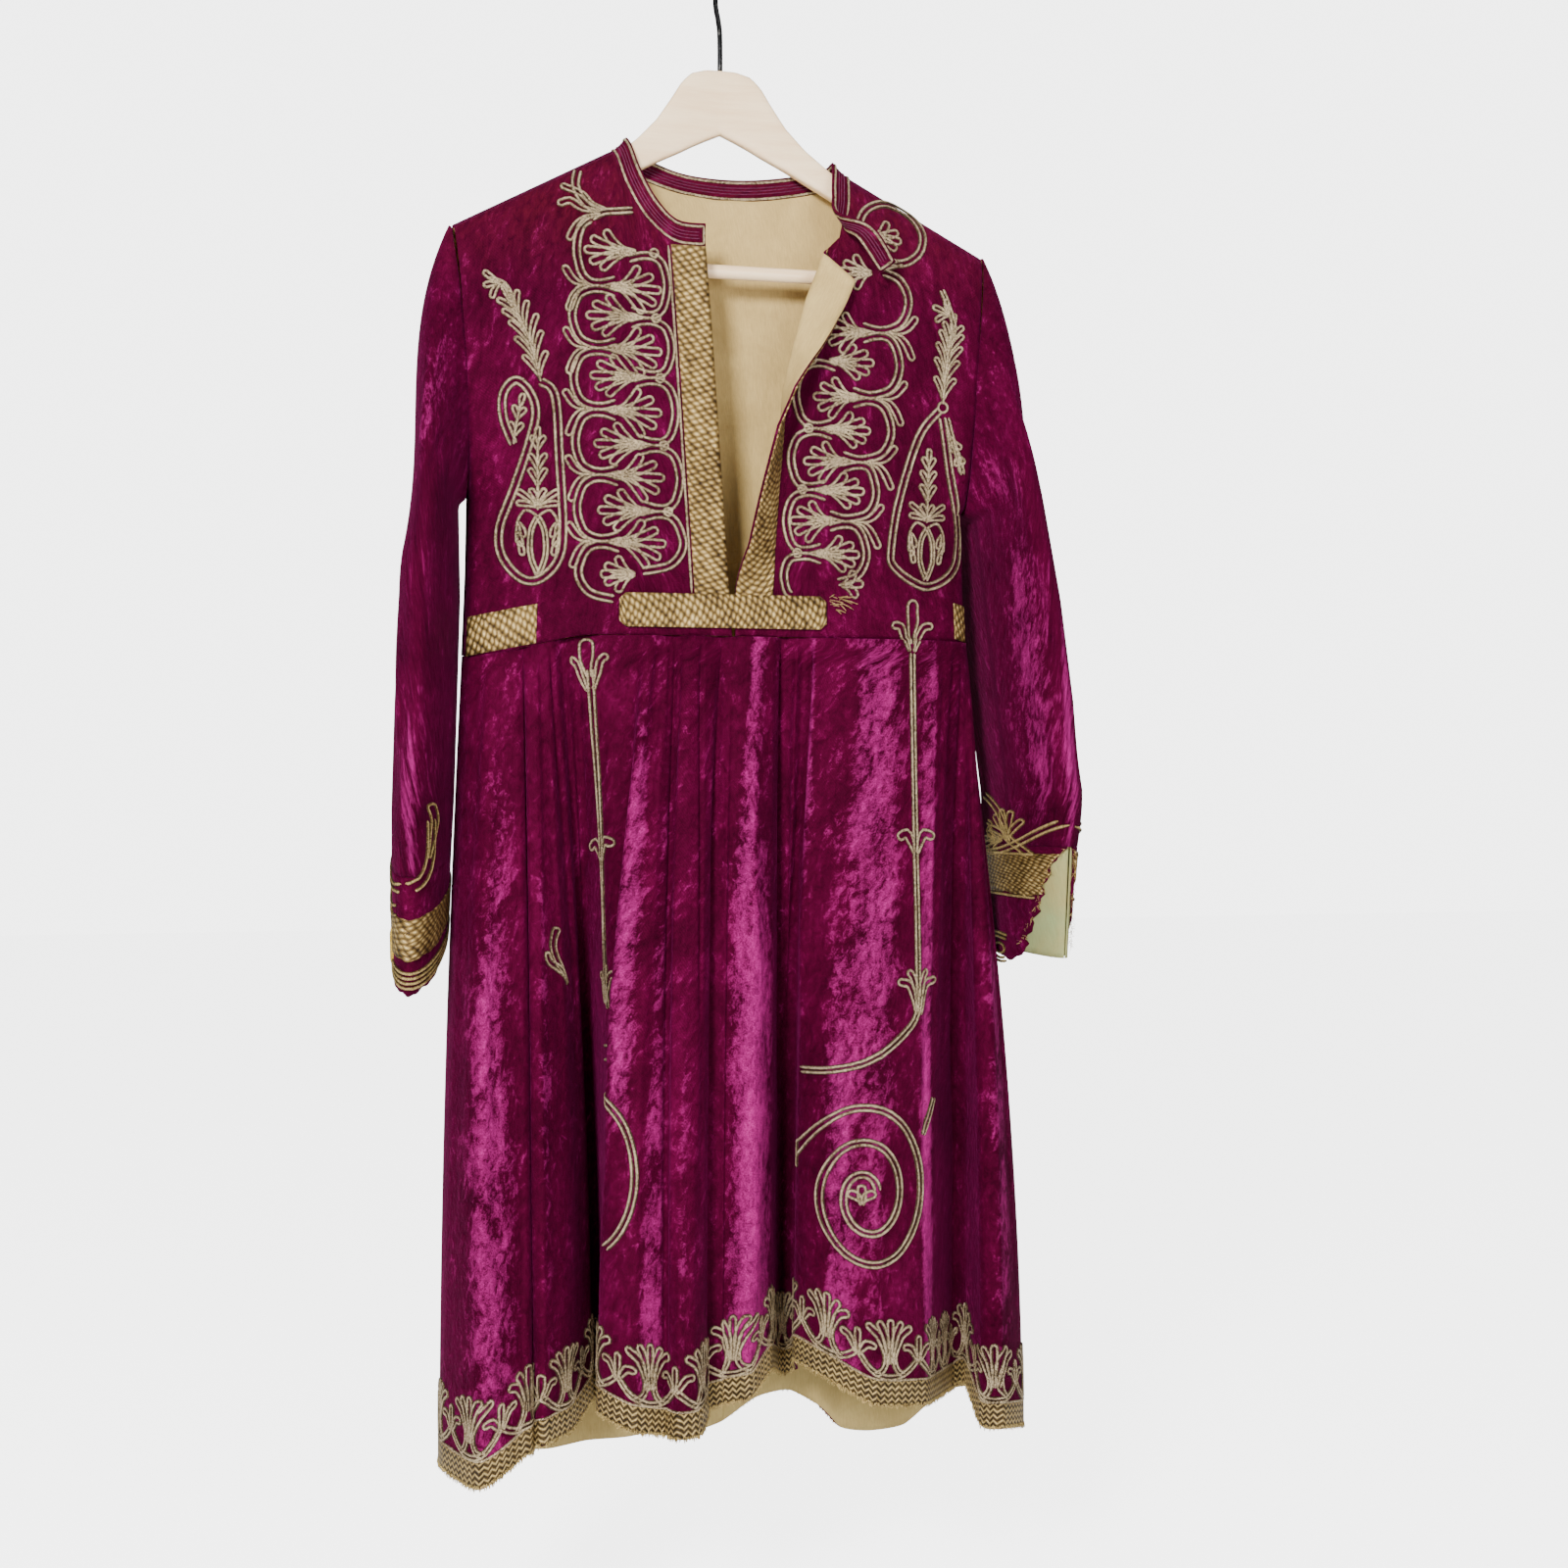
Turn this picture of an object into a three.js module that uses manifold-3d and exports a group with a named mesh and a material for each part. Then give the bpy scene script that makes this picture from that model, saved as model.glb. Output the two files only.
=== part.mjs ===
// An entari: a lined velvet robe with couched metal-thread embroidery, hung on a wooden hanger.
// Millimetres, +Z up.  The origin is the inside top of the hanger's hook.  The front faces -Y, and
// "right" and "left" are the wearer's, so the right-hand pieces lie towards -X.

import * as THREE from 'three';
import Module from 'manifold-3d';

const wasm = await Module();
wasm.setup();

// ---- driving dimensions ------------------------------------------------------------------------

const CLOTH = 2.0;              // velvet with its lining, quilted together
const BRAID = 1.2;              // flat woven metal braid
const CORD_HEIGHT = 2.0;        // couched double cord
const CORD_WIDTH = 8.0;
const SEAM = 0.3;               // gap that parts two pieces at a seam
const LIFT = 0.6;               // gap under what lies on a panel, over its facets
const END_FACE_LEAN = 1.2;      // how far a wall's end face leans out where its seam turns a corner

const SHOULDER_NECK_X = 88;     // neck point of the shoulder line
const SHOULDER_NECK_Z = -150;
const SHOULDER_SLOPE = 0.545;
const SHOULDER_TIP_X = 212;
const NECK_RIDGE_RISE = 0.12;   // the shoulder line flattens between the neck points
const RIDGE_EDGE = 0.02;        // each side stops this far under the shoulder line
const HANGER_SWEEP = 0.058;     // how far the hanger's arms bend forward, per mm from the middle
const SHOULDER_ROUNDING = 28;   // drop in which the cloth rounds over the hanger's arm

const ARMPIT_Z = -425;
const ARMHOLE_MIDDLE_Z = -320;
const ARMHOLE_SOFT_DROP = 150;  // below its middle, the armhole's depth fades out on the body
const ARMHOLE_FRONT_Y = -34;
const ARMHOLE_BACK_Y = 19;
const WAIST_Z = -530;
const WAIST_DROP_RIGHT = 16;    // the robe hangs lower towards its right side
const WAIST_ALLOWANCE = 1.3;    // the waist seam's own depth below the body
const WAIST_HALF = { right: 204, left: 203 };
const SIDE_Y = -2;              // side seams
const BODY_ROUNDNESS = 3.2;     // superellipse power of the body's plan

const FRONT_EDGE = { top: [-19, -227], bottom: [0.5, -530] };
const FRONT_BAND = 31;          // width of the braid beside the opening
const FOLD_RADIUS = 3.6;        // how tightly the left front's edge turns back

const SKIRT_FLARE_POWER = 1.8;  // how soon the skirt reaches its full width below the waist
const SLEEVE_CAP_RINGS = [0, 0.12, 0.28, 0.46, 0.64, 0.82, 1];
const CAP_FULLNESS = 0.35;      // how far the cap stands out over the arm, as a share of its reach

const WOOD_THICKNESS = 11;
const BAR_RADIUS = 5.5;
const BAR_HALF = 184;
const BAR_Z = -240;
const HOOK_WIRE = 2.1;
const HOOK_RADIUS = 17;

// Half width of the body at each height: armhole, then side seam.
const BODY_SIDE = [
  { z: -218, x: 212 }, { z: -260, x: 208 }, { z: -320, x: 204 }, { z: -380, x: 201 },
  { z: -425, x: 200 }, { z: -480, x: 201 }, { z: -530, x: 203 }, { z: -550, x: 204 },
];

// Depth of the middle of the body, front and back.
const BODY_DEPTH = [
  { z: -130, front: -22, back: 16 }, { z: -200, front: -34, back: 21 }, { z: -300, front: -39, back: 23 },
  { z: -420, front: -40, back: 23 }, { z: -550, front: -41, back: 22 },
];

// Neckline of each piece: share of the piece's width, x and z.
const NECK_FRONT_RIGHT = [
  { u: 0, x: -19, z: -227 }, { u: 0.12, x: -44, z: -225 }, { u: 0.22, x: -66, z: -207 },
  { u: 0.3, x: -80, z: -181 }, { u: 0.34, x: -86, z: -157 }, { u: 0.36, x: -88, z: -150 },
];
const NECK_FRONT_LEFT = [
  { u: 0, x: 80, z: -222 }, { u: 0.08, x: 95, z: -207 }, { u: 0.14, x: 100, z: -185 },
  { u: 0.18, x: 102.5, z: -165 }, { u: 0.2, x: 103.5, z: -158.4 },
];
const NECK_BACK = [
  { u: 0.3, x: -88, z: -150 }, { u: 0.31, x: -85, z: -153 }, { u: 0.33, x: -76, z: -158 },
  { u: 0.37, x: -58, z: -166 }, { u: 0.43, x: -30, z: -173 }, { u: 0.5, x: 2, z: -176 },
  { u: 0.57, x: 34, z: -175 }, { u: 0.64, x: 68, z: -170 }, { u: 0.68, x: 90, z: -165 },
  { u: 0.695, x: 100, z: -161.5 }, { u: 0.705, x: 103.5, z: -158.4 },
];

// Left front: the line it folds back on, and how far its edge has turned (degrees) at each height.
const LEFT_FOLD = [
  { z: -222, x: 80, turn: 168 }, { z: -260, x: 65, turn: 160 }, { z: -299, x: 54, turn: 138 },
  { z: -338, x: 45, turn: 98 }, { z: -369, x: 43, turn: 72 }, { z: -415, x: 39, turn: 54 },
  { z: -461, x: 35.5, turn: 36 }, { z: -494, x: 34.5, turn: 0 }, { z: -530, x: 34.5, turn: 0 },
];
const LAPEL_TOP_SLOPE = 0.87;   // the turned-back top edge runs down from the fold
const LAPEL_LEVEL_Z = -330;     // below this the turned-back cloth runs level
const LAPEL_SLOPE_DROP = 100;

// Stand collar: its seam (x, z, and y where it leaves the neckline) and the way its height leans.
const COLLAR = [
  { x: -19, z: -227, side: 'front', dx: 0, dy: 0, dz: 18 },
  { x: -44, z: -225, side: 'front', dx: 3, dy: 1, dz: 18 },
  { x: -66, z: -207, side: 'front', dx: 9, dy: 1, dz: 16 },
  { x: -80, z: -181, side: 'front', dx: 12, dy: 1, dz: 13 },
  { x: -86, z: -157, side: 'front', dx: 12, dy: 1, dz: 12 },
  { x: -88, z: -150, side: 'ridge', dx: 12, dy: 0, dz: 12 },
  { x: -85, z: -153, side: 'back', dx: 11, dy: -1, dz: 13 },
  { x: -76, z: -158, side: 'back', dx: 10, dy: -2, dz: 13 },
  { x: -58, z: -166, side: 'back', dx: 8, dy: -3, dz: 14 },
  { x: -30, z: -173, side: 'back', dx: 3, dy: -3, dz: 15 },
  { x: 2, z: -176, side: 'back', dx: 0, dy: -3, dz: 16 },
  { x: 34, z: -175, side: 'back', dx: -3, dy: -3, dz: 16 },
  { x: 68, z: -170, side: 'back', dx: -7, dy: -3, dz: 15 },
  { x: 90, z: -165, side: 'back', dx: -10, dy: -2, dz: 14 },
  { x: 100, z: -161.5, side: 'back', dx: -12, dy: -1, dz: 13 },
  { x: 103.5, z: -158.4, side: 'ridge', dx: -13, dy: 0, dz: 12 },
  { x: 102.5, z: -165, side: 'front', dx: -14, dy: 0, dz: 11 },
  { x: 100, z: -185, side: 'front', dx: -15, dy: -2, dz: 8 },
  { x: 96, z: -204, side: 'front', dx: -11, dy: -10, dz: 9 },
  { x: 100, z: -219, y: -52, dx: 10, dy: -6, dz: 10 },
  { x: 117, z: -244, y: -53, dx: 12, dy: -3, dz: 9 },
];

// Skirt folds, once round from the right side seam across the front to the left side seam and back:
// where each fold line leaves the waist (wx, wy) and where it reaches the hem (hx, hy, hz).
const SKIRT_FOLDS = [
  { name: 'side_seam_right', wx: -203, wy: 2, hx: -219, hy: 15, hz: -1171 },
  { name: 'outer_edge', wx: -196, wy: -13, hx: -218.5, hy: -25, hz: -1167 },
  { name: 'outer_face', wx: -182, wy: -24, hx: -197, hy: -70, hz: -1168.5 },
  { name: 'outer_inside', wx: -168, wy: -29, hx: -162, hy: -63, hz: -1149 },
  { name: 'outer_crease', wx: -160, wy: -27.5, hx: -155.5, hy: -47, hz: -1148 },
  { name: 'second_edge', wx: -153, wy: -32, hx: -148, hy: -58, hz: -1143 },
  { name: 'second_face', wx: -146, wy: -34, hx: -126, hy: -35, hz: -1140 },
  { name: 'second_inside', wx: -139, wy: -34, hx: -104, hy: 0, hz: -1128 },
  { name: 'right_gap_side', wx: -132, wy: -29, hx: -100, hy: 38, hz: -1138 },
  { name: 'right_gap_deep', wx: -124, wy: -30, hx: -89, hy: 42, hz: -1139 },
  { name: 'stem_face_right', wx: -100, wy: -37, hx: -93, hy: -8, hz: -1125 },
  { name: 'front_edge_right', wx: -66, wy: -42, hx: -108, hy: -70, hz: -1117 },
  { name: 'front_face_right', wx: -51, wy: -38.5, hx: -87, hy: -95, hz: -1126 },
  { name: 'front_pleat_deep', wx: -41, wy: -38, hx: -60, hy: -86, hz: -1134 },
  { name: 'front_pleat_edge', wx: -33, wy: -43, hx: -52, hy: -98, hz: -1134 },
  { name: 'front_pleat_side', wx: -21, wy: -40, hx: -35.5, hy: -91, hz: -1134 },
  { name: 'centre_seam', wx: -7, wy: -37.5, hx: -22, hy: -60, hz: -1125.5 },
  { name: 'centre_fold_side', wx: 2, wy: -41, hx: -10, hy: -52, hz: -1123 },
  { name: 'centre_fold', wx: 15, wy: -43.5, hx: 9, hy: -57, hz: -1118 },
  { name: 'centre_fold_edge', wx: 32, wy: -43, hx: 32, hy: -32, hz: -1105 },
  { name: 'left_gap_side', wx: 41, wy: -37, hx: 49, hy: 14, hz: -1120 },
  { name: 'left_gap_deep', wx: 50, wy: -38, hx: 59, hy: 23, hz: -1124 },
  { name: 'left_gap_return', wx: 59, wy: -38, hx: 66, hy: 12, hz: -1118 },
  { name: 'spiral_edge', wx: 70, wy: -42.5, hx: 54.5, hy: -32, hz: -1098 },
  { name: 'spiral_near', wx: 92, wy: -42, hx: 70, hy: -64, hz: -1104 },
  { name: 'spiral_face', wx: 127, wy: -40, hx: 104, hy: -82, hz: -1123 },
  { name: 'spiral_far', wx: 165, wy: -34, hx: 145, hy: -72, hz: -1129 },
  { name: 'spiral_side', wx: 184, wy: -27, hx: 162, hy: -46, hz: -1134 },
  { name: 'side_gap_deep', wx: 194, wy: -21, hx: 200, hy: 22, hz: -1146 },
  { name: 'side_gap_return', wx: 200, wy: -14, hx: 211, hy: 12, hz: -1140 },
  { name: 'last_edge', wx: 203, wy: -7, hx: 213, hy: -22, hz: -1165 },
  { name: 'last_face', wx: 205, wy: 0, hx: 224, hy: -36, hz: -1164 },
  { name: 'last_side', wx: 205, wy: 8, hx: 248, hy: -12, hz: -1171 },
  { name: 'side_seam_left', wx: 200, wy: 15, hx: 259, hy: 20, hz: -1178 },
  { name: 'back_1', wx: 190, wy: 19, hx: 234, hy: 62, hz: -1158 },
  { name: 'back_2', wx: 172, wy: 22, hx: 203, hy: 52, hz: -1157 },
  { name: 'back_3', wx: 152, wy: 24, hx: 174, hy: 66, hz: -1186 },
  { name: 'back_4', wx: 130, wy: 21.5, hx: 146, hy: 78, hz: -1193 },
  { name: 'back_5', wx: 108, wy: 24.5, hx: 119, hy: 70, hz: -1186 },
  { name: 'back_6', wx: 86, wy: 22, hx: 96, hy: 56, hz: -1162 },
  { name: 'back_7', wx: 64, wy: 25, hx: 72, hy: 62, hz: -1149 },
  { name: 'back_8', wx: 42, wy: 22, hx: 46, hy: 66, hz: -1154 },
  { name: 'centre_back_seam', wx: 20, wy: 25, hx: 20, hy: 80, hz: -1176 },
  { name: 'back_9', wx: -4, wy: 22.5, hx: -8, hy: 70, hz: -1180 },
  { name: 'back_10', wx: -28, wy: 25, hx: -36, hy: 58, hz: -1173 },
  { name: 'back_11', wx: -52, wy: 22, hx: -64, hy: 68, hz: -1180 },
  { name: 'back_12', wx: -76, wy: 25, hx: -95, hy: 80, hz: -1184 },
  { name: 'back_13', wx: -102, wy: 22, hx: -127, hy: 66, hz: -1184 },
  { name: 'back_14', wx: -128, wy: 24, hx: -158, hy: 50, hz: -1178 },
  { name: 'back_15', wx: -154, wy: 21, hx: -187, hy: 58, hz: -1176 },
  { name: 'back_16', wx: -184, wy: 17, hx: -209, hy: 40, hz: -1174 },
];

// The skirt's pieces, between two fold lines.
const SKIRT_PIECES = [
  { name: 'skirt_side_right', from: 'side_seam_right', to: 'outer_crease' },
  { name: 'skirt_front_right', from: 'outer_crease', to: 'centre_seam' },
  { name: 'skirt_front_left', from: 'centre_seam', to: 'side_gap_deep' },
  { name: 'skirt_side_left', from: 'side_gap_deep', to: 'side_seam_left' },
  { name: 'skirt_back_left', from: 'side_seam_left', to: 'centre_back_seam' },
  { name: 'skirt_back_right', from: 'centre_back_seam', to: 'side_seam_right' },
];
const HEM_SHARE = 0.968;        // share of the skirt's height above its band
const SKIRT_HEIGHTS = [0, 0.09, 0.22, 0.38, 0.56, 0.76, HEM_SHARE, 1];

// Sleeves below the armpit: the flattened tube's middle, half length in plan, half thickness, the turn
// of its plane (degrees) and the slant of its rings (rise per mm towards the back).
const SLEEVE_RIGHT = [
  { z: -432, x: -225, a: 85, b: 16, turn: 9, slant: 0 },
  { z: -500, x: -228, a: 80, b: 19, turn: 12, slant: 0 },
  { z: -580, x: -231.5, a: 75, b: 20, turn: 13, slant: 0.03 },
  { z: -660, x: -234, a: 68, b: 20, turn: 14, slant: 0.12 },
  { z: -700, x: -235, a: 65, b: 19, turn: 14, slant: 0.2 },
  { z: -771, x: -236, a: 58, b: 17, turn: 14, slant: 0.5 },
];
const SLEEVE_LEFT = [
  { z: -432, x: 230, a: 83, b: 16, turn: -5, slant: 0 },
  { z: -500, x: 241, a: 79, b: 19, turn: -7, slant: 0 },
  { z: -580, x: 252, a: 75, b: 20, turn: -8, slant: 0 },
  { z: -650, x: 259, a: 71, b: 19, turn: -9, slant: 0 },
  { z: -695, x: 258, a: 67, b: 19, turn: -9, slant: 0 },
  { z: -793, x: 258, a: 60, b: 14, turn: -8, slant: 0.06 },
];
// The bands at the side seams: share of the body's half width where they end, and their tilt in mm a share.
const SIDE_BAND = { end: 0.985, tilt: -39 };
const CUFF_TOP = { right: -700, left: -695 };
const SLEEVE_SIDES = 16;        // faces round a sleeve

const OUT_LOW = CLOTH / 2 + LIFT;
const OUT_HIGH = OUT_LOW + BRAID;
const SKIRT_CORD_LOW = OUT_LOW + 1.2;   // cords bridge the skirt's folds

// ---- helpers -----------------------------------------------------------------------------------

const lerp = (a, b, t) => a + (b - a) * t;
const clamp = (value, low, high) => Math.min(high, Math.max(low, value));
const smooth = (t) => {
  const s = clamp(t, 0, 1);
  return s * s * (3 - 2 * s);
};
const radians = (degrees) => degrees * Math.PI / 180;
const vec = (x, y, z) => new THREE.Vector3(x, y, z);

// Value of a column at a key, by straight lines between a table's rows (the key runs one way).
function column(table, key, name, at) {
  const rising = table[table.length - 1][key] > table[0][key];
  const past = (row) => (rising ? row[key] >= at : row[key] <= at);
  let k = table.findIndex(past);
  if (k === 0) k = 1;
  if (k < 0) k = table.length - 1;
  const [low, high] = [table[k - 1], table[k]];
  const t = clamp((at - low[key]) / (high[key] - low[key]), 0, 1);
  return lerp(low[name], high[name], t);
}

// Value of a column at a fractional row of a table that runs round, by a slackened spline.
function spline(table, name, at) {
  const SLACK = 0.32;
  const count = table.length;
  const row = (k) => table[((k % count) + count) % count][name];
  const k = Math.floor(at);
  const t = at - k;
  const [p0, p1, p2, p3] = [row(k - 1), row(k), row(k + 1), row(k + 2)];
  const m1 = (p2 - p0) * SLACK;
  const m2 = (p3 - p1) * SLACK;
  const t2 = t * t;
  const t3 = t2 * t;
  return (2 * t3 - 3 * t2 + 1) * p1 + (t3 - 2 * t2 + t) * m1 + (-2 * t3 + 3 * t2) * p2 + (t3 - t2) * m2;
}

// A closed geometry from points and quads, turned right side out.
function solidFromQuads(points, quads, triangles = []) {
  const index = [];
  for (const [a, b, c, d] of quads) index.push(a, b, c, a, c, d);
  for (const triangle of triangles) index.push(...triangle);
  let volume = 0;
  for (let i = 0; i < index.length; i += 3) {
    volume += points[index[i]].dot(points[index[i + 1]].clone().cross(points[index[i + 2]]));
  }
  if (volume < 0) {
    for (let i = 0; i < index.length; i += 3) [index[i + 1], index[i + 2]] = [index[i + 2], index[i + 1]];
  }
  const geometry = new THREE.BufferGeometry();
  geometry.setAttribute('position', new THREE.Float32BufferAttribute(points.flatMap((p) => p.toArray()), 3));
  geometry.setIndex(index);
  geometry.computeVertexNormals();
  return geometry;
}

// A wall between two skins of the same grid.  Closed grids run round in their columns.
function wallBetween(outer, inner, closed = false) {
  const rows = outer.length;
  const cols = outer[0].length;
  const points = [...outer.flat(), ...inner.flat()];
  const at = (skin, r, c) => skin * rows * cols + r * cols + (c % cols);
  const lastCol = closed ? cols : cols - 1;
  const quads = [];
  for (let r = 0; r < rows - 1; r++) {
    for (let c = 0; c < lastCol; c++) {
      quads.push([at(0, r, c), at(0, r, c + 1), at(0, r + 1, c + 1), at(0, r + 1, c)]);
      quads.push([at(1, r, c), at(1, r + 1, c), at(1, r + 1, c + 1), at(1, r, c + 1)]);
    }
  }
  for (let c = 0; c < lastCol; c++) {
    quads.push([at(0, 0, c), at(1, 0, c), at(1, 0, c + 1), at(0, 0, c + 1)]);
    quads.push([at(0, rows - 1, c), at(0, rows - 1, c + 1), at(1, rows - 1, c + 1), at(1, rows - 1, c)]);
  }
  if (!closed) {
    for (let r = 0; r < rows - 1; r++) {
      quads.push([at(0, r, 0), at(0, r + 1, 0), at(1, r + 1, 0), at(1, r, 0)]);
      quads.push([at(0, r, cols - 1), at(1, r, cols - 1), at(1, r + 1, cols - 1), at(0, r + 1, cols - 1)]);
    }
  }
  return solidFromQuads(points, quads);
}

// A wall on a surface: surface(u, v) gives { point, normal }, and the wall lies from low to high along
// the normal.
function wallOn(surface, us, vs, low, high, closed = false) {
  const skin = (lift) => vs.map((v) => us.map((u) => {
    const { point, normal } = surface(u, v);
    return point.clone().addScaledVector(normal, lift);
  }));
  return wallBetween(skin(high), skin(low), closed);
}

// A ribbon along a line on a surface: place(k) gives { point, normal } at each of its points.
function ribbon(places, widths, lift, height, closed = false) {
  const count = places.length;
  const rings = places.map(({ point, normal }, k) => {
    const before = places[closed ? (k - 1 + count) % count : Math.max(k - 1, 0)].point;
    const after = places[closed ? (k + 1) % count : Math.min(k + 1, count - 1)].point;
    const half = (Array.isArray(widths) ? widths[k] : widths) / 2;
    const side = after.clone().sub(before).cross(normal).normalize().multiplyScalar(half);
    const foot = point.clone().addScaledVector(normal, lift);
    const top = point.clone().addScaledVector(normal, lift + height);
    return [foot.clone().sub(side), foot.clone().add(side), top.clone().add(side), top.clone().sub(side)];
  });
  return loft(rings, closed);
}

// A solid through rings of equal count, capped unless it closes on itself.
function loft(rings, closed = false) {
  const sides = rings[0].length;
  const points = rings.flat();
  const quads = [];
  const triangles = [];
  const last = closed ? rings.length : rings.length - 1;
  const at = (r, c) => (r % rings.length) * sides + (c % sides);
  for (let r = 0; r < last; r++) {
    for (let c = 0; c < sides; c++) quads.push([at(r, c), at(r, c + 1), at(r + 1, c + 1), at(r + 1, c)]);
  }
  if (!closed) {
    for (let c = 1; c < sides - 1; c++) {
      triangles.push([at(0, 0), at(0, c + 1), at(0, c)]);
      triangles.push([at(rings.length - 1, 0), at(rings.length - 1, c), at(rings.length - 1, c + 1)]);
    }
  }
  return solidFromQuads(points, quads, triangles);
}

function toManifold(geometry) {
  const { index, attributes } = geometry;
  return new wasm.Manifold(new wasm.Mesh({
    numProp: 3,
    vertProperties: Float32Array.from(attributes.position.array),
    triVerts: Uint32Array.from(index.array),
  }));
}

function fromManifold(manifold) {
  const mesh = manifold.getMesh();
  const geometry = new THREE.BufferGeometry();
  geometry.setAttribute('position', new THREE.BufferAttribute(mesh.vertProperties, 3));
  geometry.setIndex(new THREE.BufferAttribute(mesh.triVerts, 1));
  geometry.computeVertexNormals();
  return geometry;
}

const SLIVER = 0.08;            // joins are cleaned of edges shorter than this

function unite(geometries) {
  const joined = geometries.map(toManifold).reduce((sum, next) => sum.add(next));
  return fromManifold(joined.simplify(SLIVER));
}

// ---- the body's surface ------------------------------------------------------------------------

const ridgeY = (x) => -HANGER_SWEEP * Math.abs(x);

function ridgeZ(x) {
  const out = Math.abs(x) - SHOULDER_NECK_X;
  return SHOULDER_NECK_Z - out * (out > 0 ? SHOULDER_SLOPE : NECK_RIDGE_RISE);
}

const waistZ = (x) => WAIST_Z - WAIST_DROP_RIGHT * smooth((-x - 100) / 100);

// Depth of the body's front or back at a place in its elevation.
function bodyY(side, x, z) {
  const front = side === 'front';
  const half = column(BODY_SIDE, 'z', 'x', z);
  const q = Math.min(Math.abs(x) / half, 0.99997);
  const belowMiddle = clamp((ARMHOLE_MIDDLE_Z - z) / (ARMHOLE_MIDDLE_Z - ARMPIT_Z), 0, 1);
  const soft = 1 - smooth((ARMHOLE_MIDDLE_Z - z) / ARMHOLE_SOFT_DROP);
  const armhole = lerp(soft, Math.sqrt(1 - belowMiddle ** 2), smooth((q - 0.88) / 0.12));
  const edge = front ? ARMHOLE_FRONT_Y : ARMHOLE_BACK_Y;
  const middle = column(BODY_DEPTH, 'z', side, z);
  const share = 1 - q ** BODY_ROUNDNESS;
  const seamed = lerp(SIDE_Y, middle, Math.sqrt(share));
  const open = lerp(edge, middle, share);
  const full = lerp(seamed, open, armhole);
  const drop = Math.max(ridgeZ(x) - z, RIDGE_EDGE);
  const rounded = Math.sqrt(1 - Math.exp(-drop / SHOULDER_ROUNDING));
  return ridgeY(x) + (full - ridgeY(x)) * rounded;
}

// A place on the body, with the normal that points out of the cloth.
function onBody(side, x, height) {
  const STEP = 0.01;
  const z = Math.min(height, ridgeZ(x) - RIDGE_EDGE);
  const inward = -Math.sign(x || 1) * STEP;
  const y = bodyY(side, x, z);
  const slopeX = (bodyY(side, x + inward, z) - y) / inward;
  const slopeZ = (y - bodyY(side, x, z - STEP)) / STEP;
  const sign = side === 'front' ? -1 : 1;
  return { point: vec(x, y, z), normal: vec(-slopeX * sign, sign, -slopeZ * sign).normalize() };
}

// Elevation of a piece between four edges, each a function that gives [x, z].
function coons(top, bottom, start, end) {
  return (u, v) => [0, 1].map((axis) => {
    const across = lerp(top(u)[axis], bottom(u)[axis], v);
    const down = lerp(start(v)[axis], end(v)[axis], u);
    const corners = lerp(lerp(top(0)[axis], top(1)[axis], u), lerp(bottom(0)[axis], bottom(1)[axis], u), v);
    return across + down - corners;
  });
}

function neckAndShoulder(neck, u) {
  const last = neck[neck.length - 1];
  if (u <= last.u) return [column(neck, 'u', 'x', u), column(neck, 'u', 'z', u)];
  const x = Math.sign(last.x) * lerp(Math.abs(last.x), SHOULDER_TIP_X, (u - last.u) / (1 - last.u));
  return [x, ridgeZ(x)];
}

function sideEdge(sign, v) {
  const top = ridgeZ(SHOULDER_TIP_X);
  const bottom = waistZ(sign * SHOULDER_TIP_X);
  const z = lerp(top, bottom, v);
  return [sign * column(BODY_SIDE, 'z', 'x', z), z];
}

function foldLine(v) {
  const z = lerp(LEFT_FOLD[0].z, WAIST_Z, v);
  return [column(LEFT_FOLD, 'z', 'x', z), z];
}

const waistLine = (from, to) => (u) => {
  const x = lerp(from, to, u);
  return [x, waistZ(x)];
};

const frontEdgeX = (z) => {
  const { top, bottom } = FRONT_EDGE;
  return lerp(top[0], bottom[0], (z - top[1]) / (bottom[1] - top[1]));
};

const PIECE_ROWS = [0, 0.03, 0.08, 0.16, 0.27, 0.39, 0.5, 0.59, 0.66, 0.73, 0.81, 0.9, 1];
const BAND_ROWS = PIECE_ROWS.slice(0, -1);
const OUTER_COLUMNS = [0.5, 0.64, 0.76, 0.86, 0.93, 0.975, 1];

function frontRight() {
  const { top, bottom } = FRONT_EDGE;
  const waist = waistLine(bottom[0], -WAIST_HALF.right);
  const elevation = coons((u) => neckAndShoulder(NECK_FRONT_RIGHT, u), waist,
    (v) => [lerp(top[0], bottom[0], v), lerp(top[1], bottom[1], v)], (v) => sideEdge(-1, v));
  return wallOn((u, v) => onBody('front', ...elevation(u, v)),
    [...NECK_FRONT_RIGHT.map((row) => row.u), ...OUTER_COLUMNS], PIECE_ROWS, -CLOTH / 2, CLOTH / 2);
}

// The turned edge of the left front: distance s from the fold line, at a height.
function onLeftEdge(s, z) {
  const x = column(LEFT_FOLD, 'z', 'x', z);
  const turn = radians(column(LEFT_FOLD, 'z', 'turn', z));
  const arc = Math.min(s / FOLD_RADIUS, turn);
  const straight = Math.max(s - turn * FOLD_RADIUS, 0);
  const across = -FOLD_RADIUS * Math.sin(arc) - straight * Math.cos(turn);
  const forward = -FOLD_RADIUS * (1 - Math.cos(arc)) - straight * Math.sin(turn);
  const lower = s * LAPEL_TOP_SLOPE * smooth((z - LAPEL_LEVEL_Z) / LAPEL_SLOPE_DROP);
  return {
    point: vec(x + across, bodyY('front', x, z) + forward, z - lower),
    normal: vec(Math.sin(arc), -Math.cos(arc), 0),
  };
}

const LEFT_EDGE_STEPS = [FRONT_BAND, 20, 10.6, 7.6, 4.8, 2.2];

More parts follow.
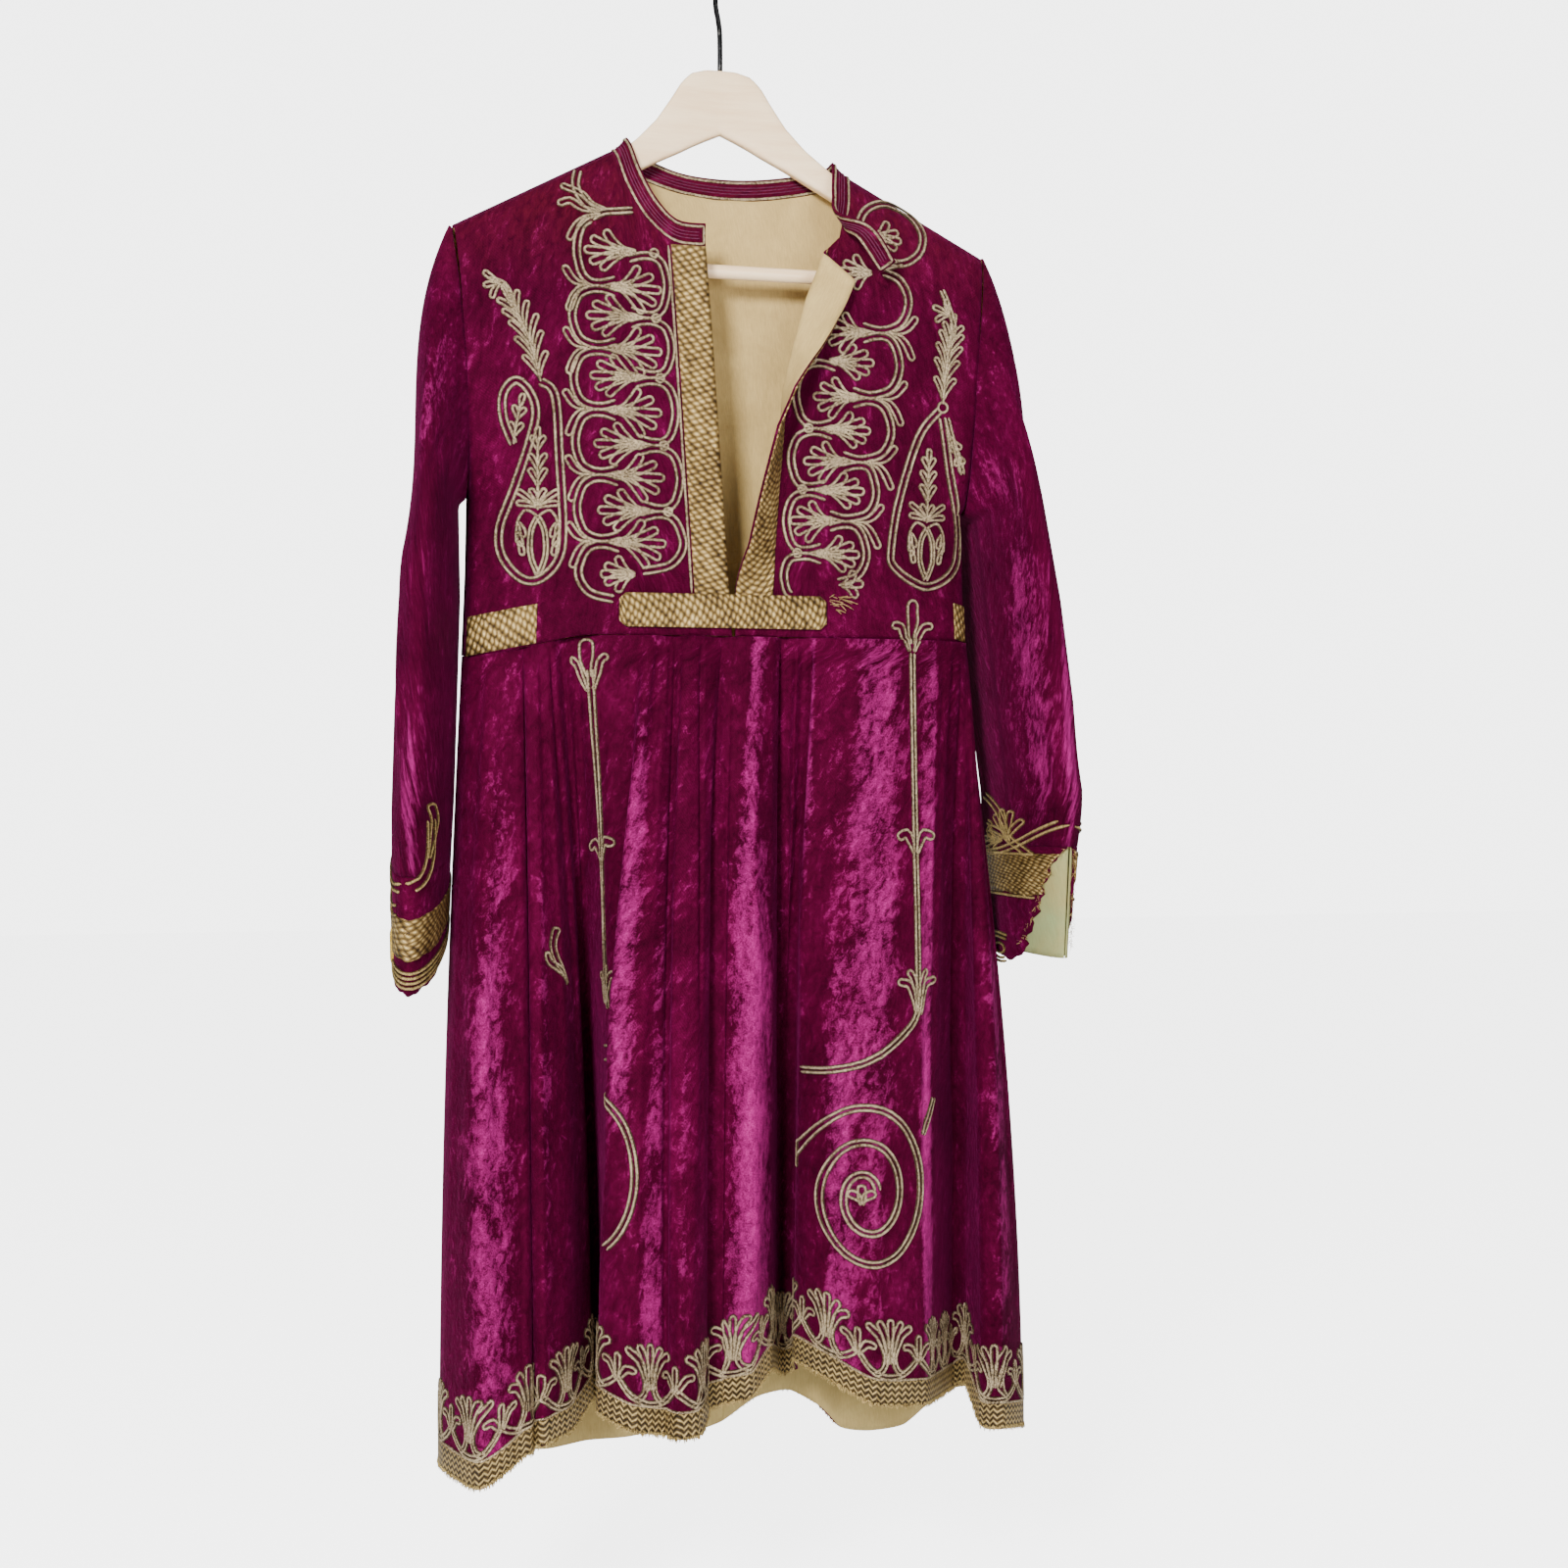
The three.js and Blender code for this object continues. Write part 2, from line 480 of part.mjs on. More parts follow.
function frontLeft() {
  const waist = waistLine(foldLine(1)[0], WAIST_HALF.left);
  const elevation = coons((u) => neckAndShoulder(NECK_FRONT_LEFT, u), waist, foldLine, (v) => sideEdge(1, v));
  const turned = LEFT_EDGE_STEPS.map((s) => -s);
  const us = [...turned, ...NECK_FRONT_LEFT.map((row) => row.u), 0.34, ...OUTER_COLUMNS];
  const surface = (u, v) => (u < 0 ? onLeftEdge(-u, foldLine(v)[1]) : onBody('front', ...elevation(u, v)));
  return wallOn(surface, us, PIECE_ROWS, -CLOTH / 2, CLOTH / 2);
}

function backBodice() {
  const top = (u) => {
    const first = NECK_BACK[0];
    const last = NECK_BACK[NECK_BACK.length - 1];
    if (u >= first.u && u <= last.u) return [column(NECK_BACK, 'u', 'x', u), column(NECK_BACK, 'u', 'z', u)];
    const x = u < first.u ? lerp(-SHOULDER_TIP_X, first.x, u / first.u)
      : lerp(last.x, SHOULDER_TIP_X, (u - last.u) / (1 - last.u));
    return [x, ridgeZ(x)];
  };
  const waist = waistLine(-WAIST_HALF.right, WAIST_HALF.left);
  const elevation = coons(top, waist, (v) => sideEdge(-1, v), (v) => sideEdge(1, v));
  const edge = [0, 0.012, 0.04, 0.09, 0.18];
  const us = [...edge, ...NECK_BACK.map((row) => row.u), ...edge.map((u) => 1 - u).reverse()];
  return wallOn((u, v) => onBody('back', ...elevation(u, v)), us, PIECE_ROWS, -CLOTH / 2, CLOTH / 2);
}

// ---- the skirt's surface -----------------------------------------------------------------------

const COLUMNS_PER_FOLD = 2;
const SKIRT_FLARE = SKIRT_HEIGHTS.map((v) => ({ v, flare: 1 - (1 - v) ** SKIRT_FLARE_POWER }));
const foldIndex = (name) => SKIRT_FOLDS.findIndex((fold) => fold.name === name);

// Between two columns the cloth runs straight.
function skirtPoint(t, v) {
  const k = Math.floor(t * COLUMNS_PER_FOLD) / COLUMNS_PER_FOLD;
  const share = (t - k) * COLUMNS_PER_FOLD;
  return skirtNode(k, v).lerp(skirtNode(k + 1 / COLUMNS_PER_FOLD, v), share);
}

function skirtNode(t, v) {
  const flare = column(SKIRT_FLARE, 'v', 'flare', v);
  const [wx, wy, hx, hy, hz] = ['wx', 'wy', 'hx', 'hy', 'hz'].map((name) => spline(SKIRT_FOLDS, name, t));
  const top = waistZ(wx) - SEAM - WAIST_ALLOWANCE;
  return vec(lerp(wx, hx, flare), lerp(wy, hy, flare), lerp(top, hz, v));
}

function onSkirt(t, v) {
  const STEP = 0.01;
  const point = skirtPoint(t, v);
  const alongT = skirtPoint(t + STEP, v).sub(skirtPoint(t - STEP, v));
  const low = Math.min(v + STEP, 1);
  const high = Math.max(v - STEP, 0);
  const alongV = skirtPoint(t, low).sub(skirtPoint(t, high));
  return { point, normal: alongV.cross(alongT).normalize() };
}

// A place on the skirt given by x and z, between two fold lines where x rises.
function onSkirtAt(x, z, from, to) {
  let v = 0.5;
  let t = (from + to) / 2;
  for (let pass = 0; pass < 6; pass++) {
    let [low, high] = [from, to];
    for (let k = 0; k < 24; k++) {
      t = (low + high) / 2;
      const short = skirtPoint(t, v).x < x;
      low = short ? t : low;
      high = short ? high : t;
    }
    v = clamp((skirtPoint(t, 0).z - z) / (skirtPoint(t, 0).z - skirtPoint(t, 1).z), 0, 1);
  }
  return onSkirt(t, v);
}

// Columns of a skirt piece; the end columns stand back from the seam by trim.
function skirtGrid(piece, trim) {
  const from = foldIndex(piece.from);
  let to = foldIndex(piece.to);
  if (to <= from) to += SKIRT_FOLDS.length;
  const steps = (to - from) * COLUMNS_PER_FOLD;
  const ts = Array.from({ length: steps + 1 }, (_, k) => from + k / COLUMNS_PER_FOLD);
  const surface = (t, v) => {
    const place = onSkirt(t, v);
    const inward = t === from ? 1 : t === to ? -1 : 0;
    if (inward) {
      const way = skirtPoint(t + inward * 0.02, v).sub(place.point).normalize();
      place.point.addScaledVector(way, trim);
    }
    return place;
  };
  return { surface, ts };
}

function skirtPiece(piece) {
  const { surface, ts } = skirtGrid(piece, SEAM);
  return wallOn(surface, ts, SKIRT_HEIGHTS, -CLOTH / 2, CLOTH / 2);
}

function hemBand(piece) {
  const { surface, ts } = skirtGrid(piece, BRAID);
  return wallOn(surface, ts, [HEM_SHARE, 0.9985], OUT_LOW, OUT_HIGH);
}

// ---- sleeves -----------------------------------------------------------------------------------

// The armhole seam: angle 0 at the armpit, going round by the front.
function armhole(sign, angle) {
  const middle = (ridgeZ(SHOULDER_TIP_X) + ARMPIT_Z) / 2;
  const half = (ridgeZ(SHOULDER_TIP_X) - ARMPIT_Z) / 2;
  const z = middle - half * Math.cos(angle);
  const x = sign * column(BODY_SIDE, 'z', 'x', z);
  const y = bodyY(Math.sin(angle) >= 0 ? 'front' : 'back', x, z);
  const gap = 4 * SEAM + END_FACE_LEAN * Math.abs(Math.cos(angle));
  return vec(x + sign * gap, y, z);
}

// A ring of the flattened sleeve at a height; angle 0 faces the body.
function sleeveRing(table, sign, angle, z) {
  const value = (name) => column(table, 'z', name, z);
  const turn = radians(value('turn'));
  const across = -sign * value('b') * Math.cos(angle);
  const along = -value('a') * Math.sin(angle);
  const x = value('x') + across * Math.cos(turn) + along * Math.sin(turn);
  const y = ridgeY(value('x')) / 2 + along * Math.cos(turn) - across * Math.sin(turn);
  return vec(x, y, z + value('slant') * y);
}

// From the armhole, the cap of the sleeve sweeps out over the arm and turns down into its first level
// ring.
function sleeveCap(table, sign, angle, s) {
  const start = armhole(sign, angle);
  const end = sleeveRing(table, sign, angle, table[0].z);
  const reach = start.distanceTo(end);
  const down = sleeveRing(table, sign, angle, table[1].z).sub(end).setLength(reach);
  const leave = end.clone().sub(start);
  leave.x += sign * reach * CAP_FULLNESS * (1 - Math.cos(angle)) / 2;
  const s2 = s * s;
  const s3 = s2 * s;
  return start.multiplyScalar(2 * s3 - 3 * s2 + 1)
    .addScaledVector(leave, s3 - 2 * s2 + s)
    .addScaledVector(end, 3 * s2 - 2 * s3)
    .addScaledVector(down, s3 - s2);
}

// A sleeve's surface by the angle round it and the share of its length.
function sleevePlace(pointAt, sign) {
  const STEP = 0.01;
  return (angle, s) => {
    const alongAngle = pointAt(angle + STEP, s).sub(pointAt(angle - STEP, s));
    const alongLength = pointAt(angle, Math.min(s + STEP, 1)).sub(pointAt(angle, Math.max(s - STEP, 0)));
    const normal = alongLength.cross(alongAngle).setLength(sign);
    return { point: pointAt(angle, s), normal };
  };
}

const ROUND = Array.from({ length: SLEEVE_SIDES }, (_, k) => 2 * Math.PI * k / SLEEVE_SIDES);

function sleeveUpper(table, sign) {
  const surface = sleevePlace((angle, s) => sleeveCap(table, sign, angle, s), sign);
  return wallOn(surface, ROUND, SLEEVE_CAP_RINGS, -CLOTH / 2, CLOTH / 2, true);
}

function sleeveTube(table, sign, cuffTop) {
  const top = table[0].z - SEAM - END_FACE_LEAN;
  const share = (s) => lerp(top, cuffTop, s);
  const surface = sleevePlace((angle, s) => sleeveRing(table, sign, angle, share(s)), sign);
  return wallOn(surface, ROUND, [0, 0.2, 0.4, 0.6, 0.8, 1], -CLOTH / 2, CLOTH / 2, true);
}

const SLIT = { right: Math.PI * 1.5, left: Math.PI * 0.5 };
const SLIT_GAP = 0.09;          // half the slit's width, as an angle round the cuff
const CUFF_BAND = { right: [0.35, 0.7], left: [0.06, 0.42] }; // the band's edges, by the cuff's height

function cuffSurface(table, sign, cuffTop) {
  const top = cuffTop - 2 * SEAM;
  const end = table[table.length - 1].z;
  return sleevePlace((angle, s) => sleeveRing(table, sign, angle, lerp(top, end, s)), sign);
}

function cuffAngles(slit) {
  return Array.from({ length: SLEEVE_SIDES + 1 }, (_, k) => (
    slit + SLIT_GAP + (2 * Math.PI - 2 * SLIT_GAP) * k / SLEEVE_SIDES));
}

function cuff(table, sign, cuffTop, slit, band) {
  const surface = cuffSurface(table, sign, cuffTop);
  return wallOn(surface, cuffAngles(slit), [0, ...band, 1], -CLOTH / 2, CLOTH / 2);
}

function cuffBand(table, sign, cuffTop, slit, band) {
  return wallOn(cuffSurface(table, sign, cuffTop), cuffAngles(slit), band, OUT_LOW, OUT_HIGH);
}

// ---- collar, braids ----------------------------------------------------------------------------

function collar() {
  const stations = COLLAR.map((row) => {
    const y = row.y ?? (row.side === 'ridge' ? ridgeY(row.x) : bodyY(row.side, row.x, row.z));
    const rise = vec(row.dx, row.dy, row.dz);
    const foot = vec(row.x, y, row.z).addScaledVector(rise.clone().normalize(), SEAM + CLOTH / 2);
    return { foot, rise };
  });
  const skins = [1, -1].map((skin) => [0, 1].map((level) => stations.map(({ foot, rise }, k) => {
    const before = stations[Math.max(k - 1, 0)].foot;
    const after = stations[Math.min(k + 1, stations.length - 1)].foot;
    const normal = after.clone().sub(before).cross(rise).normalize();
    return foot.clone().addScaledVector(rise, level).addScaledVector(normal, skin * CLOTH / 2);
  })));
  return wallBetween(skins[0], skins[1]);
}

function braidFrontRight() {
  const { top, bottom } = FRONT_EDGE;
  const heights = BAND_ROWS.map((v) => lerp(top[1], bottom[1], v) - SEAM);
  const surface = (s, z) => onBody('front', frontEdgeX(z) - s, z);
  return wallOn(surface, [0.6, 16, FRONT_BAND], heights, OUT_LOW, OUT_HIGH);
}

function braidFrontLeft() {
  const heights = BAND_ROWS.map((v) => foldLine(v)[1]);
  return wallOn(onLeftEdge, LEFT_EDGE_STEPS, heights, OUT_LOW, OUT_HIGH);
}

// The waist band ends in blunt points, and a tab reaches a little past each.
function braidWaist() {
  const half = 13;
  const middle = -511;
  const ends = [[-88, 4], [-82, 12], [-40, half], [2, half], [38, half], [70, 12], [76, 4]];
  const places = ends.map(([x]) => onBody('front', x, middle));
  const lift = OUT_HIGH + 2 * SEAM;
  return ribbon(places, ends.map(([, h]) => 2 * h), lift, BRAID);
}

// The waist's side bands run from the side seam round onto the front.
function braidSide(sign, top, bottom, start) {
  const shares = Array.from({ length: 8 }, (_, k) => start + (SIDE_BAND.end - start) * k / 7);
  return wallOn((share, z) => onBody('front', sign * share * column(BODY_SIDE, 'z', 'x', z),
    z + SIDE_BAND.tilt * (share - SIDE_BAND.end)),
    shares, [top, (top + bottom) / 2, bottom], OUT_LOW, OUT_HIGH);
}

// ---- couched embroidery ------------------------------------------------------------------------

// The scrolling vine of each front: the heights where its outer and inner arcs meet, with the x of the
// meeting and of the arc that bulges below it.
const VINE_RIGHT = {
  outer: [{ z: -208, x: -106, bulge: -118 }, { z: -263, x: -103, bulge: -126 },
    { z: -311, x: -103, bulge: -126 },
    { z: -358, x: -103, bulge: -123 }, { z: -408, x: -101, bulge: -121 }, { z: -459, x: -101, bulge: -118 },
    { z: -493, x: -92, bulge: -92 }],
  inner: [{ z: -235, x: -66, bulge: -55 }, { z: -286, x: -64, bulge: -51.5 },
    { z: -332, x: -62, bulge: -48.5 },
    { z: -384, x: -59, bulge: -45 }, { z: -435, x: -56, bulge: -42.5 }, { z: -484, x: -72, bulge: -72 }],
};
const VINE_LEFT = {
  outer: [{ z: -190, x: 119, bulge: 157 }, { z: -236, x: 120, bulge: 148 }, { z: -288, x: 117, bulge: 140 },
    { z: -340, x: 111, bulge: 134 }, { z: -391, x: 101, bulge: 121 }, { z: -438, x: 89, bulge: 113 },
    { z: -489, x: 84, bulge: 84 }],
  inner: [{ z: -312, x: 70, bulge: 53 }, { z: -366, x: 72, bulge: 49 }, { z: -414, x: 62, bulge: 45 },
    { z: -464, x: 58, bulge: 43 }, { z: -490, x: 52, bulge: 52 }],
};
const LEAF_WIDTHS = [6, 24, 8];
const LEAF_LENGTH = 37;
const OUTER_LEAF_LENGTH = 15;
const OUTER_LEAF_WIDTHS = [6, 12, 16];
const LEAF_ROOT = 2;            // each leaf starts this far behind its root
const LEAF_LIFTS = { outer: 0.25, inner: 0.42, outside: 0.34 };  // leaves lie over each other

function leafOn(place, x, z, angle, length, widths = LEAF_WIDTHS, lift = LEAF_LIFTS.outer) {
  const places = widths.map((_, k) => {
    const reach = length * k / (widths.length - 1);
    return place(x + reach * Math.cos(angle), z + reach * Math.sin(angle));
  });
  return ribbon(places, widths, OUT_LOW + lift, CORD_HEIGHT - 0.5);
}

// One chain of arcs, from meeting to meeting.
function arcChain(place, chain) {
  const STEPS = 5;
  const line = [];
  chain.slice(0, -1).forEach((row, k) => {
    const next = chain[k + 1];
    for (let i = 0; i < STEPS; i++) {
      const share = i / STEPS;
      const reach = row.bulge - lerp(row.x, next.x, share);
      const x = lerp(row.x, next.x, share) + reach * Math.sin(Math.PI * share) ** 0.7;
      line.push([x, lerp(row.z, next.z, share)]);
    }
  });
  const last = chain[chain.length - 1];
  line.push([last.x, last.z]);
  return ribbon(line.map(([x, z]) => place(x, z)), CORD_WIDTH, OUT_LOW, CORD_HEIGHT);
}

// A scrolling vine: two chains of arcs, with a fan leaf from each meeting into the other chain's bend.
function vine(sign, { outer, inner }) {
  const place = (x, z) => onBody('front', x, z);
  const pieces = [arcChain(place, outer), arcChain(place, inner)];
  const leaf = ({ x, z }, way, length, widths, lift) => {
    const angle = way > 0 ? 0 : Math.PI;
    pieces.push(leafOn(place, x - way * LEAF_ROOT, z, angle, length, widths, lift));
  };
  const reach = (chain, { x, z }) => {
    const arc = chain.find((row, k) => k < chain.length - 1 && z < row.z && z > chain[k + 1].z);
    return arc ? Math.abs(arc.bulge - x) + LEAF_ROOT : LEAF_LENGTH;
  };
  for (const meeting of outer.slice(1, -1)) {
    leaf(meeting, -sign, reach(inner, meeting), LEAF_WIDTHS, LEAF_LIFTS.outer);
    leaf(meeting, sign, OUTER_LEAF_LENGTH, OUTER_LEAF_WIDTHS, LEAF_LIFTS.outside);
  }
  for (const meeting of inner.slice(0, -1)) {
    leaf(meeting, sign, reach(outer, meeting), LEAF_WIDTHS, LEAF_LIFTS.inner);
  }
  return unite(pieces);
}

// A teardrop outline, with a spray inside and a sprig over its point.
function teardrop(x, bottom, height, half, sprig) {
  const place = (px, pz) => onBody('front', px, pz);
  const around = 28;
  const outline = Array.from({ length: around }, (_, k) => {
    const angle = 2 * Math.PI * k / around;
    const up = (1 - Math.cos(angle)) / 2;
    const width = half * Math.sin(angle) * Math.sqrt(1 - up * 0.92);
    return place(x + width, bottom + height * up ** 0.82);
  });
  const loop = ribbon(outline, CORD_WIDTH - 1, OUT_LOW, CORD_HEIGHT, true);
  const spray = leafOn(place, x, bottom - 1, Math.PI / 2, height * 0.58, [6, 12, 20, 26, 18, 6]);
  const over = leafOn(place, x, bottom + height - 4, sprig.angle, sprig.length, [6, 8, 18, 12, 16, 8, 12, 5]);
  return unite([loop, spray, over]);
}

// A spiral of cord, wound in from its outer end.
function spiralOn(place, centre, outer, inner, turns, startAngle, steps) {
  const places = Array.from({ length: steps + 1 }, (_, k) => {
    const share = k / steps;
    const angle = startAngle + 2 * Math.PI * turns * share;
    const radius = lerp(outer, inner, share ** 0.85);
    return place(centre[0] + radius * Math.cos(angle), centre[1] + radius * 1.25 * Math.sin(angle));
  });
  return ribbon(places, CORD_WIDTH, SKIRT_CORD_LOW, CORD_HEIGHT);
}

// A straight stem with a pair of leaves at each fan: its height, length and spread.
function stemOn(place, fans, from, to, steps) {
  const line = Array.from({ length: steps + 1 }, (_, k) => place(0, lerp(from, to, k / steps)));
  const pieces = [ribbon(line, CORD_WIDTH - 1, SKIRT_CORD_LOW, CORD_HEIGHT)];
  for (const { z, length, spread } of fans) {
    for (const side of [-1, 1]) {
      const leaf = [0, 0.35, 0.7, 1].map((share) => place(side * spread * share ** 1.4, z + length * share));
      pieces.push(ribbon(leaf, [5, 7, 8, 5], SKIRT_CORD_LOW + 0.25, CORD_HEIGHT - 0.5));
    }
  }
  return unite(pieces);
}

const SPIRAL_PANEL = ['spiral_edge', 'spiral_side'].map(foldIndex);
const FRONT_PANEL = ['front_edge_right', 'front_face_right'].map(foldIndex);
const STEM_RIGHT = { from: foldIndex('right_gap_deep') + 0.5, drift: 0.75 };  // in fold lines, waist to foot

function stemLeft() {
  const place = (dx, z) => onSkirtAt(149 + dx, z, ...SPIRAL_PANEL);
  const fans = [
    { z: -562, length: 28, spread: 15 }, { z: -700, length: 22, spread: 13 },
    { z: -824, length: 24, spread: 15 },
  ];
  return stemOn(place, fans, -538, -832, 12);
}

function stemRight() {
  const place = (dx, z) => {
    const down = (WAIST_Z - z) / 600;
    const t = STEM_RIGHT.from + STEM_RIGHT.drift * down / 0.5;
    const perFold = skirtPoint(t + 0.5, down).distanceTo(skirtPoint(t - 0.5, down));
    return onSkirt(t + dx / perFold, down);
  };
  const fans = [
    { z: -580, length: 24, spread: 8 }, { z: -716, length: 20, spread: 8 },
    { z: -812, length: 18, spread: 11 },
  ];
  return stemOn(place, fans, -552, -822, 12);
}

function spiralLeft() {
  const place = (x, z) => onSkirtAt(x, z, ...SPIRAL_PANEL);
  return spiralOn(place, [106, -958], 48, 12, 2.1, Math.PI * 0.55, 44);
}

function spiralRight() {
  const arc = Array.from({ length: 12 }, (_, k) => {
    const angle = lerp(0.92, -0.92, k / 11);
    return onSkirtAt(-134 + 52 * Math.cos(angle), -938 + 72 * Math.sin(angle), ...FRONT_PANEL);
  });
  return ribbon(arc, CORD_WIDTH - 2, SKIRT_CORD_LOW, CORD_HEIGHT);
}

// ---- hanger ------------------------------------------------------------------------------------

// Top and underside of the hanger, from its middle out.
const HANGER = [
  { x: 0, top: -78, bottom: -129 }, { x: 12, top: -78.5, bottom: -134.5 },
  { x: 24, top: -82, bottom: -140.5 },
  { x: 32, top: -90, bottom: -145 }, { x: 40, top: -103, bottom: -149 }, { x: 52, top: -121, bottom: -155 },
  { x: 68, top: -138, bottom: -164 }, { x: 88, top: -154, bottom: -175 },
  { x: 120, top: -171.5, bottom: -194 },
  { x: 155, top: -190.5, bottom: -217 }, { x: 180, top: -204, bottom: -248 },
  { x: 200, top: -215, bottom: -250 },
  { x: 207, top: -222, bottom: -243 },
];

function hangerWood() {
  const EDGE = 3.2;
  const ring = (x, top, bottom) => {
    const y = ridgeY(x);
    const half = WOOD_THICKNESS / 2;
    const profile = [[-half + EDGE, top], [half - EDGE, top], [half, top - EDGE], [half, bottom + EDGE],
      [half - EDGE, bottom], [-half + EDGE, bottom], [-half, bottom + EDGE], [-half, top - EDGE]];
    return profile.map(([dy, z]) => vec(x, y + dy, z));
  };
  const left = HANGER.map((row) => ring(row.x, row.top, row.bottom));
  const right = HANGER.slice(1).reverse().map((row) => ring(-row.x, row.top, row.bottom));
  const arms = toManifold(loft([...right, ...left]));
  const bore = new THREE.CylinderGeometry(BAR_RADIUS + SEAM, BAR_RADIUS + SEAM, 2 * (BAR_HALF + SEAM), 12);
  bore.rotateZ(Math.PI / 2).translate(0, ridgeY(BAR_HALF), BAR_Z);
  return fromManifold(arms.subtract(toManifold(weld(bore))));
}

// A library geometry with only its positions, shared between faces.
function weld(geometry) {
  const { position } = geometry.attributes;
  const seen = new Map();
  const points = [];
  const remap = [];
  for (let i = 0; i < position.count; i++) {
    const p = vec().fromBufferAttribute(position, i);
    const key = p.toArray().map((value) => Math.round(value * 1000)).join();
    if (!seen.has(key)) {
      seen.set(key, points.length);
      points.push(p);
    }
    remap.push(seen.get(key));
  }
  const source = geometry.index ? [...geometry.index.array] : remap.map((_, i) => i);
  const triangles = [];
  for (let i = 0; i < source.length; i += 3) {
    const triangle = [remap[source[i]], remap[source[i + 1]], remap[source[i + 2]]];
    if (new Set(triangle).size === 3) triangles.push(triangle);
  }
  return solidFromQuads(points, [], triangles);
}

function hangerBar() {
  const bar = new THREE.CylinderGeometry(BAR_RADIUS, BAR_RADIUS, 2 * BAR_HALF, 12);
  bar.rotateZ(Math.PI / 2).translate(0, ridgeY(BAR_HALF), BAR_Z);
  return weld(bar);
}

function hangerHook() {
  const arcTop = HOOK_WIRE - HOOK_RADIUS;
  const arc = Array.from({ length: 9 }, (_, k) => {
    const angle = radians(lerp(-35, 205, k / 8));
    return vec(0, HOOK_RADIUS * Math.cos(angle), arcTop + HOOK_RADIUS * Math.sin(angle));
  });
  const stem = [vec(0, 0, HANGER[0].top + SEAM), vec(0, 0, -62), vec(0, 1.5, -46), vec(0, 8, -33)];
  const extrudePath = new THREE.CatmullRomCurve3([...stem, ...arc]);
  const corners = Array.from({ length: 8 }, (_, k) => (
    new THREE.Vector2(HOOK_WIRE * Math.cos(k * Math.PI / 4), HOOK_WIRE * Math.sin(k * Math.PI / 4))));
  const wire = new THREE.Shape(corners);
  return weld(new THREE.ExtrudeGeometry(wire, { steps: 32, extrudePath, bevelEnabled: false }));
}

// ---- the model ---------------------------------------------------------------------------------

const VELVET = { color: 0x6b0f3a, roughness: 0.85, metalness: 0 };
const GOLD_BRAID = { color: 0xa98b4c, roughness: 0.5, metalness: 0.6 };
const GOLD_CORD = { color: 0xcbb89a, roughness: 0.45, metalness: 0.6 };
const WOOD = { color: 0xe8cfa8, roughness: 0.6, metalness: 0 };
const WIRE = { color: 0x151515, roughness: 0.4, metalness: 0.8 };

const entari = new THREE.Group();
entari.name = 'entari';

function add(name, geometry, finish) {
  const mesh = new THREE.Mesh(geometry, new THREE.MeshStandardMaterial(finish));
  mesh.name = name;
  entari.add(mesh);
}

add('hanger_hook', hangerHook(), WIRE);
add('hanger_wood', hangerWood(), WOOD);
add('hanger_bar', hangerBar(), WOOD);

add('collar', collar(), VELVET);
add('front_right', frontRight(), VELVET);
add('front_left', frontLeft(), VELVET);
add('back_bodice', backBodice(), VELVET);

for (const piece of SKIRT_PIECES) {
  add(piece.name, skirtPiece(piece), VELVET);
  add(piece.name.replace('skirt', 'hem_band'), hemBand(piece), GOLD_BRAID);
}

for (const [side, table, sign] of [['right', SLEEVE_RIGHT, -1], ['left', SLEEVE_LEFT, 1]]) {
  const cuffTop = CUFF_TOP[side];
  add(`sleeve_upper_${side}`, sleeveUpper(table, sign), VELVET);
  add(`sleeve_lower_${side}`, sleeveTube(table, sign, cuffTop), VELVET);
  const place = [table, sign, cuffTop, SLIT[side], CUFF_BAND[side]];
  add(`cuff_${side}`, cuff(...place), VELVET);
  add(`cuff_band_${side}`, cuffBand(...place), GOLD_BRAID);
}

add('braid_front_right', braidFrontRight(), GOLD_BRAID);
add('braid_front_left', braidFrontLeft(), GOLD_BRAID);
add('braid_waist', braidWaist(), GOLD_BRAID);
add('braid_side_right', braidSide(-1, -517, -547, 0.74), GOLD_BRAID);
add('braid_side_left', braidSide(1, -501, -530, 0.93), GOLD_BRAID);

add('vine_right', vine(-1, VINE_RIGHT), GOLD_CORD);
add('vine_left', vine(1, VINE_LEFT), GOLD_CORD);
add('teardrop_right', teardrop(-155, -496, 150, 24, { angle: radians(108), length: 92 }), GOLD_CORD);
add('teardrop_left', teardrop(163, -490, 148, 26, { angle: radians(80), length: 88 }), GOLD_CORD);
add('stem_right', stemRight(), GOLD_CORD);
add('stem_left', stemLeft(), GOLD_CORD);
add('spiral_right', spiralRight(), GOLD_CORD);
add('spiral_left', spiralLeft(), GOLD_CORD);

export default entari;
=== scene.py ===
"""An entari: a lined velvet robe with couched metal-thread embroidery, hung on a wooden hanger.

Sizes are in millimetres in the classes below and become metres where a mesh is made. The origin is the
inside top of the hanger's hook, +Z is up and the front faces -Y. "right" and "left" are the wearer's,
so the right-hand pieces lie towards -X.
"""
import logging
import math
import random
from dataclasses import dataclass, field
from enum import Enum
from typing import Callable, Iterable, Sequence

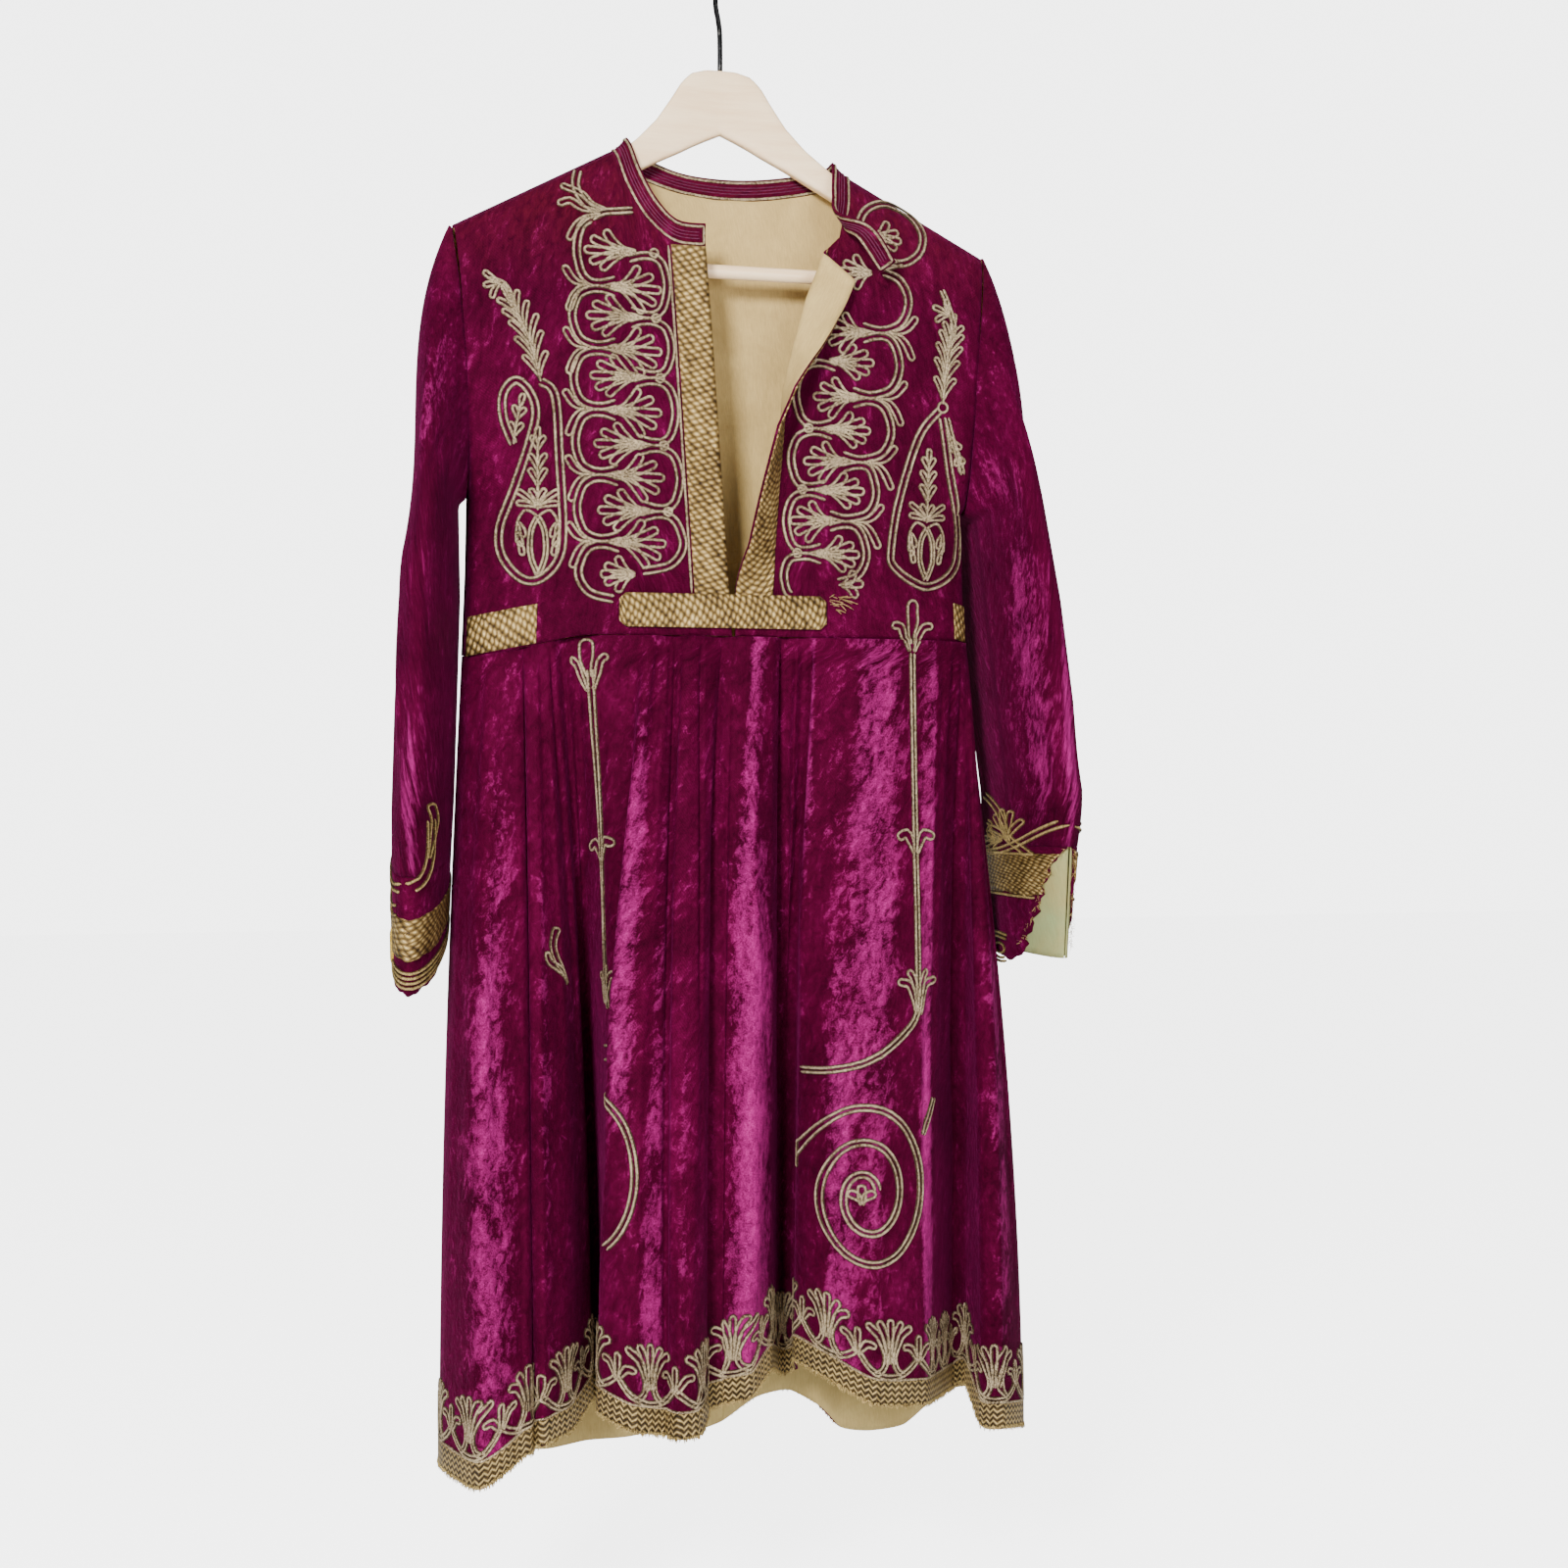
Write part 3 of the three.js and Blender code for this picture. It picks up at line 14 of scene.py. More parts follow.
import bmesh
import bpy
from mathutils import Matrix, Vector


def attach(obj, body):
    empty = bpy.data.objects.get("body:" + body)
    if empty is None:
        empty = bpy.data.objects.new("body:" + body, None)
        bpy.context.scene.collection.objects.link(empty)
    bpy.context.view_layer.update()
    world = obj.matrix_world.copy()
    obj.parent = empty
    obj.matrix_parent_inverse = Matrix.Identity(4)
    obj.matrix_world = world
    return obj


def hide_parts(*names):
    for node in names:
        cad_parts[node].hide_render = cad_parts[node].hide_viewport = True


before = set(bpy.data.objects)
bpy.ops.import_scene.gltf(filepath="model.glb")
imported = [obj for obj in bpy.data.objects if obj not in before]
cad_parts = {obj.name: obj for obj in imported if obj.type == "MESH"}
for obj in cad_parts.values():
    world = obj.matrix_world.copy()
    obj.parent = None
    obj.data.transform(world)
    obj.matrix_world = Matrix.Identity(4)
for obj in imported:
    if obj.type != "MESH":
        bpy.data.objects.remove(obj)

Pair = tuple[float, float]
Place = tuple[Vector, Vector]
Colour = tuple[float, float, float]

MM = 0.001
CLOTH = 2.0
BRAID = 1.2
SEAM = 0.3
STRAND = 3.1
STRAND_HEIGHT = 1.7
STEP = 2.3
SEED = 11

log = logging.getLogger("entari")


class Side(Enum):
    """The wearer's right or left, with the sign of X on that side."""

    RIGHT = -1
    LEFT = 1

    @property
    def word(self) -> str:
        """The side's name as it stands in the nodes."""
        return self.name.lower()


class Face(Enum):
    """Front or back of the body, with the sign of Y that points out of the cloth."""

    FRONT = -1
    BACK = 1


# ---- small helpers -------------------------------------------------------------------------------


def lerp(a: float, b: float, t: float) -> float:
    """The value a share t of the way from a to b."""
    return a + (b - a) * t


def clamp(value: float, low: float = 0.0, high: float = 1.0) -> float:
    """The value, held between low and high."""
    return min(high, max(low, value))


def smooth(t: float) -> float:
    """A soft step from 0 to 1."""
    t = clamp(t)
    return t * t * (3 - 2 * t)


def column(rows: Sequence[Sequence[float]], at: float, index: int) -> float:
    """Value of one column of a table, by straight lines between its rows.

    Args:
        rows: the table; its first column is the key and runs one way.
        at: the key.
        index: which column to read.

    Returns:
        The value at that key, held at the table's ends.
    """
    rising = rows[-1][0] > rows[0][0]
    for low, high in zip(rows, rows[1:]):
        if (at <= high[0]) if rising else (at >= high[0]):
            return lerp(low[index], high[index], clamp((at - low[0]) / (high[0] - low[0])))
    return rows[-1][index]


def catmull(points: Sequence[Sequence[float]], step: float, closed: bool = False) -> list[Pair]:
    """A smooth line through points of a plane.

    Args:
        points: the points that it passes.
        step: distance between the points of the line.
        closed: whether it comes back to its start.

    Returns:
        The line's points.
    """
    count = len(points)
    pick = (lambda k: points[k % count]) if closed else (lambda k: points[min(max(k, 0), count - 1)])
    line: list[Pair] = []
    for k in range(count if closed else count - 1):
        p0, p1, p2, p3 = pick(k - 1), pick(k), pick(k + 1), pick(k + 2)
        parts = max(1, round(math.dist(p1, p2) / step))
        for i in range(parts):
            t = i / parts
            line.append(tuple(
                0.5 * (2 * b + (c - a) * t + (2 * a - 5 * b + 4 * c - d) * t * t
                       + (3 * b - a - 3 * c + d) * t ** 3)
                for a, b, c, d in zip(p0, p1, p2, p3)))
    if not closed:
        line.append(tuple(points[-1]))
    return line


def turned(root: Pair, heading: float, flip: int = 1) -> Callable[[float, float], Pair]:
    """Places along and across a direction from a root."""
    c, n = math.cos(heading), math.sin(heading)
    return lambda along, up: (root[0] + along * c - flip * up * n, root[1] + along * n + flip * up * c)


def beside(line: Sequence[Pair], offset: float, closed: bool = False) -> list[Pair]:
    """The line moved sideways by an offset."""
    count = len(line)
    moved = []
    for k, (x, z) in enumerate(line):
        before = line[(k - 1) % count] if closed else line[max(k - 1, 0)]
        after = line[(k + 1) % count] if closed else line[min(k + 1, count - 1)]
        dx, dz = after[0] - before[0], after[1] - before[1]
        length = math.hypot(dx, dz) or 1.0
        moved.append((x - dz / length * offset, z + dx / length * offset))
    return moved


def dress(obj: bpy.types.Object, slot: str, *nodes: str) -> bpy.types.Object:
    """Hangs a finished piece on the robe.

    Args:
        obj: the piece.
        slot: not used.
        nodes: the nodes that it stands for.

    Returns:
        The piece.
    """
    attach(obj, "root")
    if nodes:
        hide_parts(*nodes)
    log.info("%s: %d faces", obj.name, len(obj.data.polygons))
    return obj


class Builder:
    """Collects the points and faces of one mesh."""

    def __init__(self, name: str) -> None:
        """Starts an empty mesh of that name."""
        self.name = name
        self.points: list[tuple[float, float, float]] = []
        self.faces: list[tuple[int, ...]] = []
        self.flat: list[Pair] = []
        self.pile: list[float] = []
        self.finishes: list[int] = []

    def point(self, place: Vector, flat: Pair, pile: float = 0.0) -> int:
        """Adds a point in millimetres and gives its number.

        Args:
            place: the point.
            flat: its place on the flat cloth.
            pile: the crush mark there, which the velvet shows as flattened pile and painted highlight.

        Returns:
            The point's number.
        """
        self.points.append((place.x * MM, place.y * MM, place.z * MM))
        self.flat.append(flat)
        self.pile.append(pile)
        return len(self.points) - 1

    def face(self, corners: Sequence[int], finish: int = 0) -> None:
        """Adds a face with the number of its finish."""
        self.faces.append(tuple(corners))
        self.finishes.append(finish)

    def make(self, finishes: Sequence[bpy.types.Material]) -> bpy.types.Object:
        """Makes the object.

        Args:
            finishes: its materials, in the order of their numbers.

        Returns:
            The new object, in the scene.
        """
        mesh = bpy.data.meshes.new(self.name)
        mesh.from_pydata(self.points, [], self.faces)
        layer = mesh.uv_layers.new(name="flat")
        layer.data.foreach_set(
            "uv", [value for loop in mesh.loops for value in self.flat[loop.vertex_index]])
        # The second UV layer carries the crush marks, which the velvet paints as flattened pile and painted
        # highlight.
        worn = mesh.uv_layers.new(name="pile")
        worn.data.foreach_set(
            "uv", [value for loop in mesh.loops for value in (self.pile[loop.vertex_index], 0.5)])
        for finish in finishes:
            mesh.materials.append(finish)
        mesh.polygons.foreach_set("material_index", self.finishes)
        mesh.polygons.foreach_set("use_smooth", [True] * len(self.faces))
        mesh.update()
        obj = bpy.data.objects.new(self.name, mesh)
        bpy.context.collection.objects.link(obj)
        return obj


FLAT_UNIT = 0.1


def shell(
    name: str,
    rows: Sequence[Sequence[Place]],
    finishes: Sequence[bpy.types.Material],
    low: float = -CLOTH / 2,
    high: float = CLOTH / 2,
    closed: bool = False,
    pile: Sequence[Sequence[float]] = (),
) -> bpy.types.Object:
    """A thin wall of cloth or braid on a grid of places.

    Args:
        name: the piece's name.
        rows: places, row by row; each is a point and the normal out of the cloth.
        finishes: materials of the outer skin and, where it differs, of the inner skin.
        low: how far the inner skin lies along the normal.
        high: how far the outer skin lies along the normal.
        closed: whether the rows run round.
        pile: the crush mark at each place, shown by the velvet as flattened pile and painted highlight.

    Returns:
        The new object.
    """
    build = Builder(name)
    count, wide = len(rows), len(rows[0])
    down = [[0.0] * wide for _ in range(count)]
    across = [[0.0] * wide for _ in range(count)]
    for r in range(count):
        for c in range(wide):
            if r:
                down[r][c] = down[r - 1][c] + (rows[r][c][0] - rows[r - 1][c][0]).length
            if c:
                across[r][c] = across[r][c - 1] + (rows[r][c][0] - rows[r][c - 1][0]).length
    skins = []
    for lift in (high, low):
        skins.append([[
            build.point(place + normal * lift, (across[r][c] * FLAT_UNIT, -down[r][c] * FLAT_UNIT),
                        pile[r][c] if pile else 0.0)
            for c, (place, normal) in enumerate(row)] for r, row in enumerate(rows)])
    outer, inner = skins
    inside = min(1, len(finishes) - 1)
    last = wide if closed else wide - 1
    for r in range(count - 1):
        for c in range(last):
            d = (c + 1) % wide
            build.face((outer[r][c], outer[r + 1][c], outer[r + 1][d], outer[r][d]), 0)
            build.face((inner[r][c], inner[r][d], inner[r + 1][d], inner[r + 1][c]), inside)
    for c in range(last):
        d = (c + 1) % wide
        build.face((outer[0][c], outer[0][d], inner[0][d], inner[0][c]))
        build.face((outer[-1][c], inner[-1][c], inner[-1][d], outer[-1][d]))
    if not closed:
        for r in range(count - 1):
            build.face((outer[r][0], inner[r][0], inner[r + 1][0], outer[r + 1][0]))
            build.face((outer[r][-1], outer[r + 1][-1], inner[r + 1][-1], inner[r][-1]))
    obj = build.make(finishes)
    turn_out(obj)
    return obj


def turn_out(obj: bpy.types.Object) -> None:
    """Turns the faces of a closed mesh right side out."""
    work = bmesh.new()
    work.from_mesh(obj.data)
    bmesh.ops.recalc_face_normals(work, faces=work.faces)
    work.to_mesh(obj.data)
    work.free()


def shares(count: int, low: float = 0.0, high: float = 1.0) -> list[float]:
    """Evenly spaced values, both ends included."""
    return [lerp(low, high, k / count) for k in range(count + 1)]


# ---- finishes ------------------------------------------------------------------------------------


class Graph:
    """A material's or a group's nodes, joined by name."""

    def __init__(self, tree: bpy.types.NodeTree) -> None:
        """Works on that tree."""
        self.tree = tree

    def node(self, kind: str, **inputs: object) -> bpy.types.Node:
        """Adds a node.

        Args:
            kind: the node's type.
            inputs: its properties, or its sockets by name, with _ for a space; a socket as a value is
                linked.

        Returns:
            The node.
        """
        made = self.tree.nodes.new(kind)
        for name, value in inputs.items():
            if name == "tree":
                made.node_tree = value
            elif name.startswith("p_"):
                setattr(made, name[2:], value)
            else:
                key = int(name[1:]) if name[0] == "i" and name[1:].isdigit() else name.replace("_", " ")
                self.join(value, made.inputs[key])
        return made

    def join(self, value: object, socket: bpy.types.NodeSocket) -> None:
        """Links a socket, or sets a number or colour on it."""
        if isinstance(value, bpy.types.NodeSocket):
            self.tree.links.new(value, socket)
        else:
            socket.default_value = value

    def maths(self, operation: str, *values: object) -> bpy.types.NodeSocket:
        """The result of a Math node on these values."""
        made = self.node("ShaderNodeMath", p_operation=operation)
        for value, socket in zip(values, made.inputs):
            self.join(value, socket)
        return made.outputs[0]

    def ramp(self, factor: object, *stops: tuple[float, Colour]) -> bpy.types.NodeSocket:
        """The colour of a ramp with these stops."""
        made = self.node("ShaderNodeValToRGB")
        elements = made.color_ramp.elements
        while len(elements) < len(stops):
            elements.new(0.5)
        for element, (at, colour) in zip(elements, stops):
            element.position = at
            element.color = (*colour, 1.0)
        self.join(factor, made.inputs[0])
        return made.outputs[0]

    def blend(self, factor: object, a: object, b: object) -> bpy.types.NodeSocket:
        """Colour a where the factor is 0 and b where it is 1."""
        made = self.node("ShaderNodeMix", p_data_type="RGBA")
        self.join(factor, made.inputs[0])
        self.join(a if isinstance(a, bpy.types.NodeSocket) else (*a, 1.0), made.inputs[6])
        self.join(b if isinstance(b, bpy.types.NodeSocket) else (*b, 1.0), made.inputs[7])
        return made.outputs[2]


def new_group(
    name: str, inputs: dict[str, float], outputs: Sequence[str]
) -> tuple[bpy.types.NodeTree, Graph, bpy.types.Node, bpy.types.Node]:
    """An empty shader group.

    Args:
        name: the group's name.
        inputs: its number inputs, with their first values; "Vector" is a vector.
        outputs: its number outputs.

    Returns:
        The tree, its graph, and its input and output nodes.
    """
    tree = bpy.data.node_groups.new(name, "ShaderNodeTree")
    for word, value in inputs.items():
        kind = "NodeSocketVector" if word == "Vector" else "NodeSocketFloat"
        socket = tree.interface.new_socket(word, in_out="INPUT", socket_type=kind)
        if kind == "NodeSocketFloat":
            socket.default_value = value
    for word in outputs:
        tree.interface.new_socket(word, in_out="OUTPUT", socket_type="NodeSocketFloat")
    graph = Graph(tree)
    return tree, graph, graph.node("NodeGroupInput"), graph.node("NodeGroupOutput")


def patches_group() -> bpy.types.NodeTree:
    """Soft uneven patches, drawn out along the cloth: worn pile, stains, dust."""
    tree, graph, given, out = new_group(
        "uneven_patches", {"Vector": 0, "Scale": 1.0, "Length": 2.0, "Contrast": 1.0}, ["Patches"])
    long = graph.node("ShaderNodeCombineXYZ", X=1.0, Z=1.0)
    graph.join(graph.maths("DIVIDE", 1.0, given.outputs["Length"]), long.inputs["Y"])
    drawn = graph.node("ShaderNodeVectorMath", p_operation="MULTIPLY")
    graph.join(given.outputs["Vector"], drawn.inputs[0])
    graph.join(long.outputs[0], drawn.inputs[1])
    noise = graph.node(
        "ShaderNodeTexNoise", Vector=drawn.outputs[0], Scale=given.outputs["Scale"], Detail=6.0,
        Roughness=0.62, Distortion=0.7)
    centred = graph.maths("SUBTRACT", noise.outputs[0], 0.5)
    spread = graph.maths("MULTIPLY_ADD", centred, given.outputs["Contrast"], 0.5)
    graph.join(graph.maths("MINIMUM", graph.maths("MAXIMUM", spread, 0.0), 1.0), out.inputs[0])
    return tree


def weave_group() -> bpy.types.NodeTree:
    """Plain weave: threads that pass over and under each other."""
    tree, graph, given, out = new_group("plain_weave", {"Vector": 0, "Threads": 1.0}, ["Weave"])
    parts = graph.node("ShaderNodeSeparateXYZ", Vector=given.outputs["Vector"])
    waves = []
    for axis in (0, 1):
        turned = graph.maths("MULTIPLY", parts.outputs[axis], given.outputs["Threads"])
        waves.append(graph.maths("SINE", turned))
    crossed = graph.maths("MULTIPLY", waves[0], waves[1])
    graph.join(graph.maths("MULTIPLY_ADD", crossed, 0.5, 0.5), out.inputs[0])
    return tree


def twist_group() -> bpy.types.NodeTree:
    """The slanting turns of wire or thread wound round a core, along a cord's length."""
    tree, graph, given, out = new_group(
        "wound_thread", {"Vector": 0, "Turns": 1.0, "Slant": 1.0}, ["Turns"])
    parts = graph.node("ShaderNodeSeparateXYZ", Vector=given.outputs["Vector"])
    along = graph.maths("MULTIPLY", parts.outputs[0], given.outputs["Turns"])
    slanted = graph.maths("MULTIPLY_ADD", parts.outputs[1], given.outputs["Slant"], along)
    graph.join(graph.maths("MULTIPLY_ADD", graph.maths("SINE", slanted), 0.5, 0.5), out.inputs[0])
    return tree


def principled(name: str) -> tuple[bpy.types.Material, Graph, bpy.types.Node]:
    """A new material with its graph and its shader."""
    material = bpy.data.materials.new(name)
    material.use_nodes = True
    shader = material.node_tree.nodes["Principled BSDF"]
    return material, Graph(material.node_tree), shader


def flat_place(graph: Graph) -> bpy.types.NodeSocket:
    """The place on the flat cloth, in centimetres."""
    return graph.node("ShaderNodeTexCoord").outputs["UV"]


def solid_place(graph: Graph) -> bpy.types.NodeSocket:
    """The place in the object's own space, in metres."""
    return graph.node("ShaderNodeTexCoord").outputs["Object"]


def grouped(
    graph: Graph, tree: bpy.types.NodeTree, place: bpy.types.NodeSocket, **inputs: float
) -> bpy.types.NodeSocket:
    """The first output of a group at a place, with its own values."""
    return graph.node("ShaderNodeGroup", tree=tree, Vector=place, **inputs).outputs[0]


def bump(graph: Graph, height: object, distance: float, strength: float, under: object = None) -> object:
    """A bump of that height in metres, over another one where given."""
    made = graph.node("ShaderNodeBump", Height=height, Distance=distance, Strength=strength)
    if under is not None:
        graph.join(under, made.inputs["Normal"])
    return made.outputs[0]


@dataclass(frozen=True)
class Velvet:
    """Silk velvet with a worn pile and crush marks, partly flattened pile and partly painted highlight."""

    deep: Colour = (0.012, 0.0001, 0.003)
    body: Colour = (0.052, 0.0004, 0.014)
    lit: Colour = (0.15, 0.0012, 0.05)
    # colour of the crush marks: painted highlight over flattened pile
    crushed: Colour = (0.60, 0.03, 0.29)
    worn: Colour = (0.10, 0.008, 0.012)
    sheen: Colour = (0.9, 0.05, 0.42)

    def make(self, groups: "Groups") -> bpy.types.Material:
        """Makes the material from the shared groups."""
        material, graph, shader = principled("crushed_velvet")
        place = flat_place(graph)
        space = solid_place(graph)
        broad = grouped(graph, groups.patches, space, Scale=9.0, Length=1.6, Contrast=2.0)
        nap = grouped(graph, groups.patches, place, Scale=0.5, Length=2.2, Contrast=2.4)
        crush = grouped(graph, groups.patches, place, Scale=1.9, Length=1.5, Contrast=2.6)
        fine = grouped(graph, groups.patches, place, Scale=8.0, Length=1.0, Contrast=1.8)
        weave = grouped(graph, groups.weave, place, Threads=34.0)
        # The pile UV holds the listed crush marks, laid along the folds' lit bands: partly flattened pile,
        # partly painted highlight.
        worn = graph.node("ShaderNodeUVMap", p_uv_map="pile").outputs[0]
        marks = graph.node("ShaderNodeSeparateXYZ", Vector=worn)
        ragged = graph.maths("MULTIPLY_ADD", crush, 0.42, graph.maths("MULTIPLY", nap, 0.4))
        ragged = graph.maths("MULTIPLY_ADD", fine, 0.3, ragged)
        reach = graph.maths("MULTIPLY_ADD", marks.outputs[0], 0.8, ragged)
        crushed = graph.node("ShaderNodeMapRange", Value=reach, From_Min=0.72, From_Max=1.5).outputs[0]
        tone = graph.maths("MULTIPLY_ADD", broad, 0.26, graph.maths("MULTIPLY", nap, 0.22))
        tone = graph.maths("MULTIPLY_ADD", crush, 0.2, tone)
        tone = graph.maths("MULTIPLY_ADD", fine, 0.2, tone)
        tone = graph.maths("MULTIPLY_ADD", weave, 0.12, tone)
        pile = graph.ramp(tone, (0.2, self.deep), (0.52, self.body), (0.9, self.lit))
        # Painted highlight: the bright crush colour blended over those marks.
        glow = graph.maths("MULTIPLY", crushed, graph.maths("MULTIPLY_ADD", fine, 0.7, 0.34))
        pile_with_highlight = graph.blend(glow, pile, self.crushed)
        high = graph.node("ShaderNodeSeparateXYZ", Vector=space).outputs[2]
        shoulder = graph.node("ShaderNodeMapRange", From_Min=-0.27, From_Max=-0.2, Value=high).outputs[0]
        rust = graph.maths("MULTIPLY", graph.maths("MULTIPLY", shoulder, crush), 0.45)
        graph.join(graph.blend(rust, pile_with_highlight, self.worn), shader.inputs["Base Color"])
        rough = graph.node("ShaderNodeMapRange", Value=crushed, To_Min=0.66, To_Max=0.42).outputs[0]
        graph.join(rough, shader.inputs["Roughness"])
        shader.inputs["IOR"].default_value = 1.1
        shader.inputs["Specular IOR Level"].default_value = 0.3
        shader.inputs["Sheen Weight"].default_value = 0.11
        shader.inputs["Sheen Roughness"].default_value = 0.3
        shader.inputs["Sheen Tint"].default_value = (*self.sheen, 1.0)
        soft = bump(graph, nap, 0.003, 0.3)
        dents = bump(graph, crush, 0.002, 0.5, soft)
        grain = bump(graph, fine, 0.0004, 0.6, dents)
        graph.join(grain, shader.inputs["Normal"])
        return material


@dataclass(frozen=True)
class Lining:
    """Hand-woven cotton lining, yellowed and stained, greener near the hem."""

    cloth: Colour = (0.57, 0.40, 0.155)
    stain: Colour = (0.34, 0.23, 0.08)
    green: Colour = (0.26, 0.30, 0.13)

    def make(self, groups: "Groups") -> bpy.types.Material:
        """Makes the material from the shared groups."""
        material, graph, shader = principled("cotton_lining")
        place = flat_place(graph)
        space = solid_place(graph)
        stains = grouped(graph, groups.patches, space, Scale=16.0, Length=1.0, Contrast=3.0)
        slubs = grouped(graph, groups.patches, place, Scale=9.0, Length=8.0, Contrast=1.6)
        weave = grouped(graph, groups.weave, place, Threads=62.0)
        high = graph.node("ShaderNodeSeparateXYZ", Vector=space).outputs[2]
        low = graph.node("ShaderNodeMapRange", From_Min=-0.55, From_Max=-0.68, Value=high).outputs[0]
        hem = graph.node("ShaderNodeMapRange", From_Min=-0.82, From_Max=-0.95, Value=high).outputs[0]
        cuffs = graph.maths("SUBTRACT", low, graph.maths("MULTIPLY", hem, 0.75))
        dyed = graph.blend(cuffs, self.cloth, self.green)
        marked = graph.blend(graph.maths("MULTIPLY", stains, 0.55), dyed, self.stain)
        shade = graph.maths("MULTIPLY_ADD", slubs, 0.35, 0.8)
        lit = graph.node("ShaderNodeVectorMath", p_operation="SCALE", i0=marked, Scale=shade)
        graph.join(lit.outputs[0], shader.inputs["Base Color"])
        shader.inputs["Roughness"].default_value = 0.9
        shader.inputs["Specular IOR Level"].default_value = 0.2
        under = bump(graph, stains, 0.003, 0.3)
        graph.join(bump(graph, weave, 0.0003, 0.5, bump(graph, slubs, 0.0005, 0.5, under)),
                   shader.inputs["Normal"])
        return material


@dataclass(frozen=True)
class Thread:
    """Silver-gilt thread wound round a core, couched or twisted into cord."""

    name: str
    dark: Colour
    middle: Colour
    light: Colour
    turns: float = 58.0
    slant: float = 40.0
    shine: float = 0.55

    def make(self, groups: "Groups") -> bpy.types.Material:
        """Makes the material from the shared groups."""
        material, graph, shader = principled(self.name)
        place = flat_place(graph)
        space = solid_place(graph)
        turns = grouped(graph, groups.twist, place, Turns=self.turns, Slant=self.slant)
        worn = grouped(graph, groups.patches, space, Scale=60.0, Length=1.0, Contrast=2.2)
        glint = grouped(graph, groups.patches, space, Scale=700.0, Length=1.0, Contrast=3.2)
        across = graph.node("ShaderNodeSeparateXYZ", Vector=place).outputs[1]
        # Painted shade: darker towards each strand's edges, where neighbouring strands meet.
        edge = graph.node("ShaderNodeMapRange", Value=graph.maths("ABSOLUTE", across),
                          From_Min=0.055, From_Max=0.12).outputs[0]
        tone = graph.maths("MULTIPLY_ADD", edge, -0.46, graph.maths("MULTIPLY", turns, 0.38))
        tone = graph.maths("MULTIPLY_ADD", glint, 0.5, tone)
        tone = graph.maths("MULTIPLY_ADD", worn, 0.26, tone)
        metal = graph.ramp(tone, (0.26, self.dark), (0.48, self.middle), (0.72, self.light))
        graph.join(metal, shader.inputs["Base Color"])
        shader.inputs["Metallic"].default_value = self.shine
        rough = graph.node("ShaderNodeMapRange", Value=worn, To_Min=0.34, To_Max=0.55).outputs[0]
        graph.join(rough, shader.inputs["Roughness"])
        wound = bump(graph, turns, 0.0008, 0.9)
        graph.join(bump(graph, glint, 0.0009, 0.8, wound), shader.inputs["Normal"])
        return material


@dataclass(frozen=True)
class FlatBraid:
    """Woven metal braid with rows of slanting scales."""

    dark: Colour = (0.035, 0.017, 0.004)
    middle: Colour = (0.27, 0.165, 0.045)
    light: Colour = (0.84, 0.62, 0.27)
    wide: float = 1.6
    tall: float = 2.5
    slant: float = 0.5

    def make(self, groups: "Groups") -> bpy.types.Material:
        """Makes the material from the shared groups."""
        material, graph, shader = principled("metal_braid")
        place = flat_place(graph)
        turned = graph.node(
            "ShaderNodeMapping", Vector=place, Rotation=(0, 0, self.slant), Scale=(self.wide, self.tall, 1))
        scales = graph.node(
            "ShaderNodeTexVoronoi", Vector=turned.outputs[0], Scale=1.0, Randomness=0.22)
        strands = graph.node(
            "ShaderNodeTexWave", Vector=place, Scale=4.5, Distortion=1.0, p_bands_direction="DIAGONAL")
        worn = grouped(graph, groups.patches, solid_place(graph), Scale=45.0, Length=1.0, Contrast=2.0)
        dome = graph.maths("SUBTRACT", 1.0, graph.maths("MULTIPLY", scales.outputs[0], 1.5))
        tone = graph.maths("MULTIPLY", dome, 0.62)
        tone = graph.maths("MULTIPLY_ADD", strands.outputs[1], 0.16, tone)
        tone = graph.maths("MULTIPLY_ADD", worn, 0.30, tone)
        graph.join(graph.ramp(tone, (0.22, self.dark), (0.52, self.middle), (0.9, self.light)),
                   shader.inputs["Base Color"])
        shader.inputs["Metallic"].default_value = 0.6
        rough = graph.node("ShaderNodeMapRange", Value=worn, To_Min=0.32, To_Max=0.52).outputs[0]
        graph.join(rough, shader.inputs["Roughness"])
        relief = bump(graph, dome, 0.0018, 0.9)
        graph.join(bump(graph, strands.outputs[1], 0.0004, 0.5, relief), shader.inputs["Normal"])
        return material


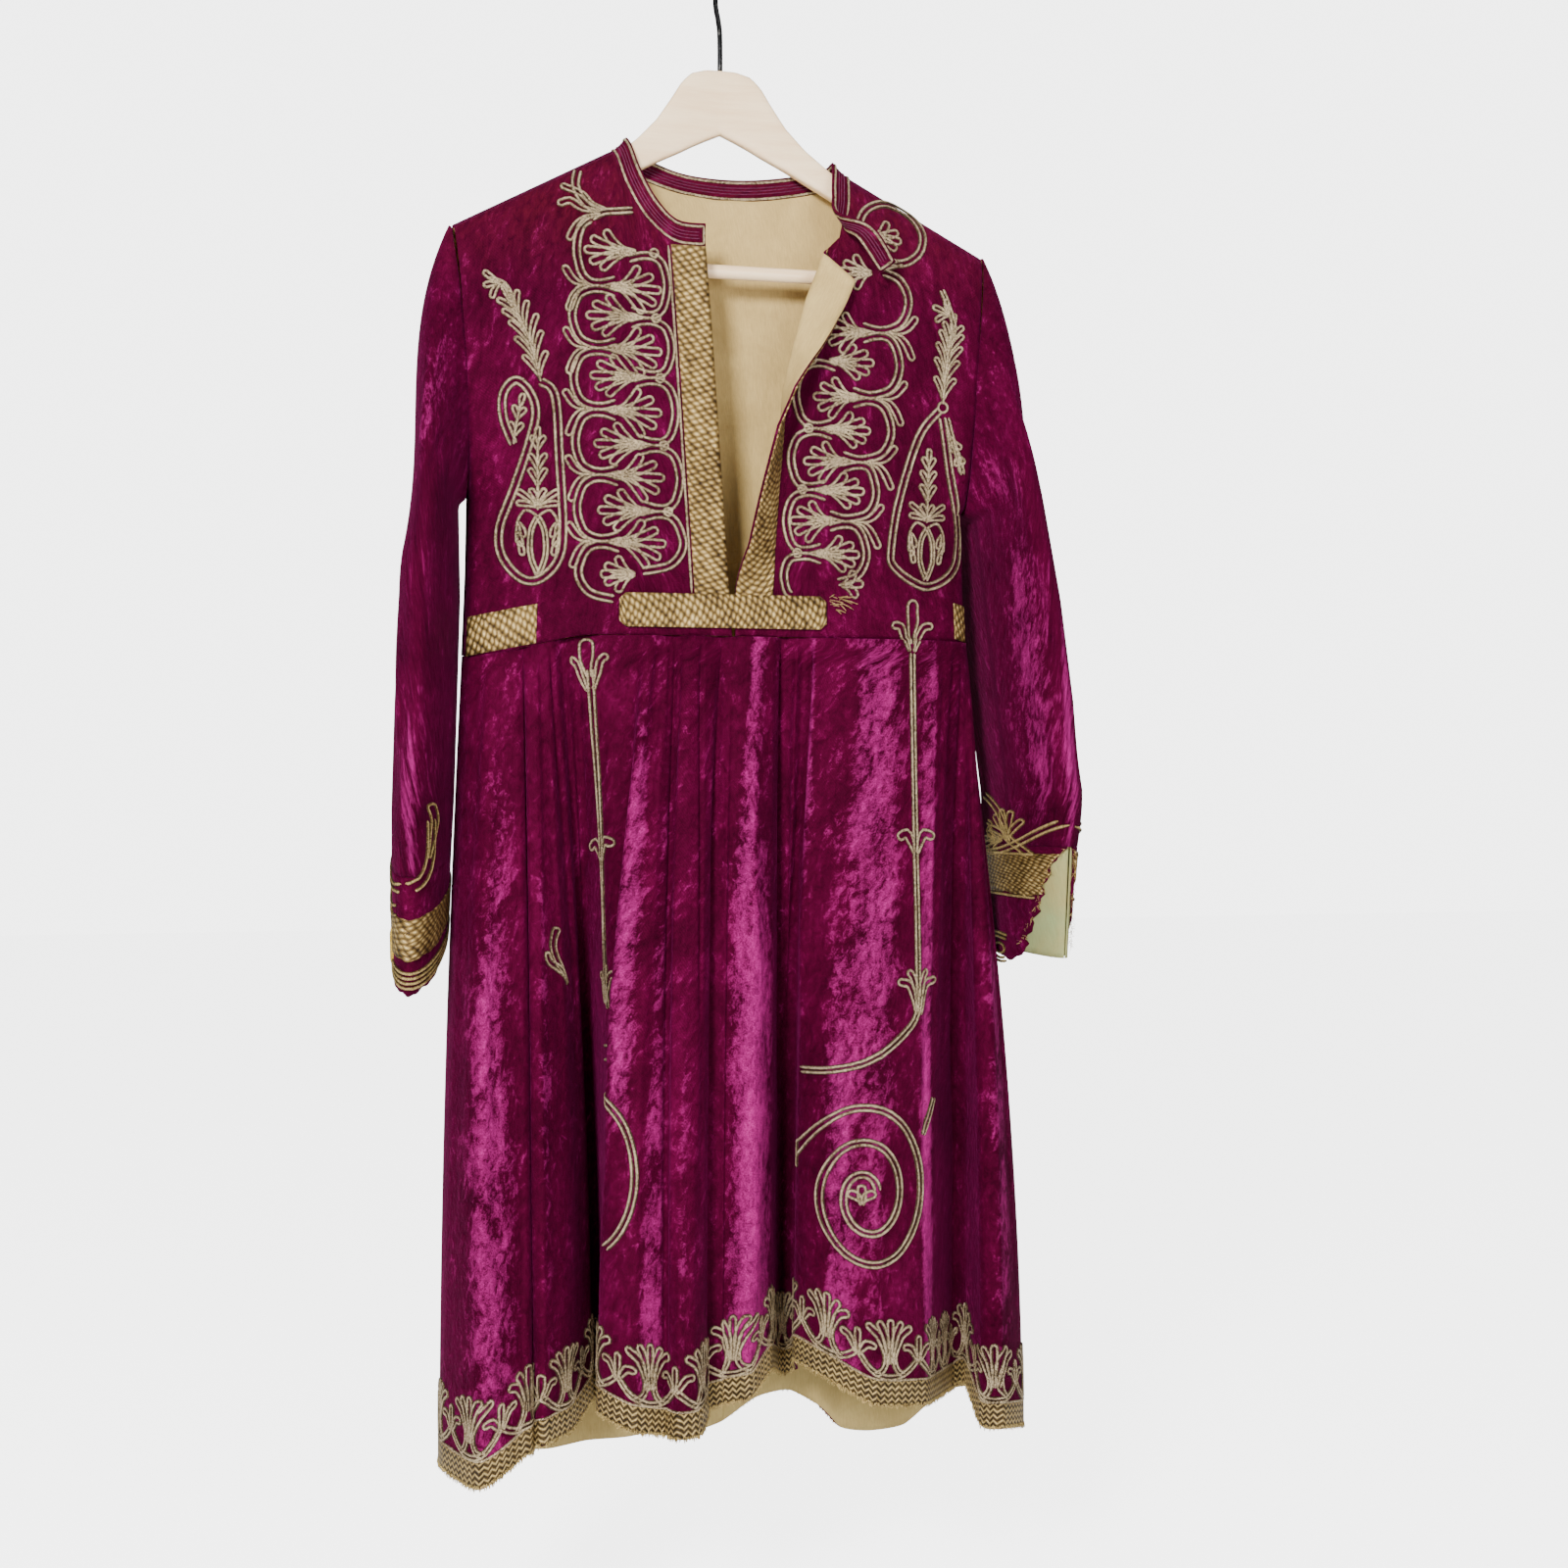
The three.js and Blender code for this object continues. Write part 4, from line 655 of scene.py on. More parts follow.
@dataclass(frozen=True)
class ChevronBraid:
    """Woven metal braid with zigzag rows, for the hem."""

    dark: Colour = (0.022, 0.011, 0.003)
    middle: Colour = (0.15, 0.09, 0.025)
    light: Colour = (0.66, 0.47, 0.19)
    zigzag: float = 1.6
    rows: float = 13.5
    swing: float = 0.3

    def make(self, groups: "Groups") -> bpy.types.Material:
        """Makes the material from the shared groups."""
        material, graph, shader = principled("chevron_braid")
        place = graph.node("ShaderNodeSeparateXYZ", Vector=flat_place(graph))
        zigzag = graph.maths("PINGPONG", graph.maths("MULTIPLY", place.outputs[0], self.zigzag), 0.5)
        level = graph.maths("MULTIPLY_ADD", zigzag, self.swing * 2, place.outputs[1])
        rows = graph.maths("MULTIPLY_ADD", graph.maths("SINE", graph.maths("MULTIPLY", level, self.rows)),
                           0.5, 0.5)
        worn = grouped(graph, groups.patches, solid_place(graph), Scale=60.0, Length=1.0, Contrast=2.2)
        glint = grouped(graph, groups.patches, solid_place(graph), Scale=600.0, Length=1.0, Contrast=3.0)
        tone = graph.maths("MULTIPLY_ADD", worn, 0.24, graph.maths("MULTIPLY", rows, 0.66))
        tone = graph.maths("MULTIPLY_ADD", glint, 0.2, tone)
        graph.join(graph.ramp(tone, (0.16, self.dark), (0.5, self.middle), (0.92, self.light)),
                   shader.inputs["Base Color"])
        shader.inputs["Metallic"].default_value = 0.55
        shader.inputs["Roughness"].default_value = 0.42
        graph.join(bump(graph, glint, 0.0006, 0.6, bump(graph, rows, 0.003, 1.0)),
                   shader.inputs["Normal"])
        return material


@dataclass(frozen=True)
class Beech:
    """Pale varnished beech."""

    pale: Colour = (1.0, 0.76, 0.48)
    grain: Colour = (0.86, 0.57, 0.31)

    def make(self, groups: "Groups") -> bpy.types.Material:
        """Makes the material from the shared groups."""
        material, graph, shader = principled("beech")
        space = solid_place(graph)
        along = graph.node("ShaderNodeMapping", Vector=space, Scale=(4.0, 60.0, 60.0))
        rings = graph.node("ShaderNodeTexNoise", Vector=along.outputs[0], Scale=2.2, Detail=7.0)
        flecks = graph.node("ShaderNodeTexNoise", Vector=along.outputs[0], Scale=16.0, Detail=3.0)
        tone = graph.maths("MULTIPLY_ADD", flecks.outputs[0], 0.3, rings.outputs[0])
        graph.join(graph.ramp(tone, (0.5, self.pale), (0.95, self.grain)), shader.inputs["Base Color"])
        worn = grouped(graph, groups.patches, space, Scale=30.0, Length=1.0, Contrast=1.5)
        rough = graph.node("ShaderNodeMapRange", Value=worn, To_Min=0.28, To_Max=0.46).outputs[0]
        graph.join(rough, shader.inputs["Roughness"])
        shader.inputs["Coat Weight"].default_value = 0.2
        graph.join(bump(graph, tone, 0.0003, 0.3), shader.inputs["Normal"])
        return material


@dataclass(frozen=True)
class BlackWire:
    """Blackened steel wire, scuffed."""

    black: Colour = (0.012, 0.012, 0.013)
    scuff: Colour = (0.12, 0.115, 0.11)

    def make(self, groups: "Groups") -> bpy.types.Material:
        """Makes the material from the shared groups."""
        material, graph, shader = principled("black_wire")
        worn = grouped(graph, groups.patches, solid_place(graph), Scale=180.0, Length=1.0, Contrast=3.0)
        spots = graph.node("ShaderNodeMapRange", Value=worn, From_Min=0.6, From_Max=0.95).outputs[0]
        graph.join(graph.blend(spots, self.black, self.scuff), shader.inputs["Base Color"])
        shader.inputs["Metallic"].default_value = 0.85
        rough = graph.node("ShaderNodeMapRange", Value=worn, To_Min=0.25, To_Max=0.5).outputs[0]
        graph.join(rough, shader.inputs["Roughness"])
        return material


@dataclass
class Groups:
    """The shared shader groups, built once."""

    patches: bpy.types.NodeTree = field(default_factory=patches_group)
    weave: bpy.types.NodeTree = field(default_factory=weave_group)
    twist: bpy.types.NodeTree = field(default_factory=twist_group)


class Finishes:
    """Every finish of the robe and its hanger."""

    def __init__(self) -> None:
        """Makes the materials."""
        groups = Groups()
        self.velvet = Velvet().make(groups)
        self.lining = Lining().make(groups)
        self.cord = Thread(
            "couched_cord", (0.045, 0.024, 0.01), (0.34, 0.225, 0.105), (0.92, 0.76, 0.50)).make(groups)
        self.gold = Thread(
            "gold_thread", (0.06, 0.033, 0.008), (0.37, 0.24, 0.07), (0.9, 0.68, 0.28),
            shine=0.65).make(groups)
        self.stitch = Thread(
            "dark_stitch", (0.03, 0.002, 0.012), (0.09, 0.004, 0.035), (0.22, 0.02, 0.1),
            shine=0.0).make(groups)
        self.core = Thread(
            "yellow_core", (0.35, 0.16, 0.01), (0.75, 0.42, 0.03), (0.95, 0.68, 0.12), shine=0.1).make(groups)
        self.braid = FlatBraid().make(groups)
        self.chevron = ChevronBraid().make(groups)
        self.beech = Beech().make(groups)
        self.wire = BlackWire().make(groups)


# ---- the cloth's surfaces ------------------------------------------------------------------------


@dataclass(frozen=True)
class Crease:
    """A soft ridge (positive) or trough (negative) along a line in a piece's own two directions."""

    start: Pair
    end: Pair
    height: float
    width: float

    def at(self, a: float, b: float) -> float:
        """How far it lifts the cloth at a place."""
        (x0, z0), (x1, z1) = self.start, self.end
        dx, dz = x1 - x0, z1 - z0
        length = dx * dx + dz * dz
        share = ((a - x0) * dx + (b - z0) * dz) / length
        if share < -0.15 or share > 1.15:
            return 0.0
        across = ((a - x0) * dz - (b - z0) * dx) / math.sqrt(length) / self.width
        if abs(across) > 2.6:
            return 0.0
        taper = smooth((share + 0.15) / 0.4) * smooth((1.15 - share) / 0.4)
        return self.height * math.exp(-across * across) * taper


def creased(creases: Iterable[Crease], a: float, b: float) -> float:
    """How far all the creases lift the cloth at a place."""
    return sum(crease.at(a, b) for crease in creases)


@dataclass
class Body:
    """The bodice's surface, over the hanger and down to the waist."""

    neck_x: float = 88.0
    neck_z: float = -150.0
    slope: float = 0.545
    neck_rise: float = 0.12
    tip_x: float = 212.0
    sweep: float = 0.058
    rounding: float = 28.0
    armpit_z: float = -425.0
    armhole_z: float = -320.0
    soft_drop: float = 150.0
    armhole_y: dict = field(default_factory=lambda: {Face.FRONT: -34.0, Face.BACK: 19.0})
    waist_z: float = -530.0
    waist_drop: float = 16.0
    side_y: float = -2.0
    roundness: float = 3.2
    ridge_edge: float = 0.02
    side: tuple = (
        (-218, 212), (-260, 208), (-320, 204), (-380, 201), (-425, 200), (-480, 201), (-530, 203),
        (-550, 204))
    depth: tuple = (
        (-130, -22, 16), (-200, -34, 21), (-300, -39, 23), (-420, -40, 23), (-550, -41, 22))
    front_creases: tuple = (
        Crease((-150, -215), (-128, -330), 2.6, 9), Crease((-166, -235), (-150, -360), -2.4, 8),
        Crease((-136, -330), (-132, -520), -2.2, 5), Crease((-190, -300), (-172, -420), 2.2, 8),
        Crease((-185, -425), (-178, -525), -2.0, 7), Crease((-112, -232), (-60, -216), -1.6, 6),
        Crease((-96, -260), (-90, -330), 1.2, 9), Crease((-60, -330), (-75, -430), -1.2, 8),
        Crease((-40, -440), (-95, -505), 1.3, 7), Crease((-150, -500), (-196, -526), 1.8, 6),
        Crease((150, -225), (142, -330), 1.8, 10), Crease((186, -262), (172, -352), -2.4, 8),
        Crease((196, -330), (190, -440), 2.0, 7), Crease((110, -260), (98, -330), -1.4, 9),
        Crease((128, -430), (120, -520), 1.7, 8), Crease((196, -450), (150, -512), -1.7, 7),
        Crease((70, -330), (60, -400), 1.2, 8), Crease((90, -505), (180, -521), 1.4, 6))
    back_creases: tuple = (
        Crease((-150, -222), (-120, -360), 2.2, 12), Crease((-70, -200), (-50, -420), -1.8, 12),
        Crease((30, -210), (22, -500), 1.4, 16), Crease((120, -215), (140, -380), -2.2, 11),
        Crease((170, -300), (130, -500), 2.0, 12), Crease((-170, -380), (-110, -520), -2.0, 10))

    def ridge_y(self, x: float) -> float:
        """Depth of the shoulder line."""
        return -self.sweep * abs(x)

    def ridge_z(self, x: float) -> float:
        """Height of the shoulder line."""
        out = abs(x) - self.neck_x
        return self.neck_z - out * (self.slope if out > 0 else self.neck_rise)

    def waist(self, x: float) -> float:
        """Height of the waist seam."""
        return self.waist_z - self.waist_drop * smooth((-x - 100) / 100)

    def depth_at(self, face: Face, x: float, z: float) -> float:
        """Depth of the smooth body at a place in its elevation."""
        half = column(self.side, z, 1)
        q = min(abs(x) / half, 0.99997)
        below = clamp((self.armhole_z - z) / (self.armhole_z - self.armpit_z))
        soft = 1 - smooth((self.armhole_z - z) / self.soft_drop)
        armhole = lerp(soft, math.sqrt(1 - below ** 2), smooth((q - 0.88) / 0.12))
        middle = column(self.depth, z, 1 if face is Face.FRONT else 2)
        share = 1 - q ** self.roundness
        seamed = lerp(self.side_y, middle, math.sqrt(share))
        opened = lerp(self.armhole_y[face], middle, share)
        full = lerp(seamed, opened, armhole)
        drop = max(self.ridge_z(x) - z, self.ridge_edge)
        rounded = math.sqrt(1 - math.exp(-drop / self.rounding))
        return self.ridge_y(x) + (full - self.ridge_y(x)) * rounded

    def place(self, face: Face, x: float, height: float) -> Place:
        """A place on the creased cloth, with the normal out of it."""
        near = 0.05
        z = min(height, self.ridge_z(x) - self.ridge_edge)
        inward = -math.copysign(near, x or 1)
        y = self.depth_at(face, x, z)
        slope_x = (self.depth_at(face, x + inward, z) - y) / inward
        slope_z = (y - self.depth_at(face, x, z - near)) / near
        sign = face.value
        normal = Vector((-slope_x * sign, sign, -slope_z * sign)).normalized()
        creases = self.front_creases if face is Face.FRONT else self.back_creases
        half = column(self.side, z, 1)
        fade = smooth((half - abs(x)) / 14) * smooth((self.ridge_z(x) - z) / 16)
        fade *= smooth((z - self.waist(x)) / 10)
        return Vector((x, y, z)) + normal * creased(creases, x, z) * fade, normal

    def front(self, x: float, z: float) -> Place:
        """A place on the front."""
        return self.place(Face.FRONT, x, z)


Edge = Callable[[float], Pair]


def coons(top: Edge, bottom: Edge, start: Edge, end: Edge) -> Callable[[float, float], Pair]:
    """Elevation of a piece between its four edges."""
    def inside(u: float, v: float) -> Pair:
        """The place a share u across and v down the piece."""
        result = []
        for axis in (0, 1):
            across = lerp(top(u)[axis], bottom(u)[axis], v)
            down = lerp(start(v)[axis], end(v)[axis], u)
            corners = lerp(lerp(top(0)[axis], top(1)[axis], u), lerp(bottom(0)[axis], bottom(1)[axis], u), v)
            result.append(across + down - corners)
        return result[0], result[1]
    return inside


@dataclass
class Bodice:
    """The robe above its waist: two fronts and the back, with the braids and the collar on them."""

    body: Body
    finishes: Finishes
    front_top: Pair = (-19.0, -227.0)
    front_bottom: Pair = (0.5, -530.0)
    band: float = 31.0
    narrow_band: float = 27.5
    band_end: float = -520.0
    fold_radius: float = 3.6
    lapel_slope: float = 0.87
    half_right: float = 204.0
    half_left: float = 203.0
    neck_right: tuple = (
        (0, -19, -227), (0.12, -44, -225), (0.22, -66, -207), (0.3, -80, -181), (0.34, -86, -157),
        (0.36, -88, -150))
    neck_left: tuple = (
        (0, 80, -222), (0.08, 95, -207), (0.14, 100, -185), (0.18, 102.5, -165), (0.2, 103.5, -158.4))
    neck_back: tuple = (
        (0.3, -88, -150), (0.31, -85, -153), (0.33, -76, -158), (0.37, -58, -166), (0.43, -30, -173),
        (0.5, 2, -176), (0.57, 34, -175), (0.64, 68, -170), (0.68, 90, -165), (0.695, 100, -161.5),
        (0.705, 103.5, -158.4))
    fold: tuple = (
        (-222, 80, 168), (-260, 65, 160), (-299, 54, 138), (-338, 45, 98), (-369, 43, 72),
        (-415, 39, 54), (-461, 35.5, 36), (-494, 34.5, 0), (-530, 34.5, 0))
    collar_line: tuple = (
        (-19, -227, "front", 0, 0, 18), (-44, -225, "front", 3, 1, 18), (-66, -207, "front", 9, 1, 16),
        (-80, -181, "front", 12, 1, 13), (-86, -157, "front", 12, 1, 12), (-88, -150, "ridge", 12, 0, 12),
        (-85, -153, "back", 11, -1, 13), (-76, -158, "back", 10, -2, 13), (-58, -166, "back", 8, -3, 14),
        (-30, -173, "back", 3, -3, 15), (2, -176, "back", 0, -3, 16), (34, -175, "back", -3, -3, 16),
        (68, -170, "back", -7, -3, 15), (90, -165, "back", -10, -2, 14),
        (100, -161.5, "back", -12, -1, 13), (103.5, -158.4, "ridge", -13, 0, 12),
        (102.5, -165, "front", -14, 0, 11), (100, -185, "front", -15, -2, 8),
        (96, -204, "front", -11, -10, 9), (100, -219, -52.0, 10, -6, 10), (117, -244, -53.0, 12, -3, 9))

    def __post_init__(self) -> None:
        """Sets the rows that every piece of the bodice shares."""
        self.rows = [0, 0.012, 0.03, 0.05] + shares(84, 0.065, 1.0)

    def neck_and_shoulder(self, neck: Sequence[Sequence[float]], u: float) -> Pair:
        """The neckline, then the shoulder line out to its tip."""
        last = neck[-1]
        if u <= last[0]:
            return column(neck, u, 1), column(neck, u, 2)
        x = math.copysign(lerp(abs(last[1]), self.body.tip_x, (u - last[0]) / (1 - last[0])), last[1])
        return x, self.body.ridge_z(x)

    def side_edge(self, sign: int, v: float) -> Pair:
        """The armhole and the side seam."""
        z = lerp(self.body.ridge_z(self.body.tip_x), self.body.waist(sign * self.body.tip_x), v)
        return sign * column(self.body.side, z, 1), z

    def fold_line(self, v: float) -> Pair:
        """The line on which the left front turns back."""
        z = lerp(self.fold[0][0], self.body.waist_z, v)
        return column(self.fold, z, 1), z

    def front_edge(self, z: float) -> float:
        """X of the right front's edge."""
        (x0, z0), (x1, z1) = self.front_top, self.front_bottom
        return lerp(x0, x1, (z - z0) / (z1 - z0))

    def waist_line(self, start: float, end: float) -> Edge:
        """The waist seam between two places."""
        def line(u: float) -> Pair:
            """The place a share u along it."""
            x = lerp(start, end, u)
            return x, self.body.waist(x)
        return line

    def turned_edge(self, s: float, z: float) -> Place:
        """The left front's turned edge, a distance s from its fold line."""
        x = column(self.fold, z, 1)
        turn = math.radians(column(self.fold, z, 2))
        arc = min(s / self.fold_radius, turn)
        straight = max(s - turn * self.fold_radius, 0)
        across = -self.fold_radius * math.sin(arc) - straight * math.cos(turn)
        forward = -self.fold_radius * (1 - math.cos(arc)) - straight * math.sin(turn)
        lower = s * self.lapel_slope * smooth((z + 330) / 100)
        y = self.body.depth_at(Face.FRONT, x, z)
        return (Vector((x + across, y + forward, z - lower)),
                Vector((math.sin(arc), -math.cos(arc), 0)))

    def front_right(self) -> bpy.types.Object:
        """The right front."""
        top, bottom = self.front_top, self.front_bottom
        inside = coons(
            lambda u: self.neck_and_shoulder(self.neck_right, u),
            self.waist_line(bottom[0], -self.half_right),
            lambda v: (lerp(top[0], bottom[0], v), lerp(top[1], bottom[1], v)),
            lambda v: self.side_edge(-1, v))
        across = shares(72, 0, 0.94) + [0.96, 0.98, 1.0]
        grid = [[self.body.front(*inside(u, v)) for u in across] for v in self.rows]
        return shell("velvet_front_right", grid, (self.finishes.velvet, self.finishes.lining))

    def front_left(self) -> bpy.types.Object:
        """The left front, with its edge turned back at the neck."""
        inside = coons(
            lambda u: self.neck_and_shoulder(self.neck_left, u),
            self.waist_line(self.fold_line(1)[0], self.half_left), self.fold_line,
            lambda v: self.side_edge(1, v))
        turned = [-self.band, -27, -23, -19, -15, -11, -9, -7.4, -6, -4.8, -3.6, -2.4, -1.2]
        across = turned + shares(60, 0, 0.94) + [0.96, 0.98, 1.0]
        grid = [[
            self.turned_edge(-u, self.fold_line(v)[1]) if u < 0 else self.body.front(*inside(u, v))
            for u in across] for v in self.rows]
        return shell("velvet_front_left", grid, (self.finishes.velvet, self.finishes.lining))

    def back(self) -> bpy.types.Object:
        """The back."""
        first, last = self.neck_back[0], self.neck_back[-1]

        def top(u: float) -> Pair:
            """The shoulder lines and the back of the neck."""
            if first[0] <= u <= last[0]:
                return column(self.neck_back, u, 1), column(self.neck_back, u, 2)
            x = (lerp(-self.body.tip_x, first[1], u / first[0]) if u < first[0]
                 else lerp(last[1], self.body.tip_x, (u - last[0]) / (1 - last[0])))
            return x, self.body.ridge_z(x)

        inside = coons(top, self.waist_line(-self.half_right, self.half_left),
                       lambda v: self.side_edge(-1, v), lambda v: self.side_edge(1, v))
        edge = [0, 0.008, 0.02, 0.035]
        across = edge + shares(100, 0.05, 0.95) + [1 - u for u in reversed(edge)]
        grid = [[self.body.place(Face.BACK, *inside(u, v)) for u in across] for v in self.rows]
        return shell("velvet_back", grid, (self.finishes.velvet, self.finishes.lining))

    def collar_stations(self, parts: int = 6) -> list[tuple[Vector, Vector]]:
        """The collar's foot and the way it rises, from the right front round the neck."""
        stations = []
        for x, z, where, dx, dy, dz in self.collar_line:
            if where == "ridge":
                y = self.body.ridge_y(x)
            elif isinstance(where, str):
                y = self.body.depth_at(Face.FRONT if where == "front" else Face.BACK, x, z)
            else:
                y = where
            rise = Vector((dx, dy, dz))
            stations.append((x, y, z, *rise))
        fine = []
        for k in range(len(stations) - 1):
            p0, p1 = stations[max(k - 1, 0)], stations[k]
            p2, p3 = stations[k + 1], stations[min(k + 2, len(stations) - 1)]
            for i in range(parts):
                t = i / parts
                row = [0.5 * (2 * b + (c - a) * t + (2 * a - 5 * b + 4 * c - d) * t * t
                              + (3 * b - a - 3 * c + d) * t ** 3) for a, b, c, d in zip(p0, p1, p2, p3)]
                fine.append((Vector(row[:3]), Vector(row[3:])))
        fine.append((Vector(stations[-1][:3]), Vector(stations[-1][3:])))
        return fine

    def collar_place(self, k: float, level: float) -> Place:
        """A place on the collar's middle, by station and share of its height."""
        stations = self.stations
        low = min(int(k), len(stations) - 2)
        share = k - low
        foot = stations[low][0].lerp(stations[low + 1][0], share)
        rise = stations[low][1].lerp(stations[low + 1][1], share)
        before, after = stations[max(low - 1, 0)][0], stations[min(low + 2, len(stations) - 1)][0]
        normal = (after - before).cross(rise).normalized()
        bulge = 1.0 * math.sin(math.pi * clamp(level))
        return foot + rise * level + normal * bulge, normal

    def collar(self) -> bpy.types.Object:
        """The stand collar."""
        self.stations = self.collar_stations()
        last = len(self.stations) - 1
        grid = [[self.collar_place(k, level) for k in range(last + 1)] for level in shares(7)]
        return shell("velvet_collar", grid, (self.finishes.velvet,), high=CLOTH / 2)

    def band_right(self) -> bpy.types.Object:
        """The braid beside the right front's edge."""
        heights = shares(110, self.front_top[1] - SEAM, self.band_end)
        grid = [[self.body.front(self.front_edge(z) - s, z) for s in shares(8, 0.4, self.narrow_band)]
                for z in heights]
        return shell("band_front_right", grid, (self.finishes.braid,), CLOTH / 2, CLOTH / 2 + BRAID)

    def band_left(self) -> bpy.types.Object:
        """The braid beside the left front's edge, turned back with it."""
        steps = [self.band, 27, 23, 19, 15, 11, 9, 7.4, 6, 4.8, 3.6, 2.4, 1.4]
        heights = [self.fold_line(v)[1] for v in self.rows]
        grid = [[self.turned_edge(s, z) for s in steps] for z in heights if z > self.band_end]
        return shell("band_front_left", grid, (self.finishes.braid,), CLOTH / 2, CLOTH / 2 + BRAID)

    def waist_band(self) -> bpy.types.Object:
        """The short band that closes the fronts at the waist, with blunt ends."""
        middle, half = -511.0, 13.0
        outline = ((-88, 8.5), (-83, half), (71, half), (76, 8.5))
        grid = []
        for x in [-88, -85.5] + shares(68, -83, 71) + [73.5, 76]:
            reach = column(outline, x, 1)
            grid.append([self.body.front(x, middle + reach * share) for share in shares(8, -1, 1)])
        low = CLOTH / 2 + BRAID + 0.6
        return shell("band_waist", grid, (self.finishes.braid,), low, low + BRAID)

    def side_band(self, side: Side, top: float, bottom: float, start: float) -> bpy.types.Object:
        """The band that runs from the side seam onto the front, higher towards the middle."""
        end = 0.985
        grid = [[self.body.front(side.value * share * column(self.body.side, z, 1), z - 39 * (share - end))
                 for z in shares(8, top, bottom)] for share in shares(30, start, end)]
        return shell(f"band_side_{side.word}", grid, (self.finishes.braid,), CLOTH / 2, CLOTH / 2 + BRAID)

    def build(self) -> None:
        """Builds and dresses every piece of the bodice."""
        right = dress(self.front_right(), "velvet", "front_right")
        left = dress(self.front_left(), "velvet", "front_left")
        back = dress(self.back(), "velvet", "back_bodice")
        collar = dress(self.collar(), "velvet", "collar")
        band_right = dress(self.band_right(), "braid", "braid_front_right")
        band_left = dress(self.band_left(), "braid", "braid_front_left")
        waist = dress(self.waist_band(), "braid", "braid_waist")
        side_right = dress(self.side_band(Side.RIGHT, -517, -547, 0.74), "braid", "braid_side_right")
        side_left = dress(self.side_band(Side.LEFT, -501, -530, 0.93), "braid", "braid_side_left")


SKIRT_FOLDS = (
    ("side_seam_right", -203, 2, -219, 15, -1171), ("outer_edge", -196, -13, -218.5, -25, -1167),
    ("outer_face", -182, -24, -197, -70, -1168.5), ("outer_inside", -168, -29, -162, -63, -1149),
    ("outer_crease", -160, -27.5, -155.5, -47, -1148), ("second_edge", -153, -32, -148, -58, -1143),
    ("second_face", -146, -34, -126, -35, -1140), ("second_inside", -139, -34, -104, 0, -1128),
    ("right_gap_side", -132, -29, -100, 38, -1138), ("right_gap_deep", -124, -30, -89, 42, -1139),
    ("stem_face_right", -100, -37, -93, -8, -1125), ("front_edge_right", -66, -42, -108, -70, -1117),
    ("front_face_right", -51, -38.5, -87, -95, -1126), ("front_pleat_deep", -41, -38, -60, -86, -1134),
    ("front_pleat_edge", -33, -43, -52, -98, -1134), ("front_pleat_side", -21, -40, -35.5, -91, -1134),
    ("centre_seam", -7, -37.5, -22, -60, -1125.5), ("centre_fold_side", 2, -41, -10, -52, -1123),
    ("centre_fold", 15, -43.5, 9, -57, -1118), ("centre_fold_edge", 32, -43, 32, -32, -1105),
    ("left_gap_side", 41, -37, 49, 14, -1120), ("left_gap_deep", 50, -38, 59, 23, -1124),
    ("left_gap_return", 59, -38, 66, 12, -1118), ("spiral_edge", 70, -42.5, 54.5, -32, -1098),
    ("spiral_near", 92, -42, 70, -64, -1104), ("spiral_face", 127, -40, 104, -82, -1123),
    ("spiral_far", 165, -34, 145, -72, -1129), ("spiral_side", 184, -27, 162, -46, -1134),
    ("side_gap_deep", 194, -21, 200, 22, -1146), ("side_gap_return", 200, -14, 211, 12, -1140),
    ("last_edge", 203, -7, 213, -22, -1165), ("last_face", 205, 0, 224, -36, -1164),
    ("last_side", 205, 8, 248, -12, -1171), ("side_seam_left", 200, 15, 259, 20, -1178),
    ("back_1", 190, 19, 234, 62, -1158), ("back_2", 172, 22, 203, 52, -1157),
    ("back_3", 152, 24, 174, 66, -1186), ("back_4", 130, 21.5, 146, 78, -1193),
    ("back_5", 108, 24.5, 119, 70, -1186), ("back_6", 86, 22, 96, 56, -1162),
    ("back_7", 64, 25, 72, 62, -1149), ("back_8", 42, 22, 46, 66, -1154),
    ("centre_back_seam", 20, 25, 20, 80, -1176), ("back_9", -4, 22.5, -8, 70, -1180),
    ("back_10", -28, 25, -36, 58, -1173), ("back_11", -52, 22, -64, 68, -1180),
    ("back_12", -76, 25, -95, 80, -1184), ("back_13", -102, 22, -127, 66, -1184),
    ("back_14", -128, 24, -158, 50, -1178), ("back_15", -154, 21, -187, 58, -1176),
    ("back_16", -184, 17, -209, 40, -1174))


@dataclass(frozen=True)
class SkirtPiece:
    """A piece of the skirt between two folds, with its flat cut."""

    name: str
    start: str
    end: str
    flat: Pair
    area: float


